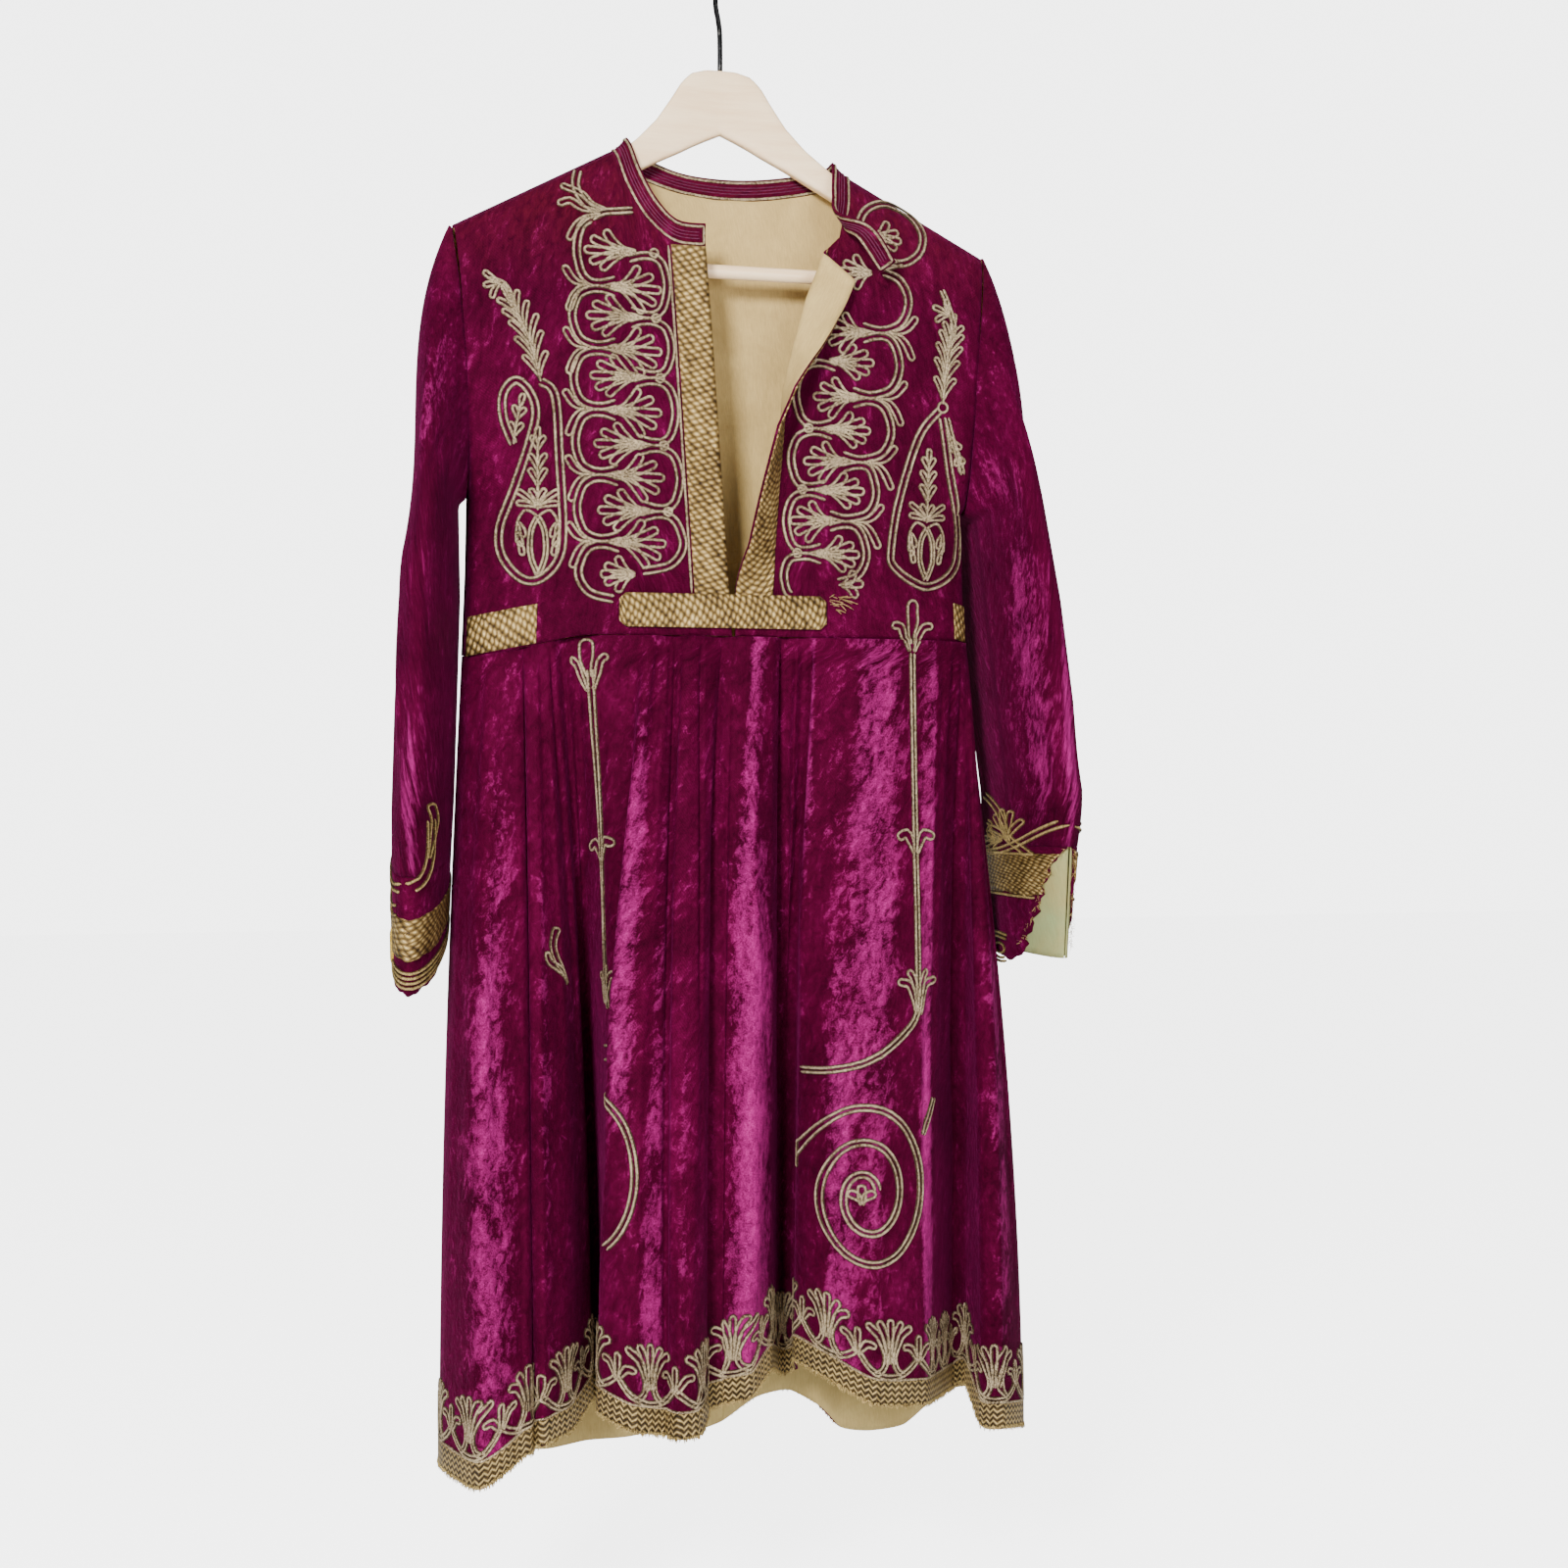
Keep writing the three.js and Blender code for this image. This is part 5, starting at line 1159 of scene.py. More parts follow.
@dataclass
class Skirt:
    """The skirt: folds from the waist seam to the hem, with the hem's braid."""

    body: Body
    finishes: Finishes
    flare: float = 1.8
    allowance: float = 0.4
    slack: float = 0.32
    hem_share: float = 0.968
    columns: int = 12
    pieces: tuple = (
        SkirtPiece("side_right", "side_seam_right", "outer_crease", (0.16, 0.67), 0.075),
        SkirtPiece("front_right", "outer_crease", "centre_seam", (0.44, 0.66), 0.19),
        SkirtPiece("front_left", "centre_seam", "side_gap_deep", (0.42, 0.66), 0.19),
        SkirtPiece("side_left", "side_gap_deep", "side_seam_left", (0.14, 0.68), 0.06),
        SkirtPiece("back_left", "side_seam_left", "centre_back_seam", (0.28, 0.69), 0.14),
        SkirtPiece("back_right", "centre_back_seam", "side_seam_right", (0.28, 0.69), 0.14))
    # Crush marks by fold and share of height, laid along the folds' lit bands: partly flattened pile, partly
    # painted highlight.
    crushed: tuple = (
        Crease((2.0, 0.25), (2.35, 1.1), 0.42, 0.55), Crease((5.3, 0.3), (5.1, 0.75), 0.25, 0.25),
        Crease((11.4, 0.12), (11.3, 0.62), 0.5, 0.4), Crease((12.2, 0.74), (12.8, 1.0), 0.4, 0.6),
        Crease((14.0, 0.55), (14.2, 0.9), 0.2, 0.35), Crease((18.0, 0.0), (18.1, 0.3), 0.35, 0.7),
        Crease((18.2, 0.28), (18.2, 1.1), 0.75, 0.75), Crease((22.9, 0.03), (22.8, 0.26), 0.5, 0.3),
        Crease((24.3, 0.14), (25.4, 0.42), 0.45, 0.6), Crease((26.4, 0.24), (25.9, 0.52), 0.55, 0.5),
        Crease((24.4, 0.56), (24.0, 0.9), 0.35, 0.5), Crease((26.6, 0.62), (26.4, 1.05), 0.6, 0.45),
        Crease((31.2, 0.3), (31.4, 0.9), 0.35, 0.5), Crease((36.0, 0.1), (36.2, 0.7), 0.4, 0.6),
        Crease((40.0, 0.4), (40.2, 1.0), 0.4, 0.7), Crease((44.2, 0.1), (44.0, 0.8), 0.45, 0.6),
        Crease((48.0, 0.3), (48.2, 0.9), 0.4, 0.6))
    creases: tuple = (
        Crease((12.75, -0.02), (13.05, 1.02), -5.0, 0.12), Crease((13.4, 0.0), (13.5, 0.8), 3.0, 0.25),
        Crease((10.7, 0.0), (10.6, 0.66), -7.0, 0.3), Crease((11.25, 0.0), (11.1, 0.66), 6.0, 0.35),
        Crease((14.75, -0.02), (14.9, 0.5), -4.0, 0.12), Crease((15.9, 0.0), (16.2, 1.0), -6.0, 0.28),
        Crease((16.75, 0.1), (16.9, 1.02), 3.5, 0.2), Crease((17.9, 0.08), (18.2, 1.0), 4.0, 0.6),
        Crease((19.9, -0.02), (20.2, 0.5), -8.0, 0.2), Crease((21.2, 0.0), (21.3, 0.34), 6.0, 0.4),
        Crease((22.45, -0.02), (22.6, 0.42), -6.0, 0.22), Crease((23.0, 0.0), (23.0, 0.5), 3.5, 0.3),
        Crease((3.95, -0.02), (4.0, 1.02), -3.0, 0.12), Crease((4.5, 0.0), (4.5, 0.9), 2.5, 0.25),
        Crease((2.9, 0.1), (3.0, 1.02), -2.5, 0.3), Crease((6.6, 0.0), (6.9, 0.4), -3.5, 0.25),
        Crease((8.3, 0.0), (8.6, 0.3), 3.0, 0.3), Crease((9.2, 0.0), (9.1, 0.2), -3.0, 0.2),
        Crease((27.2, 0.02), (27.5, 0.5), -3.5, 0.25), Crease((28.0, 0.1), (28.1, 0.6), -4.0, 0.3),
        Crease((30.2, 0.1), (30.4, 0.9), 3.0, 0.4), Crease((31.9, 0.1), (31.8, 0.9), -2.6, 0.3),
        Crease((1.6, 0.10), (2.2, 0.34), 2.2, 0.35), Crease((2.7, 0.30), (2.2, 0.62), -2.4, 0.3),
        Crease((1.4, 0.45), (2.6, 0.78), 2.6, 0.3), Crease((2.1, 0.62), (3.1, 0.96), -2.2, 0.3),
        Crease((5.4, 0.08), (6.0, 0.35), -2.0, 0.4), Crease((6.3, 0.42), (5.6, 0.85), 1.8, 0.4),
        Crease((10.2, 0.02), (10.6, 0.22), 2.0, 0.3), Crease((10.9, 0.10), (10.4, 0.40), -1.8, 0.3),
        Crease((11.4, 0.02), (11.9, 0.16), -2.2, 0.3), Crease((12.3, 0.03), (12.1, 0.30), 2.0, 0.25),
        Crease((13.2, 0.02), (13.4, 0.20), -1.8, 0.25), Crease((12.1, 0.48), (13.0, 0.72), -1.6, 0.4),
        Crease((14.6, 0.20), (14.9, 0.60), 1.4, 0.3), Crease((15.2, 0.60), (14.8, 0.95), -1.6, 0.3),
        Crease((17.6, 0.05), (18.0, 0.42), -2.0, 0.3), Crease((18.4, 0.35), (18.0, 0.8), 1.6, 0.35),
        Crease((24.3, 0.04), (24.8, 0.28), 2.0, 0.4), Crease((25.1, 0.12), (24.6, 0.44), -2.2, 0.35),
        Crease((25.9, 0.05), (25.6, 0.22), -1.8, 0.3), Crease((26.5, 0.06), (26.2, 0.35), 2.0, 0.3),
        Crease((26.7, 0.28), (26.0, 0.56), -2.6, 0.3), Crease((24.6, 0.42), (25.2, 0.7), 1.4, 0.4),
        Crease((25.6, 0.60), (26.1, 0.9), -1.6, 0.35), Crease((30.6, 0.2), (31.2, 0.7), 1.6, 0.4),
        Crease((35.4, 0.05), (36.0, 0.5), 2.4, 0.4), Crease((38.6, 0.1), (38.0, 0.6), -2.4, 0.5),
        Crease((41.5, 0.05), (41.2, 0.55), 2.2, 0.4), Crease((44.3, 0.2), (45.0, 0.7), -2.2, 0.5),
        Crease((47.4, 0.05), (47.0, 0.5), 2.4, 0.5), Crease((49.5, 0.3), (49.0, 0.8), -2.0, 0.5))

    def __post_init__(self) -> None:
        """Measures the hem once round."""
        self.count = len(SKIRT_FOLDS)
        self.names = [row[0] for row in SKIRT_FOLDS]
        self.hem_steps = 20
        self.hem_length = [0.0]
        level = 0.93
        last = self.point(0, level)
        for k in range(1, self.count * self.hem_steps + 1):
            here = self.point(k / self.hem_steps, level)
            self.hem_length.append(self.hem_length[-1] + (here - last).length)
            last = here

    def fold(self, name: str) -> int:
        """Number of a fold."""
        return self.names.index(name)

    def value(self, index: int, t: float) -> float:
        """One column of the folds' table at a fractional fold."""
        k = math.floor(t)
        s = t - k
        p0, p1, p2, p3 = (SKIRT_FOLDS[(k + i) % self.count][index] for i in (-1, 0, 1, 2))
        m1, m2 = (p2 - p0) * self.slack, (p3 - p1) * self.slack
        s2, s3 = s * s, s * s * s
        return (2 * s3 - 3 * s2 + 1) * p1 + (s3 - 2 * s2 + s) * m1 + (3 * s2 - 2 * s3) * p2 + (s3 - s2) * m2

    def point(self, t: float, v: float) -> Vector:
        """A point on the smooth skirt, by fold and share of its height."""
        flare = 1 - (1 - min(v, 1.0)) ** self.flare
        wx, wy, hx, hy, hz = (self.value(i, t) for i in (1, 2, 3, 4, 5))
        top = self.body.waist(wx) - self.allowance
        return Vector((lerp(wx, hx, flare), lerp(wy, hy, flare), lerp(top, hz, v)))

    def place(self, t: float, v: float) -> Place:
        """A place on the creased skirt, with the normal out of it."""
        here = self.point(t, v)
        along_t = self.point(t + 0.02, v) - self.point(t - 0.02, v)
        low, high = min(v + 0.01, 1.0), max(v - 0.01, 0.0)
        along_v = self.point(t, low) - self.point(t, high)
        normal = along_v.cross(along_t).normalized()
        fade = smooth(v / 0.04)
        return here + normal * creased(self.creases, t % self.count, v) * fade, normal

    def at(self, x: float, z: float, start: float, end: float) -> Place:
        """A place given by x and z, between two folds where x rises."""
        v, t = 0.5, (start + end) / 2
        for _ in range(4):
            low, high = start, end
            for _ in range(14):
                t = (low + high) / 2
                if self.point(t, v).x < x:
                    low = t
                else:
                    high = t
            top, hem = self.point(t, 0).z, self.point(t, 1).z
            v = clamp((top - z) / (top - hem))
        return self.place(t, v)

    def hem_place(self, along: float, up: float) -> Place:
        """A place above the hem's braid: a distance along the hem and a distance up from the braid."""
        total = self.hem_length[-1]
        along %= total
        low, high = 0, len(self.hem_length) - 1
        while high - low > 1:
            middle = (low + high) // 2
            if self.hem_length[middle] <= along:
                low = middle
            else:
                high = middle
        share = (along - self.hem_length[low]) / (self.hem_length[high] - self.hem_length[low])
        t = (low + share) / self.hem_steps
        height = self.point(t, 0).z - self.point(t, 1).z
        return self.place(t, clamp(self.hem_share - up / height))

    def span(self, piece: SkirtPiece) -> tuple[float, float]:
        """First and last fold of a piece."""
        start, end = self.fold(piece.start), self.fold(piece.end)
        return start, end if end > start else end + self.count

    def grid(self, piece: SkirtPiece, levels: Sequence[float], trim: float) -> list[list[Place]]:
        """Places of a piece, row by row."""
        return [[self.place(t, v) for t in self.columns_of(piece, trim)] for v in levels]

    def columns_of(self, piece: SkirtPiece, trim: float) -> list[float]:
        """A piece's columns; the end ones stand back from the seams by the trim."""
        start, end = self.span(piece)
        columns = [start + k / self.columns for k in range(int((end - start) * self.columns) + 1)]
        columns[0] += trim
        columns[-1] -= trim
        return columns

    def build(self) -> None:
        """Builds and dresses the skirt's pieces and their braid."""
        levels = shares(12, 0, 0.1) + shares(64, 0.113, 1.0)
        for piece in self.pieces:
            trim = 0.0 if "back" in piece.name else 0.012
            # crush marks for the velvet: flattened pile and painted highlight
            pile = [[creased(self.crushed, t % self.count, v) for t in self.columns_of(piece, trim)]
                    for v in levels]
            cloth = shell(f"velvet_skirt_{piece.name}", self.grid(piece, levels, trim),
                          (self.finishes.velvet, self.finishes.lining), pile=pile)
            dress(cloth, "velvet", f"skirt_{piece.name}")
            band = shell(f"band_hem_{piece.name}", self.grid(piece, shares(5, self.hem_share, 0.9985), trim),
                         (self.finishes.chevron,), CLOTH / 2, CLOTH / 2 + BRAID)
            dress(band, "braid", f"hem_band_{piece.name}")
            "velvet_back" if "back" in piece.name else "velvet_front_right"


@dataclass
class Sleeve:
    """One sleeve: its cap over the arm, its flattened tube and its slit cuff."""

    body: Body
    finishes: Finishes
    side: Side
    rings: tuple
    cuff_top: float
    slit: float
    creases: tuple
    # crush marks round the sleeve: partly flattened pile, partly painted highlight
    crushed: tuple
    gaps: tuple
    torn_end: tuple
    band: Pair
    lining_end: float
    velvet_flat: Pair
    lining_flat: Pair
    tear: float = 0.008
    slit_gap: float = 0.07
    cap_fullness: float = 0.35
    armhole_gap: float = 2.4
    around: int = 72

    def value(self, z: float, index: int) -> float:
        """One column of the rings' table at a height."""
        return column(self.rings, z, index)

    def armhole(self, angle: float) -> Vector:
        """The armhole seam: angle 0 is the armpit, and it goes round by the front."""
        top, bottom = self.body.ridge_z(self.body.tip_x), self.body.armpit_z
        z = (top + bottom) / 2 - (top - bottom) / 2 * math.cos(angle)
        x = self.side.value * column(self.body.side, z, 1)
        y = self.body.depth_at(Face.FRONT if math.sin(angle) >= 0 else Face.BACK, x, z)
        return Vector((x + self.side.value * self.armhole_gap * abs(math.cos(angle)), y, z))

    def ring(self, angle: float, z: float) -> Vector:
        """A point of the flattened tube; angle 0 faces the body."""
        turn = math.radians(self.value(z, 4))
        across = -self.side.value * self.value(z, 3) * math.cos(angle)
        along = -self.value(z, 2) * math.sin(angle)
        middle = self.value(z, 1)
        x = middle + across * math.cos(turn) + along * math.sin(turn)
        y = self.body.ridge_y(middle) / 2 + along * math.cos(turn) - across * math.sin(turn)
        return Vector((x, y, z + self.value(z, 5) * y))

    def smooth_point(self, angle: float, s: float) -> Vector:
        """A point on the smooth sleeve: s from 0 to 1 is the cap, and from 1 to 2 the tube to its end."""
        if s > 1:
            return self.ring(angle, lerp(self.rings[0][0], self.rings[-1][0], s - 1))
        start, end = self.armhole(angle), self.ring(angle, self.rings[0][0])
        reach = (end - start).length
        down = (self.ring(angle, self.rings[1][0]) - end).normalized() * reach
        leave = end - start
        leave.x += self.side.value * reach * self.cap_fullness * (1 - math.cos(angle)) / 2
        s2, s3 = s * s, s * s * s
        return (start * (2 * s3 - 3 * s2 + 1) + leave * (s3 - 2 * s2 + s)
                + end * (3 * s2 - 2 * s3) + down * (s3 - s2))

    def place(self, angle: float, s: float) -> Place:
        """A place on the creased sleeve, with the normal out of it."""
        near = 0.01
        here = self.smooth_point(angle, s)
        round_it = self.smooth_point(angle + near, s) - self.smooth_point(angle - near, s)
        low, high = min(s + near, 2.0), max(s - near, 0.0)
        along = self.smooth_point(angle, low) - self.smooth_point(angle, high)
        normal = along.cross(round_it).normalized() * self.side.value
        turn = angle % math.tau
        lift = creased(self.creases, turn, s)
        return here + normal * lift * smooth(s / 0.15), normal

    def share(self, z: float) -> float:
        """The tube's share at a height."""
        return 1 + (z - self.rings[0][0]) / (self.rings[-1][0] - self.rings[0][0])

    def wide_place(self, out: float, z: float) -> Place:
        """A place on the flattened sleeve, by distance from its front fold.

        Args:
            out: the distance; it is positive on the face that shows from the front.
            z: height of the smooth tube.

        Returns:
            The place.
        """
        reach = max(self.value(z, 2), 1.0)
        turn = math.asin(clamp(1 - abs(out) / reach, -1.0, 1.0))
        shown = self.side is Side.LEFT
        return self.place(turn if (out > 0) == shown else math.pi - turn, self.share(z))

    def torn_angles(self, down: float, gaps: Sequence[Sequence[float]], count: int) -> list[float]:
        """Angles round the cuff from one torn edge of its slit to the other."""
        first, last = column(gaps, down, 1), column(gaps, down, 2)
        first += 0.03 * math.sin(47 * down) + 0.02 * math.sin(113 * down)
        last += 0.05 * math.sin(39 * down + 1) + 0.03 * math.sin(97 * down)
        return [self.slit + lerp(first, math.tau - last, k / count) for k in range(count + 1)]

    def torn_grid(self, levels: Sequence[float], gaps: Sequence[Sequence[float]]) -> list[list[Place]]:
        """Places of a torn piece of the cuff, between shares of its height."""
        cuff = self.share(self.cuff_top)
        grid = []
        for down in levels:
            row = []
            for k, angle in enumerate(self.torn_angles(down, gaps, self.around)):
                share = k / self.around
                end = column(self.torn_end, share, 1) + self.tear * (
                    math.sin(43 * share) + 0.7 * math.sin(101 * share + 2))
                row.append(self.place(angle, lerp(cuff, 2.0, down * min(end, 1.0))))
            grid.append(row)
        return grid

    def build(self) -> None:
        """Builds and dresses the sleeve's pieces."""
        word = self.side.word
        angles = [math.tau * k / self.around for k in range(self.around)]
        cuff = self.share(self.cuff_top)
        levels = [0, 0.03] + shares(28, 0.07, 1.0) + shares(40, 1.02, cuff - 0.001)
        # crush marks for the velvet: flattened pile and painted highlight
        pile = [[creased(self.crushed, a, s) for a in angles] for s in levels]
        arm = shell(f"velvet_sleeve_{word}", [[self.place(a, s) for a in angles] for s in levels],
                    (self.finishes.velvet, self.finishes.lining), closed=True, pile=pile)
        dress(arm, "velvet", f"sleeve_upper_{word}", f"sleeve_lower_{word}")
        end = shell(f"velvet_cuff_{word}", self.torn_grid(shares(26), self.gaps),
                    (self.finishes.velvet, self.finishes.lining))
        dress(end, "velvet", f"cuff_{word}")
        angles = [self.slit + lerp(self.slit_gap, math.tau - self.slit_gap, k / 60) for k in range(61)]
        inside = shell(f"lining_cuff_{word}", [[self.place(a, s) for a in angles]
                                               for s in shares(16, cuff, lerp(cuff, 2.0, self.lining_end))],
                       (self.finishes.lining,), -CLOTH / 2 - 1.3, -CLOTH / 2 - 0.2)
        dress(inside, "velvet")
        low, high = self.band
        band = shell(f"band_cuff_{word}", self.torn_grid(shares(10, low, high), self.gaps),
                     (self.finishes.braid,), CLOTH / 2, CLOTH / 2 + BRAID)
        dress(band, "braid", f"cuff_band_{word}")


# ---- couched embroidery --------------------------------------------------------------------------


class Couching:
    """Strands of metal thread laid on a surface and gathered into one piece."""

    def __init__(self, name: str, on: Callable[[float, float], Place]) -> None:
        """Starts an empty piece on a surface.

        Args:
            name: the piece's name.
            on: gives the place and normal of the cloth at two distances.
        """
        self.build = Builder(name)
        self.on = on
        self.layer = 0

    def strand(self, line: Sequence[Pair], width: float = STRAND, height: float = STRAND_HEIGHT,
               closed: bool = False) -> None:
        """Lays one strand along a line of the surface."""
        self.lay([self.on(a, b) for a, b in line], width, height, closed)

    def lay(self, places: Sequence[Place], width: float = STRAND, height: float = STRAND_HEIGHT,
            closed: bool = False, low: float = CLOTH / 2 - 0.3) -> None:
        """Lays one strand along places.

        Args:
            places: points and normals of the cloth.
            width: the strand's width.
            height: how far it stands over the cloth.
            closed: whether it comes back to its start.
            low: where its foot lies along the normal.
        """
        self.layer = (self.layer + 1) % 5
        lift = low + 0.09 * self.layer
        profile = ((-0.5, 0.0), (-0.38, 0.68), (0.0, 1.0), (0.38, 0.68), (0.5, 0.0))
        count = len(places)
        if count < 2:
            return
        rings, run = [], 0.0
        for k, (point, normal) in enumerate(places):
            before = places[(k - 1) % count if closed else max(k - 1, 0)][0]
            after = places[(k + 1) % count if closed else min(k + 1, count - 1)][0]
            side = (after - before).cross(normal)
            if side.length < 1e-9:
                side = normal.orthogonal()
            side.normalize()
            if k:
                run += (point - places[k - 1][0]).length
            end = 1.0 if closed else min(1.0, 0.45 + 0.55 * min(k, count - 1 - k))
            rings.append([
                self.build.point(point + side * (a * width * end) + normal * (lift + b * height * end),
                                 (run * 0.1, a * width * 0.1)) for a, b in profile])
        for k in range(count if closed else count - 1):
            here, there = rings[k], rings[(k + 1) % count]
            for i in range(len(profile) - 1):
                self.build.face((here[i], there[i], there[i + 1], here[i + 1]))

    def double(self, points: Sequence[Pair], closed: bool = False, gap: float = 4.7,
               width: float = STRAND) -> None:
        """Lays two strands side by side along a smooth line."""
        line = catmull(points, STEP, closed)
        for offset in (-gap / 2, gap / 2):
            self.strand(beside(line, offset, closed), width, closed=closed)

    def hairpin(self, root: Pair, heading: float, length: float, bend: float = 0.0, width: float = 3.6,
                strand: float = 2.7) -> None:
        """Lays a petal: out, round a tip and back.

        Args:
            root: where it starts.
            heading: the direction that it leaves in.
            length: from its root to its tip.
            bend: how far it turns on the way.
            width: between the middles of its two sides at the tip.
            strand: the strand's width.
        """
        parts = max(4, round(length / STEP))
        axis, point = [], root
        reach = max(length - width / 2, 2.0) / parts
        for k in range(parts + 1):
            angle = heading + bend * (k / parts) ** 1.3
            spread = width / 2 * (0.32 + 0.68 * smooth(k / parts / 0.75))
            axis.append((point, angle, spread))
            point = (point[0] + reach * math.cos(angle), point[1] + reach * math.sin(angle))
        out = [(p[0] - s * math.sin(a), p[1] + s * math.cos(a)) for p, a, s in axis]
        back = [(p[0] + s * math.sin(a), p[1] - s * math.cos(a)) for p, a, s in axis]
        (tip, angle, spread) = axis[-1]
        turn = [(tip[0] + spread * math.cos(angle + math.pi / 2 - math.pi * k / 5),
                 tip[1] + spread * math.sin(angle + math.pi / 2 - math.pi * k / 5)) for k in range(1, 5)]
        self.strand(out + turn + back[::-1], strand, STRAND_HEIGHT * 0.9)

    def petal(self, spine: Sequence[Pair], width: float = 4.2, strand: float = 2.6) -> None:
        """Lays a petal out along a spine, round its tip and back.

        Args:
            spine: points from its root to its tip.
            width: between the middles of its two sides near the tip.
            strand: the strand's width.
        """
        line = catmull(spine, STEP)
        last = len(line) - 1
        spread = [width / 2 * (0.3 + 0.7 * smooth(k / last / 0.7)) for k in range(last + 1)]
        sides = []
        for side in (1, -1):
            moved = []
            for k, (x, z) in enumerate(line):
                (xa, za), (xb, zb) = line[max(k - 1, 0)], line[min(k + 1, last)]
                length = math.hypot(xb - xa, zb - za) or 1.0
                moved.append((x - (zb - za) / length * spread[k] * side,
                              z + (xb - xa) / length * spread[k] * side))
            sides.append(moved)
        (xa, za), (x, z) = line[-2], line[-1]
        heading = math.atan2(z - za, x - xa)
        turn = [(x + width / 2 * math.cos(heading + math.pi / 2 - math.pi * k / 5),
                 z + width / 2 * math.sin(heading + math.pi / 2 - math.pi * k / 5)) for k in range(1, 5)]
        self.strand(sides[0] + turn + sides[1][::-1], strand, STRAND_HEIGHT * 0.9)

    def fan(self, root: Pair, heading: float, base: float, tips: Sequence[Pair], flip: int = 1,
            width: float = 5.6, strand: float = 2.7) -> None:
        """Lays a palmette of petals that leave one stem.

        Args:
            root: where its stem starts.
            heading: the direction of its stem.
            base: from the root to where the petals part.
            tips: each petal's tip, along the stem's direction and across it.
            flip: -1 mirrors it.
            width: a petal's width.
            strand: the strand's width.
        """
        place = turned(root, heading, flip)
        for along, up in sorted(tips, key=lambda tip: -abs(tip[1])):
            run = along - base
            self.petal([place(base * 0.62, up * 0.05), place(base + run * 0.12, up * 0.14),
                        place(base + run * 0.52, up * 0.5), place(along - width / 2, up)], width, strand)

    def leaf(self, spine: Sequence[Pair], pairs: int, length: float, opening: float = 0.5) -> None:
        """Lays a leafy sprig: a spine with pairs of petals and one at its tip.

        Args:
            spine: points of its middle.
            pairs: how many pairs of petals it has.
            length: the longest petal.
            opening: how far the petals turn out.
        """
        line = catmull(spine, STEP)
        self.strand(line, STRAND)
        last = len(line) - 1
        for pair in range(pairs):
            k = round(last * (pair + 0.5) / (pairs + 0.3))
            k = min(max(k, 1), last - 1)
            heading = math.atan2(line[k + 1][1] - line[k - 1][1], line[k + 1][0] - line[k - 1][0])
            size = length * (0.72 + 0.28 * math.sin(math.pi * (pair + 0.6) / pairs))
            for side in (-1, 1):
                self.hairpin(line[k], heading + side * opening * 0.5, size, side * opening)
        heading = math.atan2(line[-1][1] - line[-2][1], line[-1][0] - line[-2][0])
        self.hairpin(line[-2], heading, length * 0.8)

    def ring(self, centre: Pair, radius: float, strand: float = 2.4) -> None:
        """Lays a small closed ring."""
        count = max(8, round(math.tau * radius / 1.6))
        line = [(centre[0] + radius * math.cos(math.tau * k / count),
                 centre[1] + radius * math.sin(math.tau * k / count)) for k in range(count)]
        self.strand(line, strand, closed=True)

    def make(self, finish: bpy.types.Material, slot: str, *nodes: str) -> bpy.types.Object:
        """Makes the piece and dresses it."""
        return dress(self.build.make((finish,)), slot, *nodes)


@dataclass(frozen=True)
class Arc:
    """Where two arcs of a vine meet, and how far the next one bulges."""

    z: float
    x: float
    bulge: float


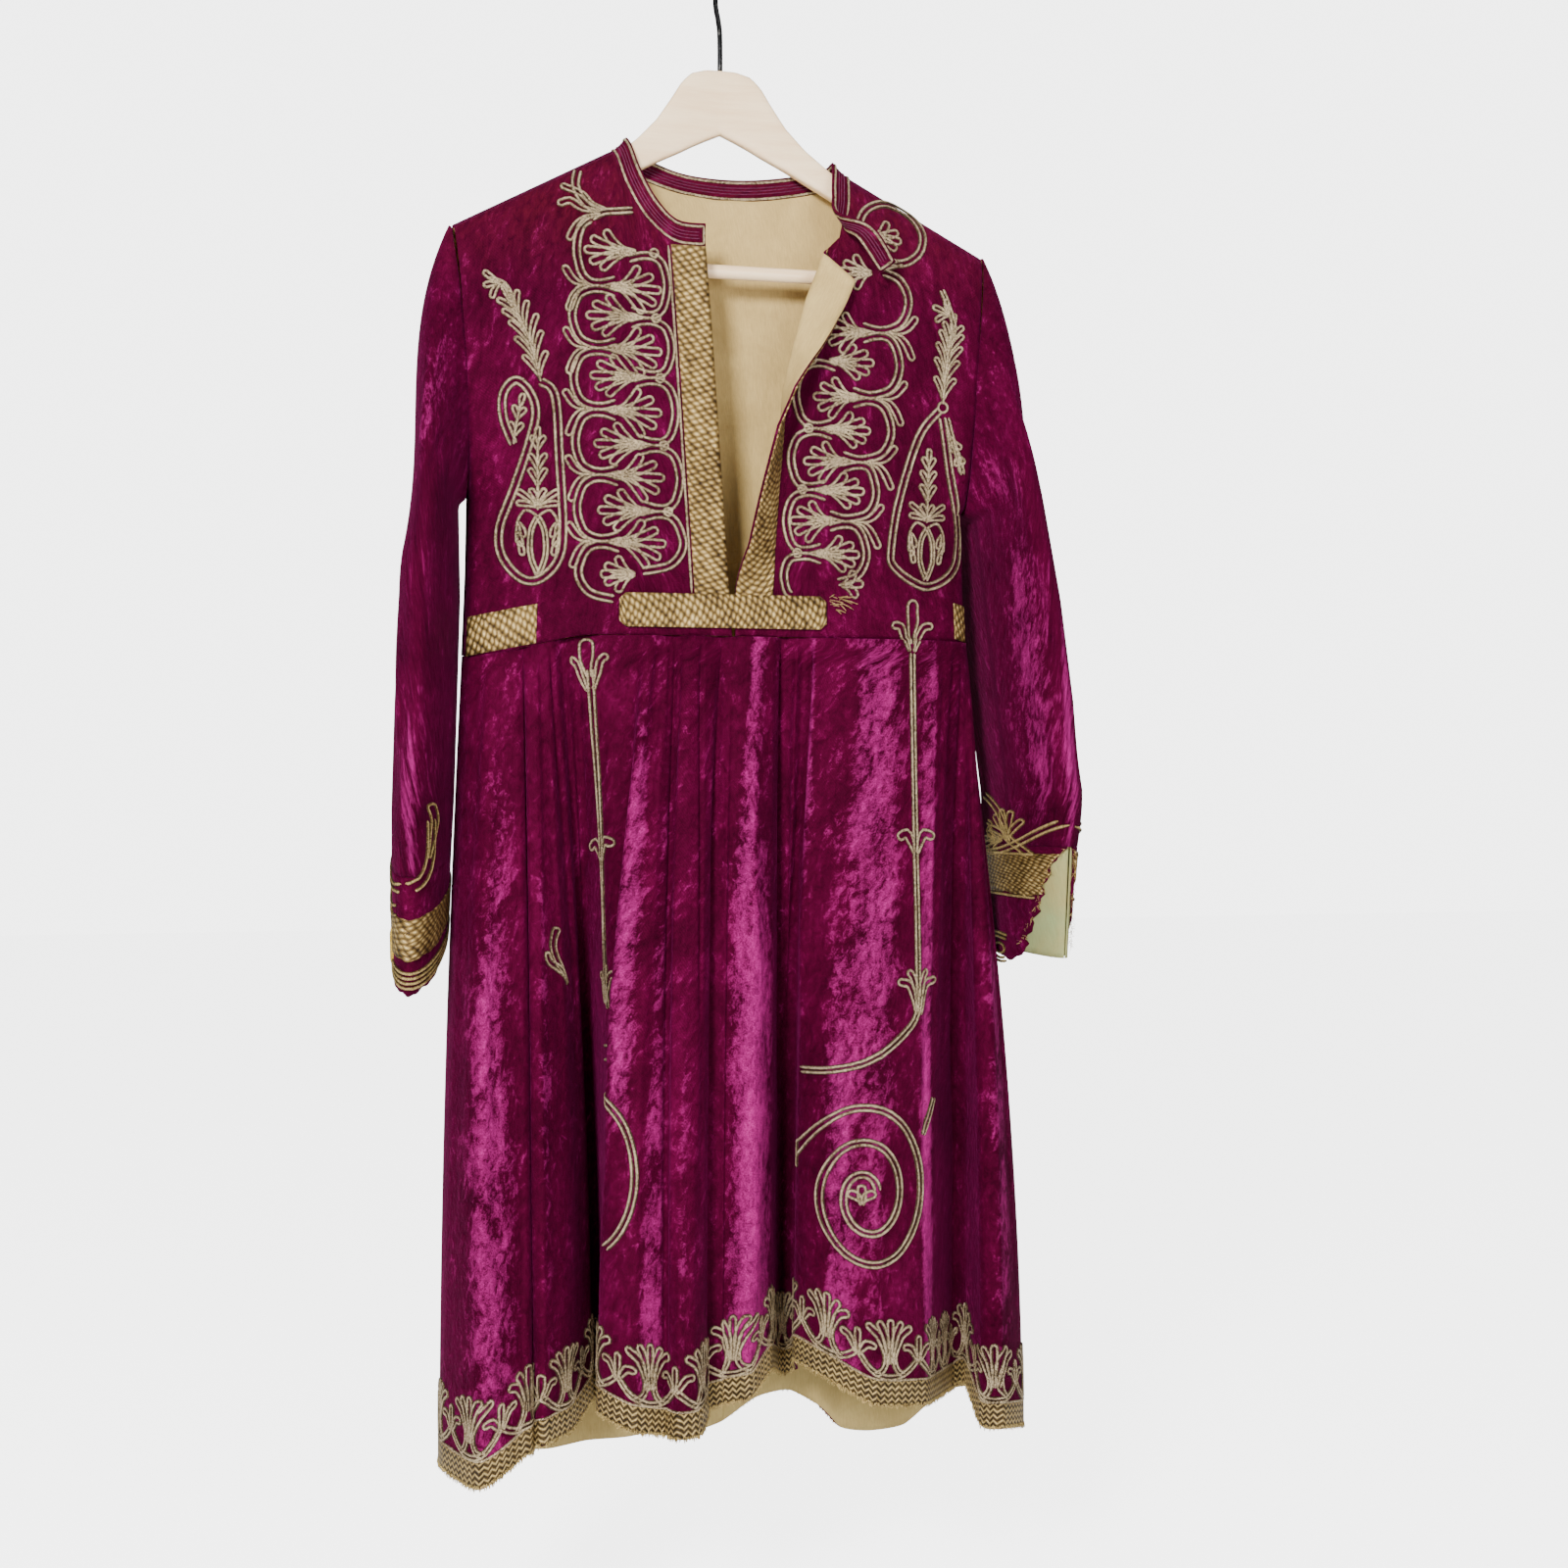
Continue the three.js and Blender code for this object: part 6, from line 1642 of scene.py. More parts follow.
@dataclass
class Embroidery:
    """All the couched work on the robe."""

    body: Body
    bodice: Bodice
    skirt: Skirt
    sleeves: dict
    finishes: Finishes
    outer_right: tuple = (
        Arc(-208, -109, -120), Arc(-263, -109, -124), Arc(-311, -109, -123), Arc(-358, -109, -121.5),
        Arc(-408, -107, -120), Arc(-459, -106, -119), Arc(-506, -92, -92))
    inner_right: tuple = (
        Arc(-235, -61, -50), Arc(-286, -60, -47), Arc(-332, -57, -44), Arc(-384, -54, -40.5),
        Arc(-435, -51, -38), Arc(-484, -70, -70))
    outer_left: tuple = (
        Arc(-236, 125, 145), Arc(-288, 126, 137), Arc(-340, 117, 130.5), Arc(-391, 109, 118),
        Arc(-438, 98, 110), Arc(-489, 86, 86))
    inner_left: tuple = (
        Arc(-312, 66, 52), Arc(-366, 63, 48), Arc(-414, 58, 44), Arc(-464, 54, 42), Arc(-500, 48, 48))

    outer_fan: tuple = ((38, 16), (48, 10), (54, -1), (50, -12), (41, -19))
    inner_fan: tuple = ((38, 15), (48, 9.5), (53, 0), (49, -9.5), (41, -14.5))
    small_fan: tuple = ((21, 11), (29, 6), (32, 0), (29, -6), (21, -11))

    def flow(self, work: Couching, here: Arc, there: Arc, way: float, starts: bool = True,
             ends: bool = True) -> None:
        """Lays one arc of a vine; its ends run on into the palmettes' stems.

        Args:
            work: the piece that it belongs to.
            here: the meeting above it.
            there: the meeting below it.
            way: the sign of X towards the palmettes.
            starts: whether its upper end runs on.
            ends: whether its lower end runs on.
        """
        fall = there.z - here.z
        points = []
        if starts:
            points += [(here.x + way * 19, here.z - 5.5), (here.x + way * 9, here.z - 2.6)]
        points.append((here.x, here.z - 2.8))
        for share in (0.14, 0.3, 0.5, 0.7, 0.86):
            x = lerp(here.x, there.x, share)
            points.append((x + (here.bulge - x) * math.sin(math.pi * share) ** 0.66,
                           here.z + fall * share))
        points.append((there.x, there.z + 2.8))
        if ends:
            points += [(there.x + way * 9, there.z + 2.6), (there.x + way * 19, there.z + 5.5)]
        work.double(points)

    def fitted(self, tips: Sequence[Pair], side: Side) -> list[Pair]:
        """A palmette's tips at the size that one front's vine has room for."""
        along, up = (1.0, 0.9) if side is Side.RIGHT else (0.94, 0.76)
        return [(a * along, u * up) for a, u in tips]

    def horns(self, work: Couching, root: Pair, way: float) -> None:
        """Lays the pair of curled leaves outside a meeting."""
        x, z = root
        reach = way * (0.8 if way < 0 else 1.0)
        for steps in (((0, 1), (9, 1.5), (16, 5), (22, 12)), ((0, -1), (8, -2), (14, -8), (19, -18))):
            work.petal([(x + reach * out, z + up) for out, up in steps], 4.8)

    def vine(self, side: Side) -> None:
        """Lays the scrolling vine beside one front's edge."""
        work = Couching(f"vine_cords_{side.word}", self.body.front)
        sign = side.value
        inward, outward = (0.0, math.pi) if side is Side.RIGHT else (math.pi, 0.0)
        outer = self.outer_right if side is Side.RIGHT else self.outer_left
        inner = self.inner_right if side is Side.RIGHT else self.inner_left
        for k in range(len(outer) - 1):
            self.flow(work, outer[k], outer[k + 1], -sign, k > 0, k < len(outer) - 2)
        for k in range(len(inner) - 1):
            self.flow(work, inner[k], inner[k + 1], sign, ends=k < len(inner) - 2)
        for arc in outer[1:-1]:
            work.fan((arc.x, arc.z), inward, 22, self.fitted(self.outer_fan, side), -sign)
            self.horns(work, (arc.x + sign * 2, arc.z), sign)
        for arc in inner[:-1]:
            work.fan((arc.x, arc.z), outward, 21, self.fitted(self.inner_fan, side), sign)
            work.ring((arc.x - sign * 1.0, arc.z), 3.2)
        if side is Side.RIGHT:
            work.double([(-76, -202), (-88, -203.5), (-99, -205), (-108, -210)], gap=3.6)
            work.double([(-100, -206), (-113, -198), (-119, -184), (-116, -170)], gap=4.6)
            work.petal([(-100, -204), (-114, -203), (-124, -197), (-131, -199)], 4.6)
            work.petal([(-101, -207), (-112, -210), (-120, -217), (-125, -226)], 4.6)
            work.petal([(-96, -203), (-107, -199), (-115, -191), (-128, -185)], 4.0)
            work.fan((-70, -484), outward, 9, self.small_fan, sign)
        else:
            ring = [(133, -181), (116, -186), (107, -198), (109, -212), (121, -226), (140, -231),
                    (155, -222), (160, -206), (152, -190)]
            work.double(ring, closed=True, gap=4.6)
            work.fan((109, -208), -0.16, 11, self.small_fan, 1)
            work.double([(120, -236), (132, -233), (141, -230)], gap=3.8)
            work.fan((121, -240), math.pi, 9, self.small_fan, 1)
            work.fan((84, -489), 0.1, 8, ((18, 8), (23, 0), (18, -8)))
        edge = [(self.bodice.front_edge(z) - self.bodice.narrow_band - 2.2, z)
                for z in shares(60, -228, -497)]
        if side is Side.RIGHT:
            work.strand(edge, 2.4)
        work.make(self.finishes.cord, "cord", f"vine_{side.word}")

    def teardrops(self) -> None:
        """Lays the drop on each front, with its sprigs."""
        work = Couching("teardrop_cords_right", self.body.front)
        work.double([(-148, -338), (-137, -349), (-133.4, -395), (-130.5, -452), (-135, -475), (-149, -489),
                     (-163, -487), (-176, -470), (-177.5, -449), (-167, -419), (-156, -384), (-151.5, -361),
                     (-157, -345), (-167, -338), (-176, -348), (-175.9, -366), (-168, -386)])
        work.leaf([(-168, -386), (-166, -370), (-163, -356)], 2, 12)
        work.leaf([(-148, -338), (-151, -325), (-158, -302), (-168, -282)], 5, 25)
        work.double([(-166, -290), (-169.5, -276), (-176, -265), (-188, -262)], gap=3.0, width=2.8)
        for turn, length in ((-0.4, 15), (0.15, 13), (0.75, 14)):
            work.hairpin((-178, -264), math.pi + turn, length, turn)
        self.spray(work, (-149, -486), (-150, -372))
        work.make(self.finishes.cord, "cord", "teardrop_right")

        work = Couching("teardrop_cords_left", self.body.front)
        work.double([(172, -346), (154.4, -368), (138, -418), (130.5, -458), (134, -473), (161, -487),
                     (186, -475), (193, -449), (181, -390), (174, -352)])
        work.ring((174.5, -344), 4.0)
        work.leaf([(175, -341), (176, -326), (178.5, -306), (182, -286)], 5, 24)
        work.double([(181, -292), (184.5, -279), (179, -262), (174, -250)], gap=3.0, width=2.8)
        for turn, length in ((-0.5, 13), (0.2, 15), (0.8, 13)):
            work.hairpin((180, -270), math.pi * 0.78 + turn, length, turn)
        work.double([(178, -352), (182, -366), (189, -384), (193, -396)], gap=3.0, width=2.6)
        work.leaf([(182, -366), (187, -378), (190, -388)], 2, 10)
        self.spray(work, (161.6, -482), (163, -378))
        work.make(self.finishes.cord, "cord", "teardrop_left")

    def spray(self, work: Couching, foot: Pair, tip: Pair) -> None:
        """Lays the inner spray of a drop between its foot and its tip."""
        (x0, z0), (x1, z1) = foot, tip

        def at(share: float, out: float) -> Pair:
            """A place beside the spray's middle."""
            return lerp(x0, x1, share) + out, lerp(z0, z1, share)

        up = math.atan2(z1 - z0, x1 - x0)
        for side in (-1, 1):
            work.double([at(0.0, 0), at(0.14, side * 5.5), at(0.30, side * 5), at(0.40, 0)],
                        gap=2.6, width=2.6)
            work.strand(catmull([at(0.40, 0), at(0.44, side * 9), at(0.36, side * 15), at(0.22, side * 16)],
                                STEP), 2.8)
            for share, out in ((0.36, 14), (0.30, 16), (0.24, 15)):
                work.hairpin(at(share, side * out), up + math.pi - side * 0.5, 12, side * 0.5)
            work.hairpin(at(0.46, 0), up - side * 0.75, 20, -side * 0.3)
            work.hairpin(at(0.46, 0), up - side * 1.2, 16, -side * 0.4)
        work.leaf([at(0.44, 0), at(0.6, 0), at(0.9, 0)], 4, 15)

    def stems(self) -> None:
        """Lays the long stems on the skirt's front folds."""
        start, end = self.skirt.fold("spiral_edge"), self.skirt.fold("spiral_side")

        def robe_place(x: float, z: float) -> Place:
            """A place on the front above the waist, and on the skirt below it."""
            return self.body.front(x, z) if z > self.body.waist_z else self.skirt.at(x, z, start, end)

        work = Couching("stem_cords_left", robe_place)
        work.double([(148, -541), (147, -600), (146, -690), (146, -760), (145.5, -812)], gap=3.4)
        work.petal([(148, -534), (149, -518), (150, -503)], 9.0, 2.8)
        for side in (-1, 1):
            work.petal([(147.5 + side * 2, -540), (148 + side * 6, -529), (149 + side * 10, -520),
                        (149 + side * 15, -519)], 4.8)
            work.petal([(146 + side * 1.5, -700), (146 + side * 4, -692), (146 + side * 8, -684),
                        (146 + side * 13, -686)], 6.0)
            work.petal([(145.5 + side * 2, -826), (146 + side * 5, -812), (146 + side * 9, -802),
                        (146 + side * 16, -800)], 4.8)
            work.petal([(145.5 + side, -824), (146 + side * 2, -810), (146 + side * 5, -798),
                        (146 + side * 8, -793)], 4.4)
        work.double([(145, -822), (140, -832), (122, -848), (100, -861), (76, -867), (58, -869)], gap=3.6)
        work.make(self.finishes.cord, "cord", "stem_left")

        first = self.skirt.fold("right_gap_deep") + 0.5

        def stem_place(across: float, z: float) -> Place:
            """A place beside the right stem."""
            down = (self.body.waist_z - z) / 600
            t = first + 1.5 * down
            step = (self.skirt.point(t + 0.5, down) - self.skirt.point(t - 0.5, down)).length
            return self.skirt.place(t + across / step, down)

        work = Couching("stem_cords_right", stem_place)
        work.double([(1, -556), (0, -600), (0, -660), (0, -720), (1, -790), (5, -822)], gap=3.8)
        work.petal([(0, -562), (-1, -550), (0, -537)], 9.0, 2.8)
        for side in (-1, 1):
            work.petal([(side * 2, -572), (side * 6, -560), (side * 9, -550), (side * 13, -547)], 4.8)
            work.petal([(side * 1.5, -706), (side * 4, -698), (side * 8, -690), (side * 13, -692)], 6.0)
            work.petal([(side * 1.5, -818), (side * 5, -806), (side * 8, -797), (side * 12, -795)], 4.8)
        work.petal([(2, -818), (1, -804), (2, -790)], 5.0)
        for z in (-851, -862):
            work.strand([(across, z) for across in shares(12, -8, 26)], 2.6)
        work.make(self.finishes.cord, "cord", "stem_right")

        low, high = self.skirt.fold("second_edge"), self.skirt.fold("second_inside")
        work = Couching("leaf_cords_right", lambda x, z: self.skirt.at(x, z, low, high))
        work.petal([(-130, -795), (-136, -780), (-139, -768), (-137, -757)], 4.4)
        work.petal([(-127, -799), (-134, -787), (-142, -780), (-144, -775)], 4.0)
        work.make(self.finishes.cord, "cord")

    def spirals(self) -> None:
        """Lays the scrolls on the skirt's lower folds."""
        start, end = self.skirt.fold("spiral_edge"), self.skirt.fold("spiral_side")
        work = Couching("spiral_cords_left", lambda x, z: self.skirt.at(x, z, start, end))
        points = []
        for k in range(76):
            share = k / 75
            angle = math.pi * 0.93 - math.tau * 2.4 * share
            radius = lerp(1.0, 0.17, share ** 0.92)
            points.append((103 - 4 * share + 53 * radius * math.cos(angle),
                           -962 - 2 * share + 73 * radius * math.sin(angle)))
        work.double(points, gap=3.8)
        work.fan((96, -974), math.pi * 0.5, 6, ((15, 7), (19, 0), (15, -7)))
        work.double([(149, -920), (156, -905), (161, -893)], gap=3.4)
        work.make(self.finishes.cord, "cord", "spiral_left")

        start, end = self.skirt.fold("front_edge_right"), self.skirt.fold("front_face_right") + 1
        work = Couching("spiral_cords_right", lambda x, z: self.skirt.at(x, z, start, end))
        arc = [(-134 + 50 * math.cos(angle), -936 + 72 * math.sin(angle))
               for angle in shares(11, 0.92, -0.92)]
        work.double(arc, gap=3.4)
        work.make(self.finishes.cord, "cord", "spiral_right")

    tulip: tuple = (
        ((-3, 13), (-5.5, 25), (-10, 35), (-17, 40)), ((3, 13), (5.5, 25), (10, 35), (17, 40)),
        ((-1.8, 13), (-3, 27), (-5.5, 37), (-9, 43.5)), ((1.8, 13), (3, 27), (5.5, 37), (9, 43.5)),
        ((0, 13), (0, 30), (0, 45)))
    trefoil: tuple = (
        ((-1, 14), (-4, 20), (-8, 25.5), (-12.5, 26)), ((1, 14), (4, 20), (8, 25.5), (12.5, 26)),
        ((0, 15), (0, 24), (0, 32)))

    def hem(self) -> None:
        """Lays the hem's row of palmettes and trefoils over its scallops, once round."""
        total = self.skirt.hem_length[-1]
        count = round(total / 53)
        pitch = total / count
        half = count // 2
        for name, first, last in (("front", 0, half), ("back", half, count)):
            work = Couching(f"hem_cords_{name}", self.skirt.hem_place)
            for k in range(first, last):
                middle = (k + 0.5) * pitch
                scallop = [(middle + pitch * share, 3 + 15 * abs(2 * share) ** 2.2)
                           for share in shares(10, -0.5, 0.5)]
                work.double(scallop, gap=3.2, width=3.0)
                for side in (-1, 1):
                    work.double([(middle + side * 13, 4), (middle + side * 7, 8), (middle + side * 4, 14),
                                 (middle + side * 3.6, 23)], gap=3.2, width=2.9)
                for spine in self.tulip:
                    work.petal([(middle + out, up) for out, up in spine], 4.8, 3.0)
                for spine in self.trefoil:
                    work.petal([((k + 1) * pitch + out, up) for out, up in spine], 4.4, 2.9)
            work.strand([(lerp(first, last, s) * pitch, 1.0) for s in shares(400)], 2.2)
            work.make(self.finishes.cord, "cord")

    def collar(self) -> None:
        """Lays the cords along the collar's edges and its stitching, inside and out."""
        last = 2 * (len(self.bodice.stations) - 1)

        def run(line: Iterable[Pair], flip: int) -> list[Place]:
            """Places along the collar, on its inside or its outside."""
            places = [self.bodice.collar_place(k, level) for k, level in line]
            return [(point, normal * flip) for point, normal in places]

        cords = Couching("collar_cords", self.bodice.collar_place)
        seams = Couching("collar_stitches", self.bodice.collar_place)
        for flip in (1, -1):
            for level in (0.1, 0.86):
                cords.lay(run(((k * 0.5, level) for k in range(1, last)), flip), 2.3, 1.2)
            for end in (0.5, last / 2 - 0.6):
                cords.lay(run(((end, level) for level in shares(6, 0.1, 0.86)), flip), 2.3, 1.2)
            for level in (0.34, 0.48, 0.62):
                seams.lay(run(((k * 0.5, level) for k in range(3, last - 2)), flip), 0.9, 0.5)
        cords.make(self.finishes.cord, "cord")
        seams.make(self.finishes.stitch, "cord")

    def cuffs(self) -> None:
        """Lays the scrolls above each cuff's band and the gilt edges round it."""
        left = self.sleeves[Side.LEFT]
        view = 2.3
        work = Couching("cuff_cords_left", lambda out, z: left.wide_place(out * view, z))
        work.double([(1.5, -676), (10, -683), (22, -693), (36, -700), (50, -702)], gap=4.0)
        work.double([(-1.5, -677), (-9, -684), (-20, -690), (-34, -694), (-50, -698)], gap=4.0)
        work.double([(52, -654), (44, -660), (36, -670), (29, -688), (20, -697), (13, -704)], gap=4.0)
        work.fan((27, -697), math.pi * 0.42, 8, self.small_fan, 1, 4.0)
        work.fan((29, -690), -0.12, 6, ((17, 6), (21, 2), (21, -3), (16, -6)), 1, 4.0)
        work.double([(48, -676), (43, -679), (46, -684), (42, -688), (47, -692)], gap=2.8, width=2.4)
        for z in (-701.5, -735.5):
            work.strand([(out, z) for out in shares(40, 12, 52)], 2.8)
            work.strand([(out, z) for out in shares(40, -52, -2)], 2.8)
        work.double([(42, -770), (36, -770), (30, -771)], gap=3.4)
        work.ring((36, -781), 4.2)
        work.double([(42, -790), (36, -791), (31, -789)], gap=3.0, width=2.4)
        work.make(self.finishes.gold, "cord")

        right = self.sleeves[Side.RIGHT]
        view = 2.9
        work = Couching("cuff_cords_right", lambda out, z: right.wide_place(out * view, z))
        work.double([(33, -566), (33.5, -590), (33, -612), (31, -634)], gap=2.8, width=2.6)
        for z in (-572, -600, -618):
            work.petal([(33, z - 6), (36, z), (38, z + 5)], 3.0, 2.2)
        for offset in range(5):
            line = [(40 - offset * 0.2, -622 - offset * 3.4), (36, -650 - offset * 3.0),
                    (29, -680 - offset * 2.4), (22, -694 - offset * 2.0)]
            work.strand(catmull(line, STEP), 3.0)
        work.double([(22, -695), (13, -702), (4, -708), (-3, -702), (-6, -688), (-6, -664)], gap=3.8)
        work.petal([(-5, -690), (-7, -676), (-8, -664), (-6, -655)], 4.0)
        ring = [(28, -701), (22, -705), (21, -718), (25, -731), (30, -733), (34, -722), (33, -708)]
        work.double(ring, closed=True, gap=3.4, width=2.8)
        work.double([(37, -722), (32, -738), (24, -743), (19, -736)], gap=3.4, width=2.8)
        for z in (-716, -722, -727):
            work.strand([(out, z - 5 * math.sin(out * 0.2)) for out in shares(24, 2, 16)], 2.6)
        work.make(self.finishes.gold, "cord")

        edges = Couching("cuff_gilt_edge", right.wide_place)
        for row in range(4):
            level = 1.985 - row * 0.009
            edges.lay([right.place(angle, level)
                       for angle in shares(90, right.slit + 0.35, right.slit + 5.9)], 2.7, 1.5)
        edges.make(self.finishes.gold, "cord")

        core = Couching("cuff_yellow_core", lambda out, z: right.wide_place(out * view, z))
        for k in range(4):
            core.strand([(6 + k * 1.1, -733 - k * 2 + z) for z in shares(6, 0, -26)], 1.5, 2.2)
        core.make(self.finishes.core, "cord")

    def frays(self) -> None:
        """Lays loose thread ends along the hem, the cuffs and the torn waist band."""
        pick = random.Random(SEED)
        work = Couching("frayed_threads", self.skirt.hem_place)
        total = self.skirt.hem_length[-1]
        for k in range(1500):
            along = total * (k + pick.random()) / 1500
            point, normal = self.skirt.hem_place(along, -14)
            hem, _ = self.skirt.hem_place(along, -18.5)
            ahead, _ = self.skirt.hem_place(along + 2, -18.5)
            way = (ahead - hem).normalized() * pick.uniform(-1.4, 1.4)
            foot = hem + normal * 1.6
            tip = foot + Vector((0, 0, -pick.uniform(1.0, 3.4))) + way + normal * pick.uniform(-0.4, 1.0)
            work.lay([(foot + Vector((0, 0, 2)), normal), (foot, normal), (tip, normal)], 1.1, 0.9, low=0)
        for sleeve in self.sleeves.values():
            for k in range(220):
                down = pick.random()
                grid = sleeve.torn_angles(down, sleeve.gaps, 2)
                level = lerp(sleeve.share(sleeve.cuff_top), 2, down * 0.8)
                point, normal = sleeve.place(grid[0 if k % 2 else 2], level)
                tip = point + Vector((pick.uniform(-3, 3), pick.uniform(-3, 1), pick.uniform(-4, 1)))
                work.lay([(point, normal), (tip, normal)], 0.8, 0.6)
        for k in range(16):
            foot, normal = self.body.front(84 + pick.uniform(-6, 8), -503 + pick.uniform(-6, 6))
            tip = foot + Vector((pick.uniform(2, 12), -3.2, pick.uniform(-8, 4)))
            work.lay([(foot, normal), (foot.lerp(tip, 0.5) + normal, normal), (tip, normal)], 1.0, 0.8)
        work.make(self.finishes.gold, "cord")

    def build(self) -> None:
        """Lays all of it."""
        self.vine(Side.RIGHT)
        self.vine(Side.LEFT)
        self.teardrops()
        self.stems()
        self.spirals()
        self.hem()
        self.collar()
        self.cuffs()
        self.frays()


# ---- hanger --------------------------------------------------------------------------------------


@dataclass
class Hanger:
    """The wooden hanger: swept arms, a round bar and a wire hook."""

    body: Body
    finishes: Finishes
    thickness: float = 11.0
    bar_radius: float = 5.5
    bar_half: float = 184.0
    bar_z: float = -240.0
    wire: float = 2.1
    hook_radius: float = 17.0
    outline: tuple = (
        (0, -78, -129), (12, -78.5, -134.5), (24, -82, -140.5), (32, -90, -145), (40, -103, -149),
        (52, -121, -155), (68, -138, -164), (88, -154, -175), (120, -171.5, -194), (155, -190.5, -217),
        (180, -204, -248), (200, -215, -250), (207, -222, -243))

    def tube(
        self, name: str, rings: Sequence[Sequence[Vector]], finish: bpy.types.Material,
    ) -> bpy.types.Object:
        """A closed solid through rings of equal count."""
        build = Builder(name)
        numbers = [[build.point(p, (p.x * FLAT_UNIT, p.z * FLAT_UNIT)) for p in ring] for ring in rings]
        around = len(rings[0])
        for here, there in zip(numbers, numbers[1:]):
            for c in range(around):
                d = (c + 1) % around
                build.face((here[c], here[d], there[d], there[c]))
        build.face(numbers[0][::-1])
        build.face(numbers[-1])
        obj = build.make((finish,))
        turn_out(obj)
        return obj

    def arms(self) -> bpy.types.Object:
        """Both arms, from tip to tip."""
        rings = []
        for x in [-207, -205, -202] + shares(120, -198, 198) + [202, 205, 207]:
            top, bottom = column(self.outline, abs(x), 1), column(self.outline, abs(x), 2)
            half, y = self.thickness / 2, self.body.ridge_y(x)
            middle, tall = (top + bottom) / 2, (top - bottom) / 2
            shrink = 1 - 0.35 * smooth((abs(x) - 200) / 7)
            ring = []
            for k in range(24):
                angle = math.tau * (k + 0.5) / 24
                c, s = math.cos(angle), math.sin(angle)
                ring.append(Vector((
                    x, y + shrink * half * math.copysign(abs(c) ** 0.45, c),
                    middle + shrink * tall * math.copysign(abs(s) ** 0.3, s))))
            rings.append(ring)
        return self.tube("hanger_arms", rings, self.finishes.beech)

    def bar(self) -> bpy.types.Object:
        """The round bar between the arms."""
        y = self.body.ridge_y(self.bar_half)
        turns = [math.tau * k / 32 for k in range(32)]
        rings = [[Vector((x, y + self.bar_radius * math.cos(a), self.bar_z + self.bar_radius * math.sin(a)))
                  for a in turns] for x in shares(40, -self.bar_half, self.bar_half)]
        return self.tube("hanger_round_bar", rings, self.finishes.beech)

    def hook(self) -> bpy.types.Object:
        """The wire hook."""
        stem = [(0, -77.7), (0, -62), (1.5, -46), (8, -33)]
        middle = self.wire - self.hook_radius
        turns = [math.radians(a) for a in shares(8, -35, 205)]
        arc = [(self.hook_radius * math.cos(a), middle + self.hook_radius * math.sin(a)) for a in turns]
        line = catmull(stem + arc, 1.6)
        rings = []
        for k, (y, z) in enumerate(line):
            before, after = line[max(k - 1, 0)], line[min(k + 1, len(line) - 1)]
            way = Vector((0, after[0] - before[0], after[1] - before[1])).normalized()
            side = Vector((1, 0, 0))
            up = way.cross(side)
            rings.append([Vector((0, y, z)) + side * self.wire * math.cos(a) + up * self.wire * math.sin(a)
                          for a in (math.tau * j / 16 for j in range(16))])
        return self.tube("hanger_wire_hook", rings, self.finishes.wire)

    def build(self) -> None:
        """Builds and dresses the hanger."""
        dress(self.arms(), "wood", "hanger_wood")
        dress(self.bar(), "wood", "hanger_bar")
        dress(self.hook(), "wire", "hanger_hook")


# ---- the room ------------------------------------------------------------------------------------


@dataclass
class Studio:
    """Floor, light and camera."""

    eye: tuple = (-0.36178, -1.66184, -0.645)
    heading: float = -14.0
    focal: float = 49.03
    floor_z: float = -1.36
    floor_reach: float = 9000.0

    def camera(self) -> None:
        """Sets up the camera, level with the robe's middle."""
        data = bpy.data.cameras.new("view")
        data.lens = self.focal
        data.sensor_width = 36.0
        camera = bpy.data.objects.new("view", data)
        camera.location = self.eye
        camera.rotation_euler = (math.radians(90), 0, math.radians(self.heading))
        bpy.context.collection.objects.link(camera)
        bpy.context.scene.camera = camera

    def floor(self) -> None:
        """Sets up a wide pale floor."""
        build = Builder("studio_floor")
        reach = self.floor_reach
        build.face([build.point(Vector((x, y, self.floor_z * 1000)), (x, y))
                    for x, y in ((-reach, -reach), (reach, -reach), (reach, reach), (-reach, reach))])
        material, graph, shader = principled("pale_floor")
        speckle = graph.node("ShaderNodeTexNoise", Vector=solid_place(graph), Scale=3.0)
        graph.join(graph.ramp(speckle.outputs[0], (0.3, (0.86, 0.86, 0.86)), (0.7, (0.9, 0.9, 0.9))),
                   shader.inputs["Base Color"])
        shader.inputs["Roughness"].default_value = 0.95
        shader.inputs["Emission Color"].default_value = (1, 1, 1, 1)
        seen = graph.node("ShaderNodeLightPath").outputs["Is Camera Ray"]
        graph.join(graph.maths("MULTIPLY_ADD", seen, 4.0, 0.1), shader.inputs["Emission Strength"])
        build.make((material,))

    def lamp(
        self, name: str, place: Sequence[float], aim: Sequence[float], size: float, watts: float,
    ) -> None:
        """Sets up one soft square light."""
        data = bpy.data.lights.new(name, "AREA")
        data.energy = watts
        data.size = size
        lamp = bpy.data.objects.new(name, data)
        lamp.location = place
        lamp.rotation_euler = (Vector(aim) - Vector(place)).to_track_quat("-Z", "Y").to_euler()
        bpy.context.collection.objects.link(lamp)

    def build(self) -> None:
        """Builds the room."""
        self.camera()
        self.floor()
        world = bpy.data.worlds.new("studio_light")
        bpy.context.scene.world = world
        world.use_nodes = True
        sky = Graph(world.node_tree)
        background = world.node_tree.nodes["Background"]
        background.inputs[0].default_value = (1.0, 1.0, 1.0, 1.0)
        seen = sky.node("ShaderNodeLightPath").outputs["Is Camera Ray"]
        sky.join(sky.maths("MULTIPLY_ADD", seen, 4.3, 0.26), background.inputs[1])
        middle = (0.0, 0.0, -0.65)
        self.lamp("key", (-1.15, -2.15, 0.25), middle, 0.45, 118)
        self.lamp("fill", (0.5, -2.6, -0.5), middle, 1.0, 38)
        self.lamp("top", (0.1, -0.3, 1.5), middle, 1.2, 10)


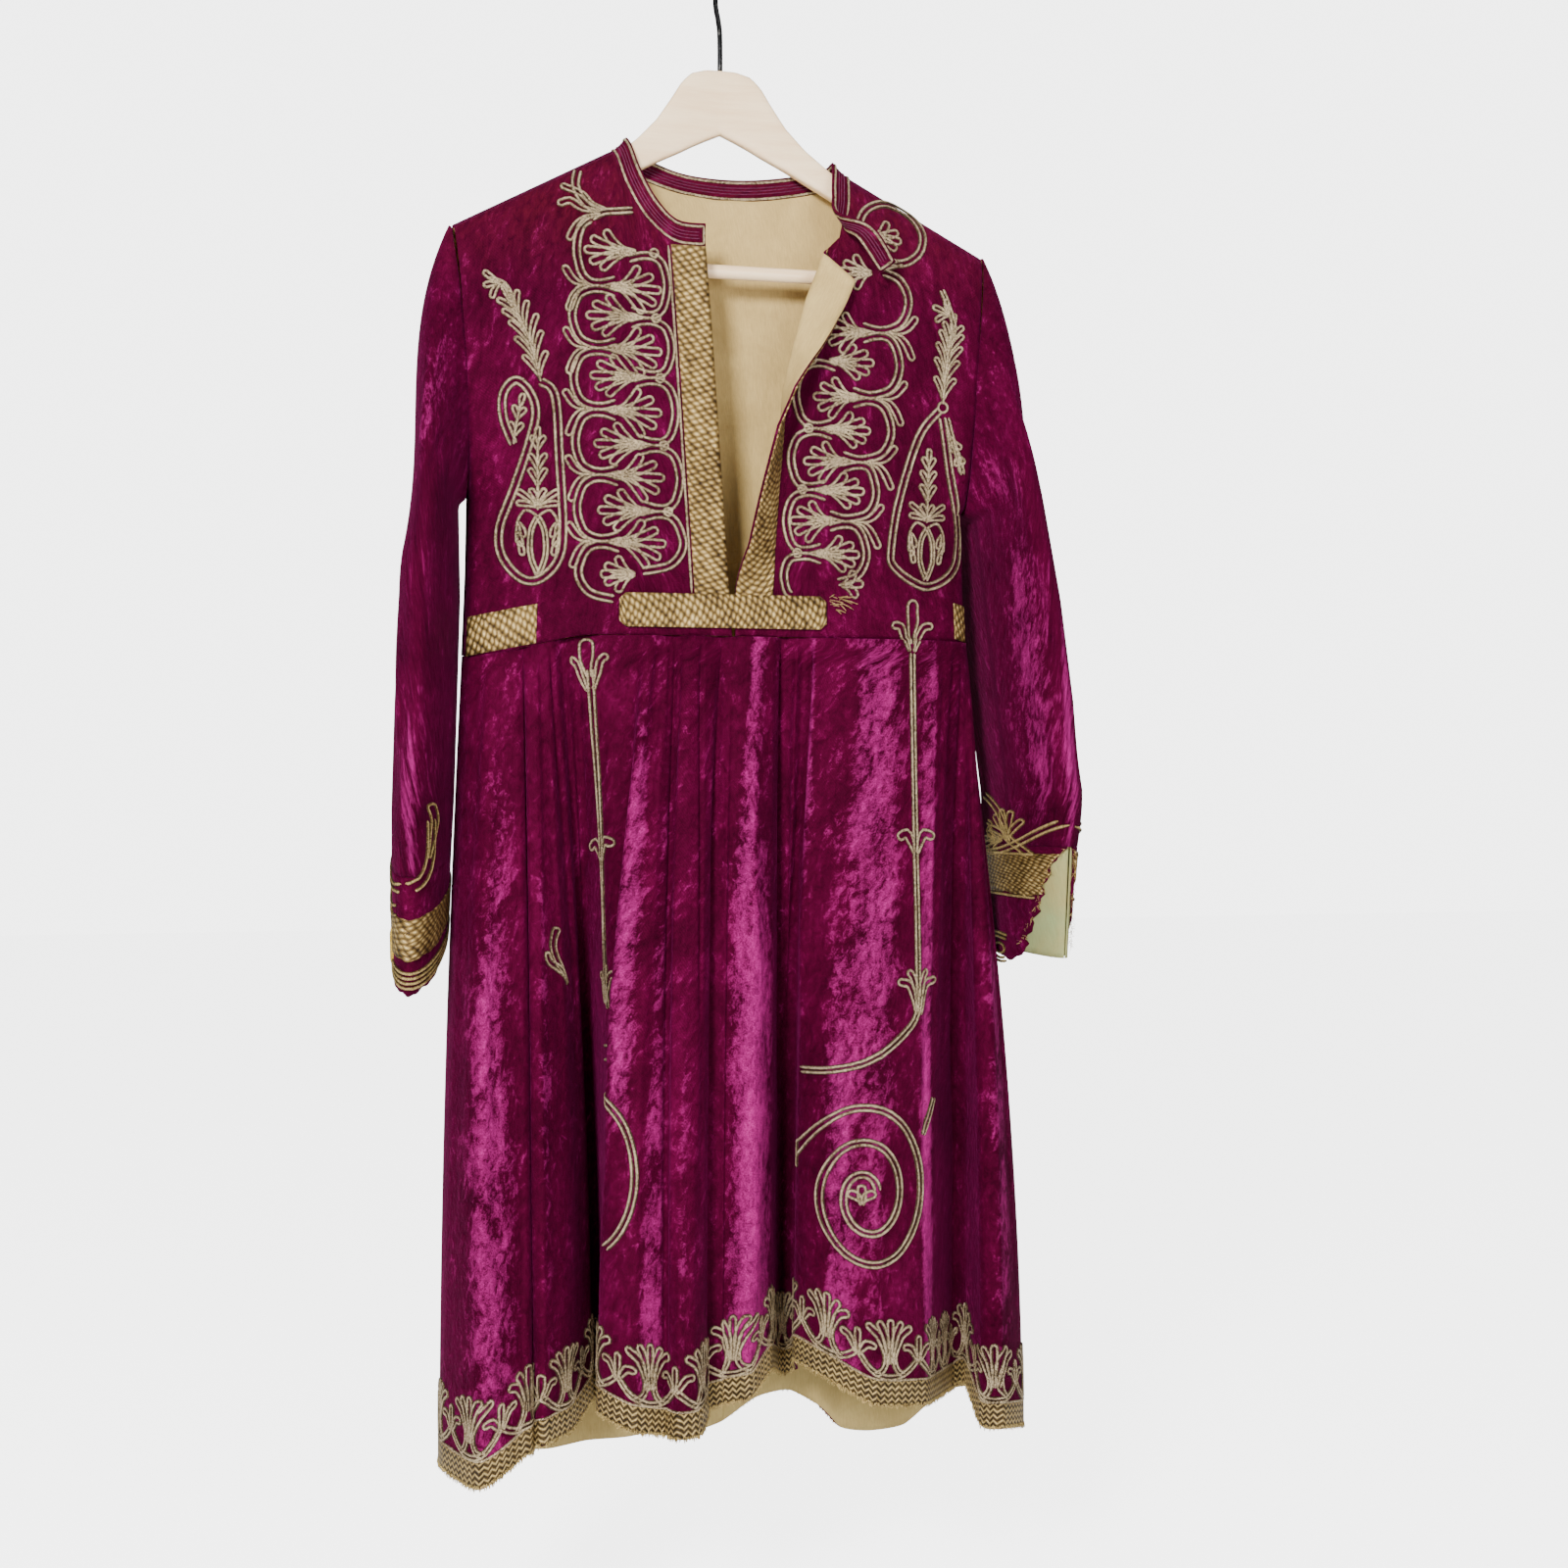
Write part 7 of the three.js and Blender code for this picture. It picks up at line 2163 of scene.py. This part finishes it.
def main() -> None:
    """Builds the robe, its hanger and the room, in order."""
    logging.basicConfig(level=logging.INFO, format="%(name)s %(message)s")
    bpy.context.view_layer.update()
    finishes = Finishes()
    Studio().build()
    body = Body()
    bodice = Bodice(body, finishes)
    bodice.build()
    skirt = Skirt(body, finishes)
    skirt.build()
    sleeves = {
        Side.RIGHT: Sleeve(
            body, finishes, Side.RIGHT,
            ((-432, -225, 85, 16, 9, 0), (-500, -228, 80, 19, 12, 0), (-580, -231.5, 75, 20, 13, 0.03),
             (-660, -234, 68, 20, 14, 0.12), (-700, -235, 65, 19, 14, 0.2), (-771, -236, 58, 17, 14, 0.5)),
            -700.0, math.pi * 1.5,
            (Crease((2.2, 0.25), (1.9, 0.8), 3.0, 0.16), Crease((1.2, 0.5), (1.7, 1.05), -3.0, 0.14),
             Crease((1.2, 1.28), (2.6, 1.1), 2.6, 0.06), Crease((1.4, 1.4), (2.4, 1.6), -2.6, 0.1),
             Crease((2.4, 1.2), (2.0, 1.5), 2.4, 0.12), Crease((4.2, 0.4), (4.6, 1.2), 3.0, 0.2),
             Crease((5.2, 0.8), (4.8, 1.6), -2.6, 0.2), Crease((1.0, 1.7), (2.2, 1.5), 2.0, 0.06)),
            # crush marks: partly flattened pile, partly painted highlight
            (Crease((1.9, 0.2), (2.0, 0.9), 0.25, 0.3), Crease((1.5, 1.5), (1.6, 1.75), 0.4, 0.3),
             Crease((4.4, 0.3), (4.6, 1.5), 0.35, 0.4)),
            ((0, 0.06, 0.06), (0.5, 0.12, 0.1), (1, 0.3, 0.2)),
            ((0, 0.9), (0.3, 0.97), (0.6, 0.99), (0.8, 0.96), (1, 0.98)), (0.35, 0.7), 0.93,
            (0.26, 0.07), (0.26, 0.066), 0.012),
        Side.LEFT: Sleeve(
            body, finishes, Side.LEFT,
            ((-432, 230, 83, 16, -5, 0), (-500, 241, 79, 19, -7, 0), (-580, 252, 75, 20, -8, 0),
             (-650, 259, 71, 19, -9, 0), (-695, 258, 67, 19, -9, 0), (-793, 258, 60, 14, -8, 0.06)),
            -695.0, math.pi * 0.5,
            (Crease((2.1, 0.3), (2.5, 0.9), -3.0, 0.16), Crease((1.3, 0.4), (1.1, 1.1), 3.0, 0.16),
             Crease((1.0, 1.2), (1.9, 1.62), -3.0, 0.12), Crease((1.2, 1.5), (2.2, 1.68), 2.6, 0.08),
             Crease((0.7, 1.3), (1.2, 1.6), 2.2, 0.12), Crease((4.0, 0.5), (4.6, 1.3), -3.0, 0.2),
             Crease((5.0, 1.0), (5.4, 1.7), 2.6, 0.2)),
            # crush marks: partly flattened pile, partly painted highlight
            (Crease((0.9, 0.2), (1.0, 0.9), 0.2, 0.4), Crease((0.6, 1.1), (0.9, 1.6), 0.4, 0.4),
             Crease((1.5, 1.35), (1.7, 1.62), 0.6, 0.3), Crease((4.4, 0.3), (4.6, 1.5), 0.35, 0.4)),
            ((0, 0.07, 0.06), (0.09, 0.2, 0.5), (0.37, 0.28, 0.8), (0.5, 0.2, 0.85), (0.7, 0.25, 1.05),
             (0.85, 0.4, 1.2), (1, 0.5, 1.3)),
            ((0, 0.56), (0.05, 0.62), (0.12, 0.84), (0.2, 0.92), (0.85, 0.93), (0.95, 0.95), (1, 0.9)),
            (0.06, 0.42), 0.87, (0.21, 0.09), (0.27, 0.085), 0.012),
    }
    for sleeve in sleeves.values():
        sleeve.build()
    Embroidery(body, bodice, skirt, sleeves, finishes).build()
    Hanger(body, finishes).build()


if __name__ == "__main__":
    main()
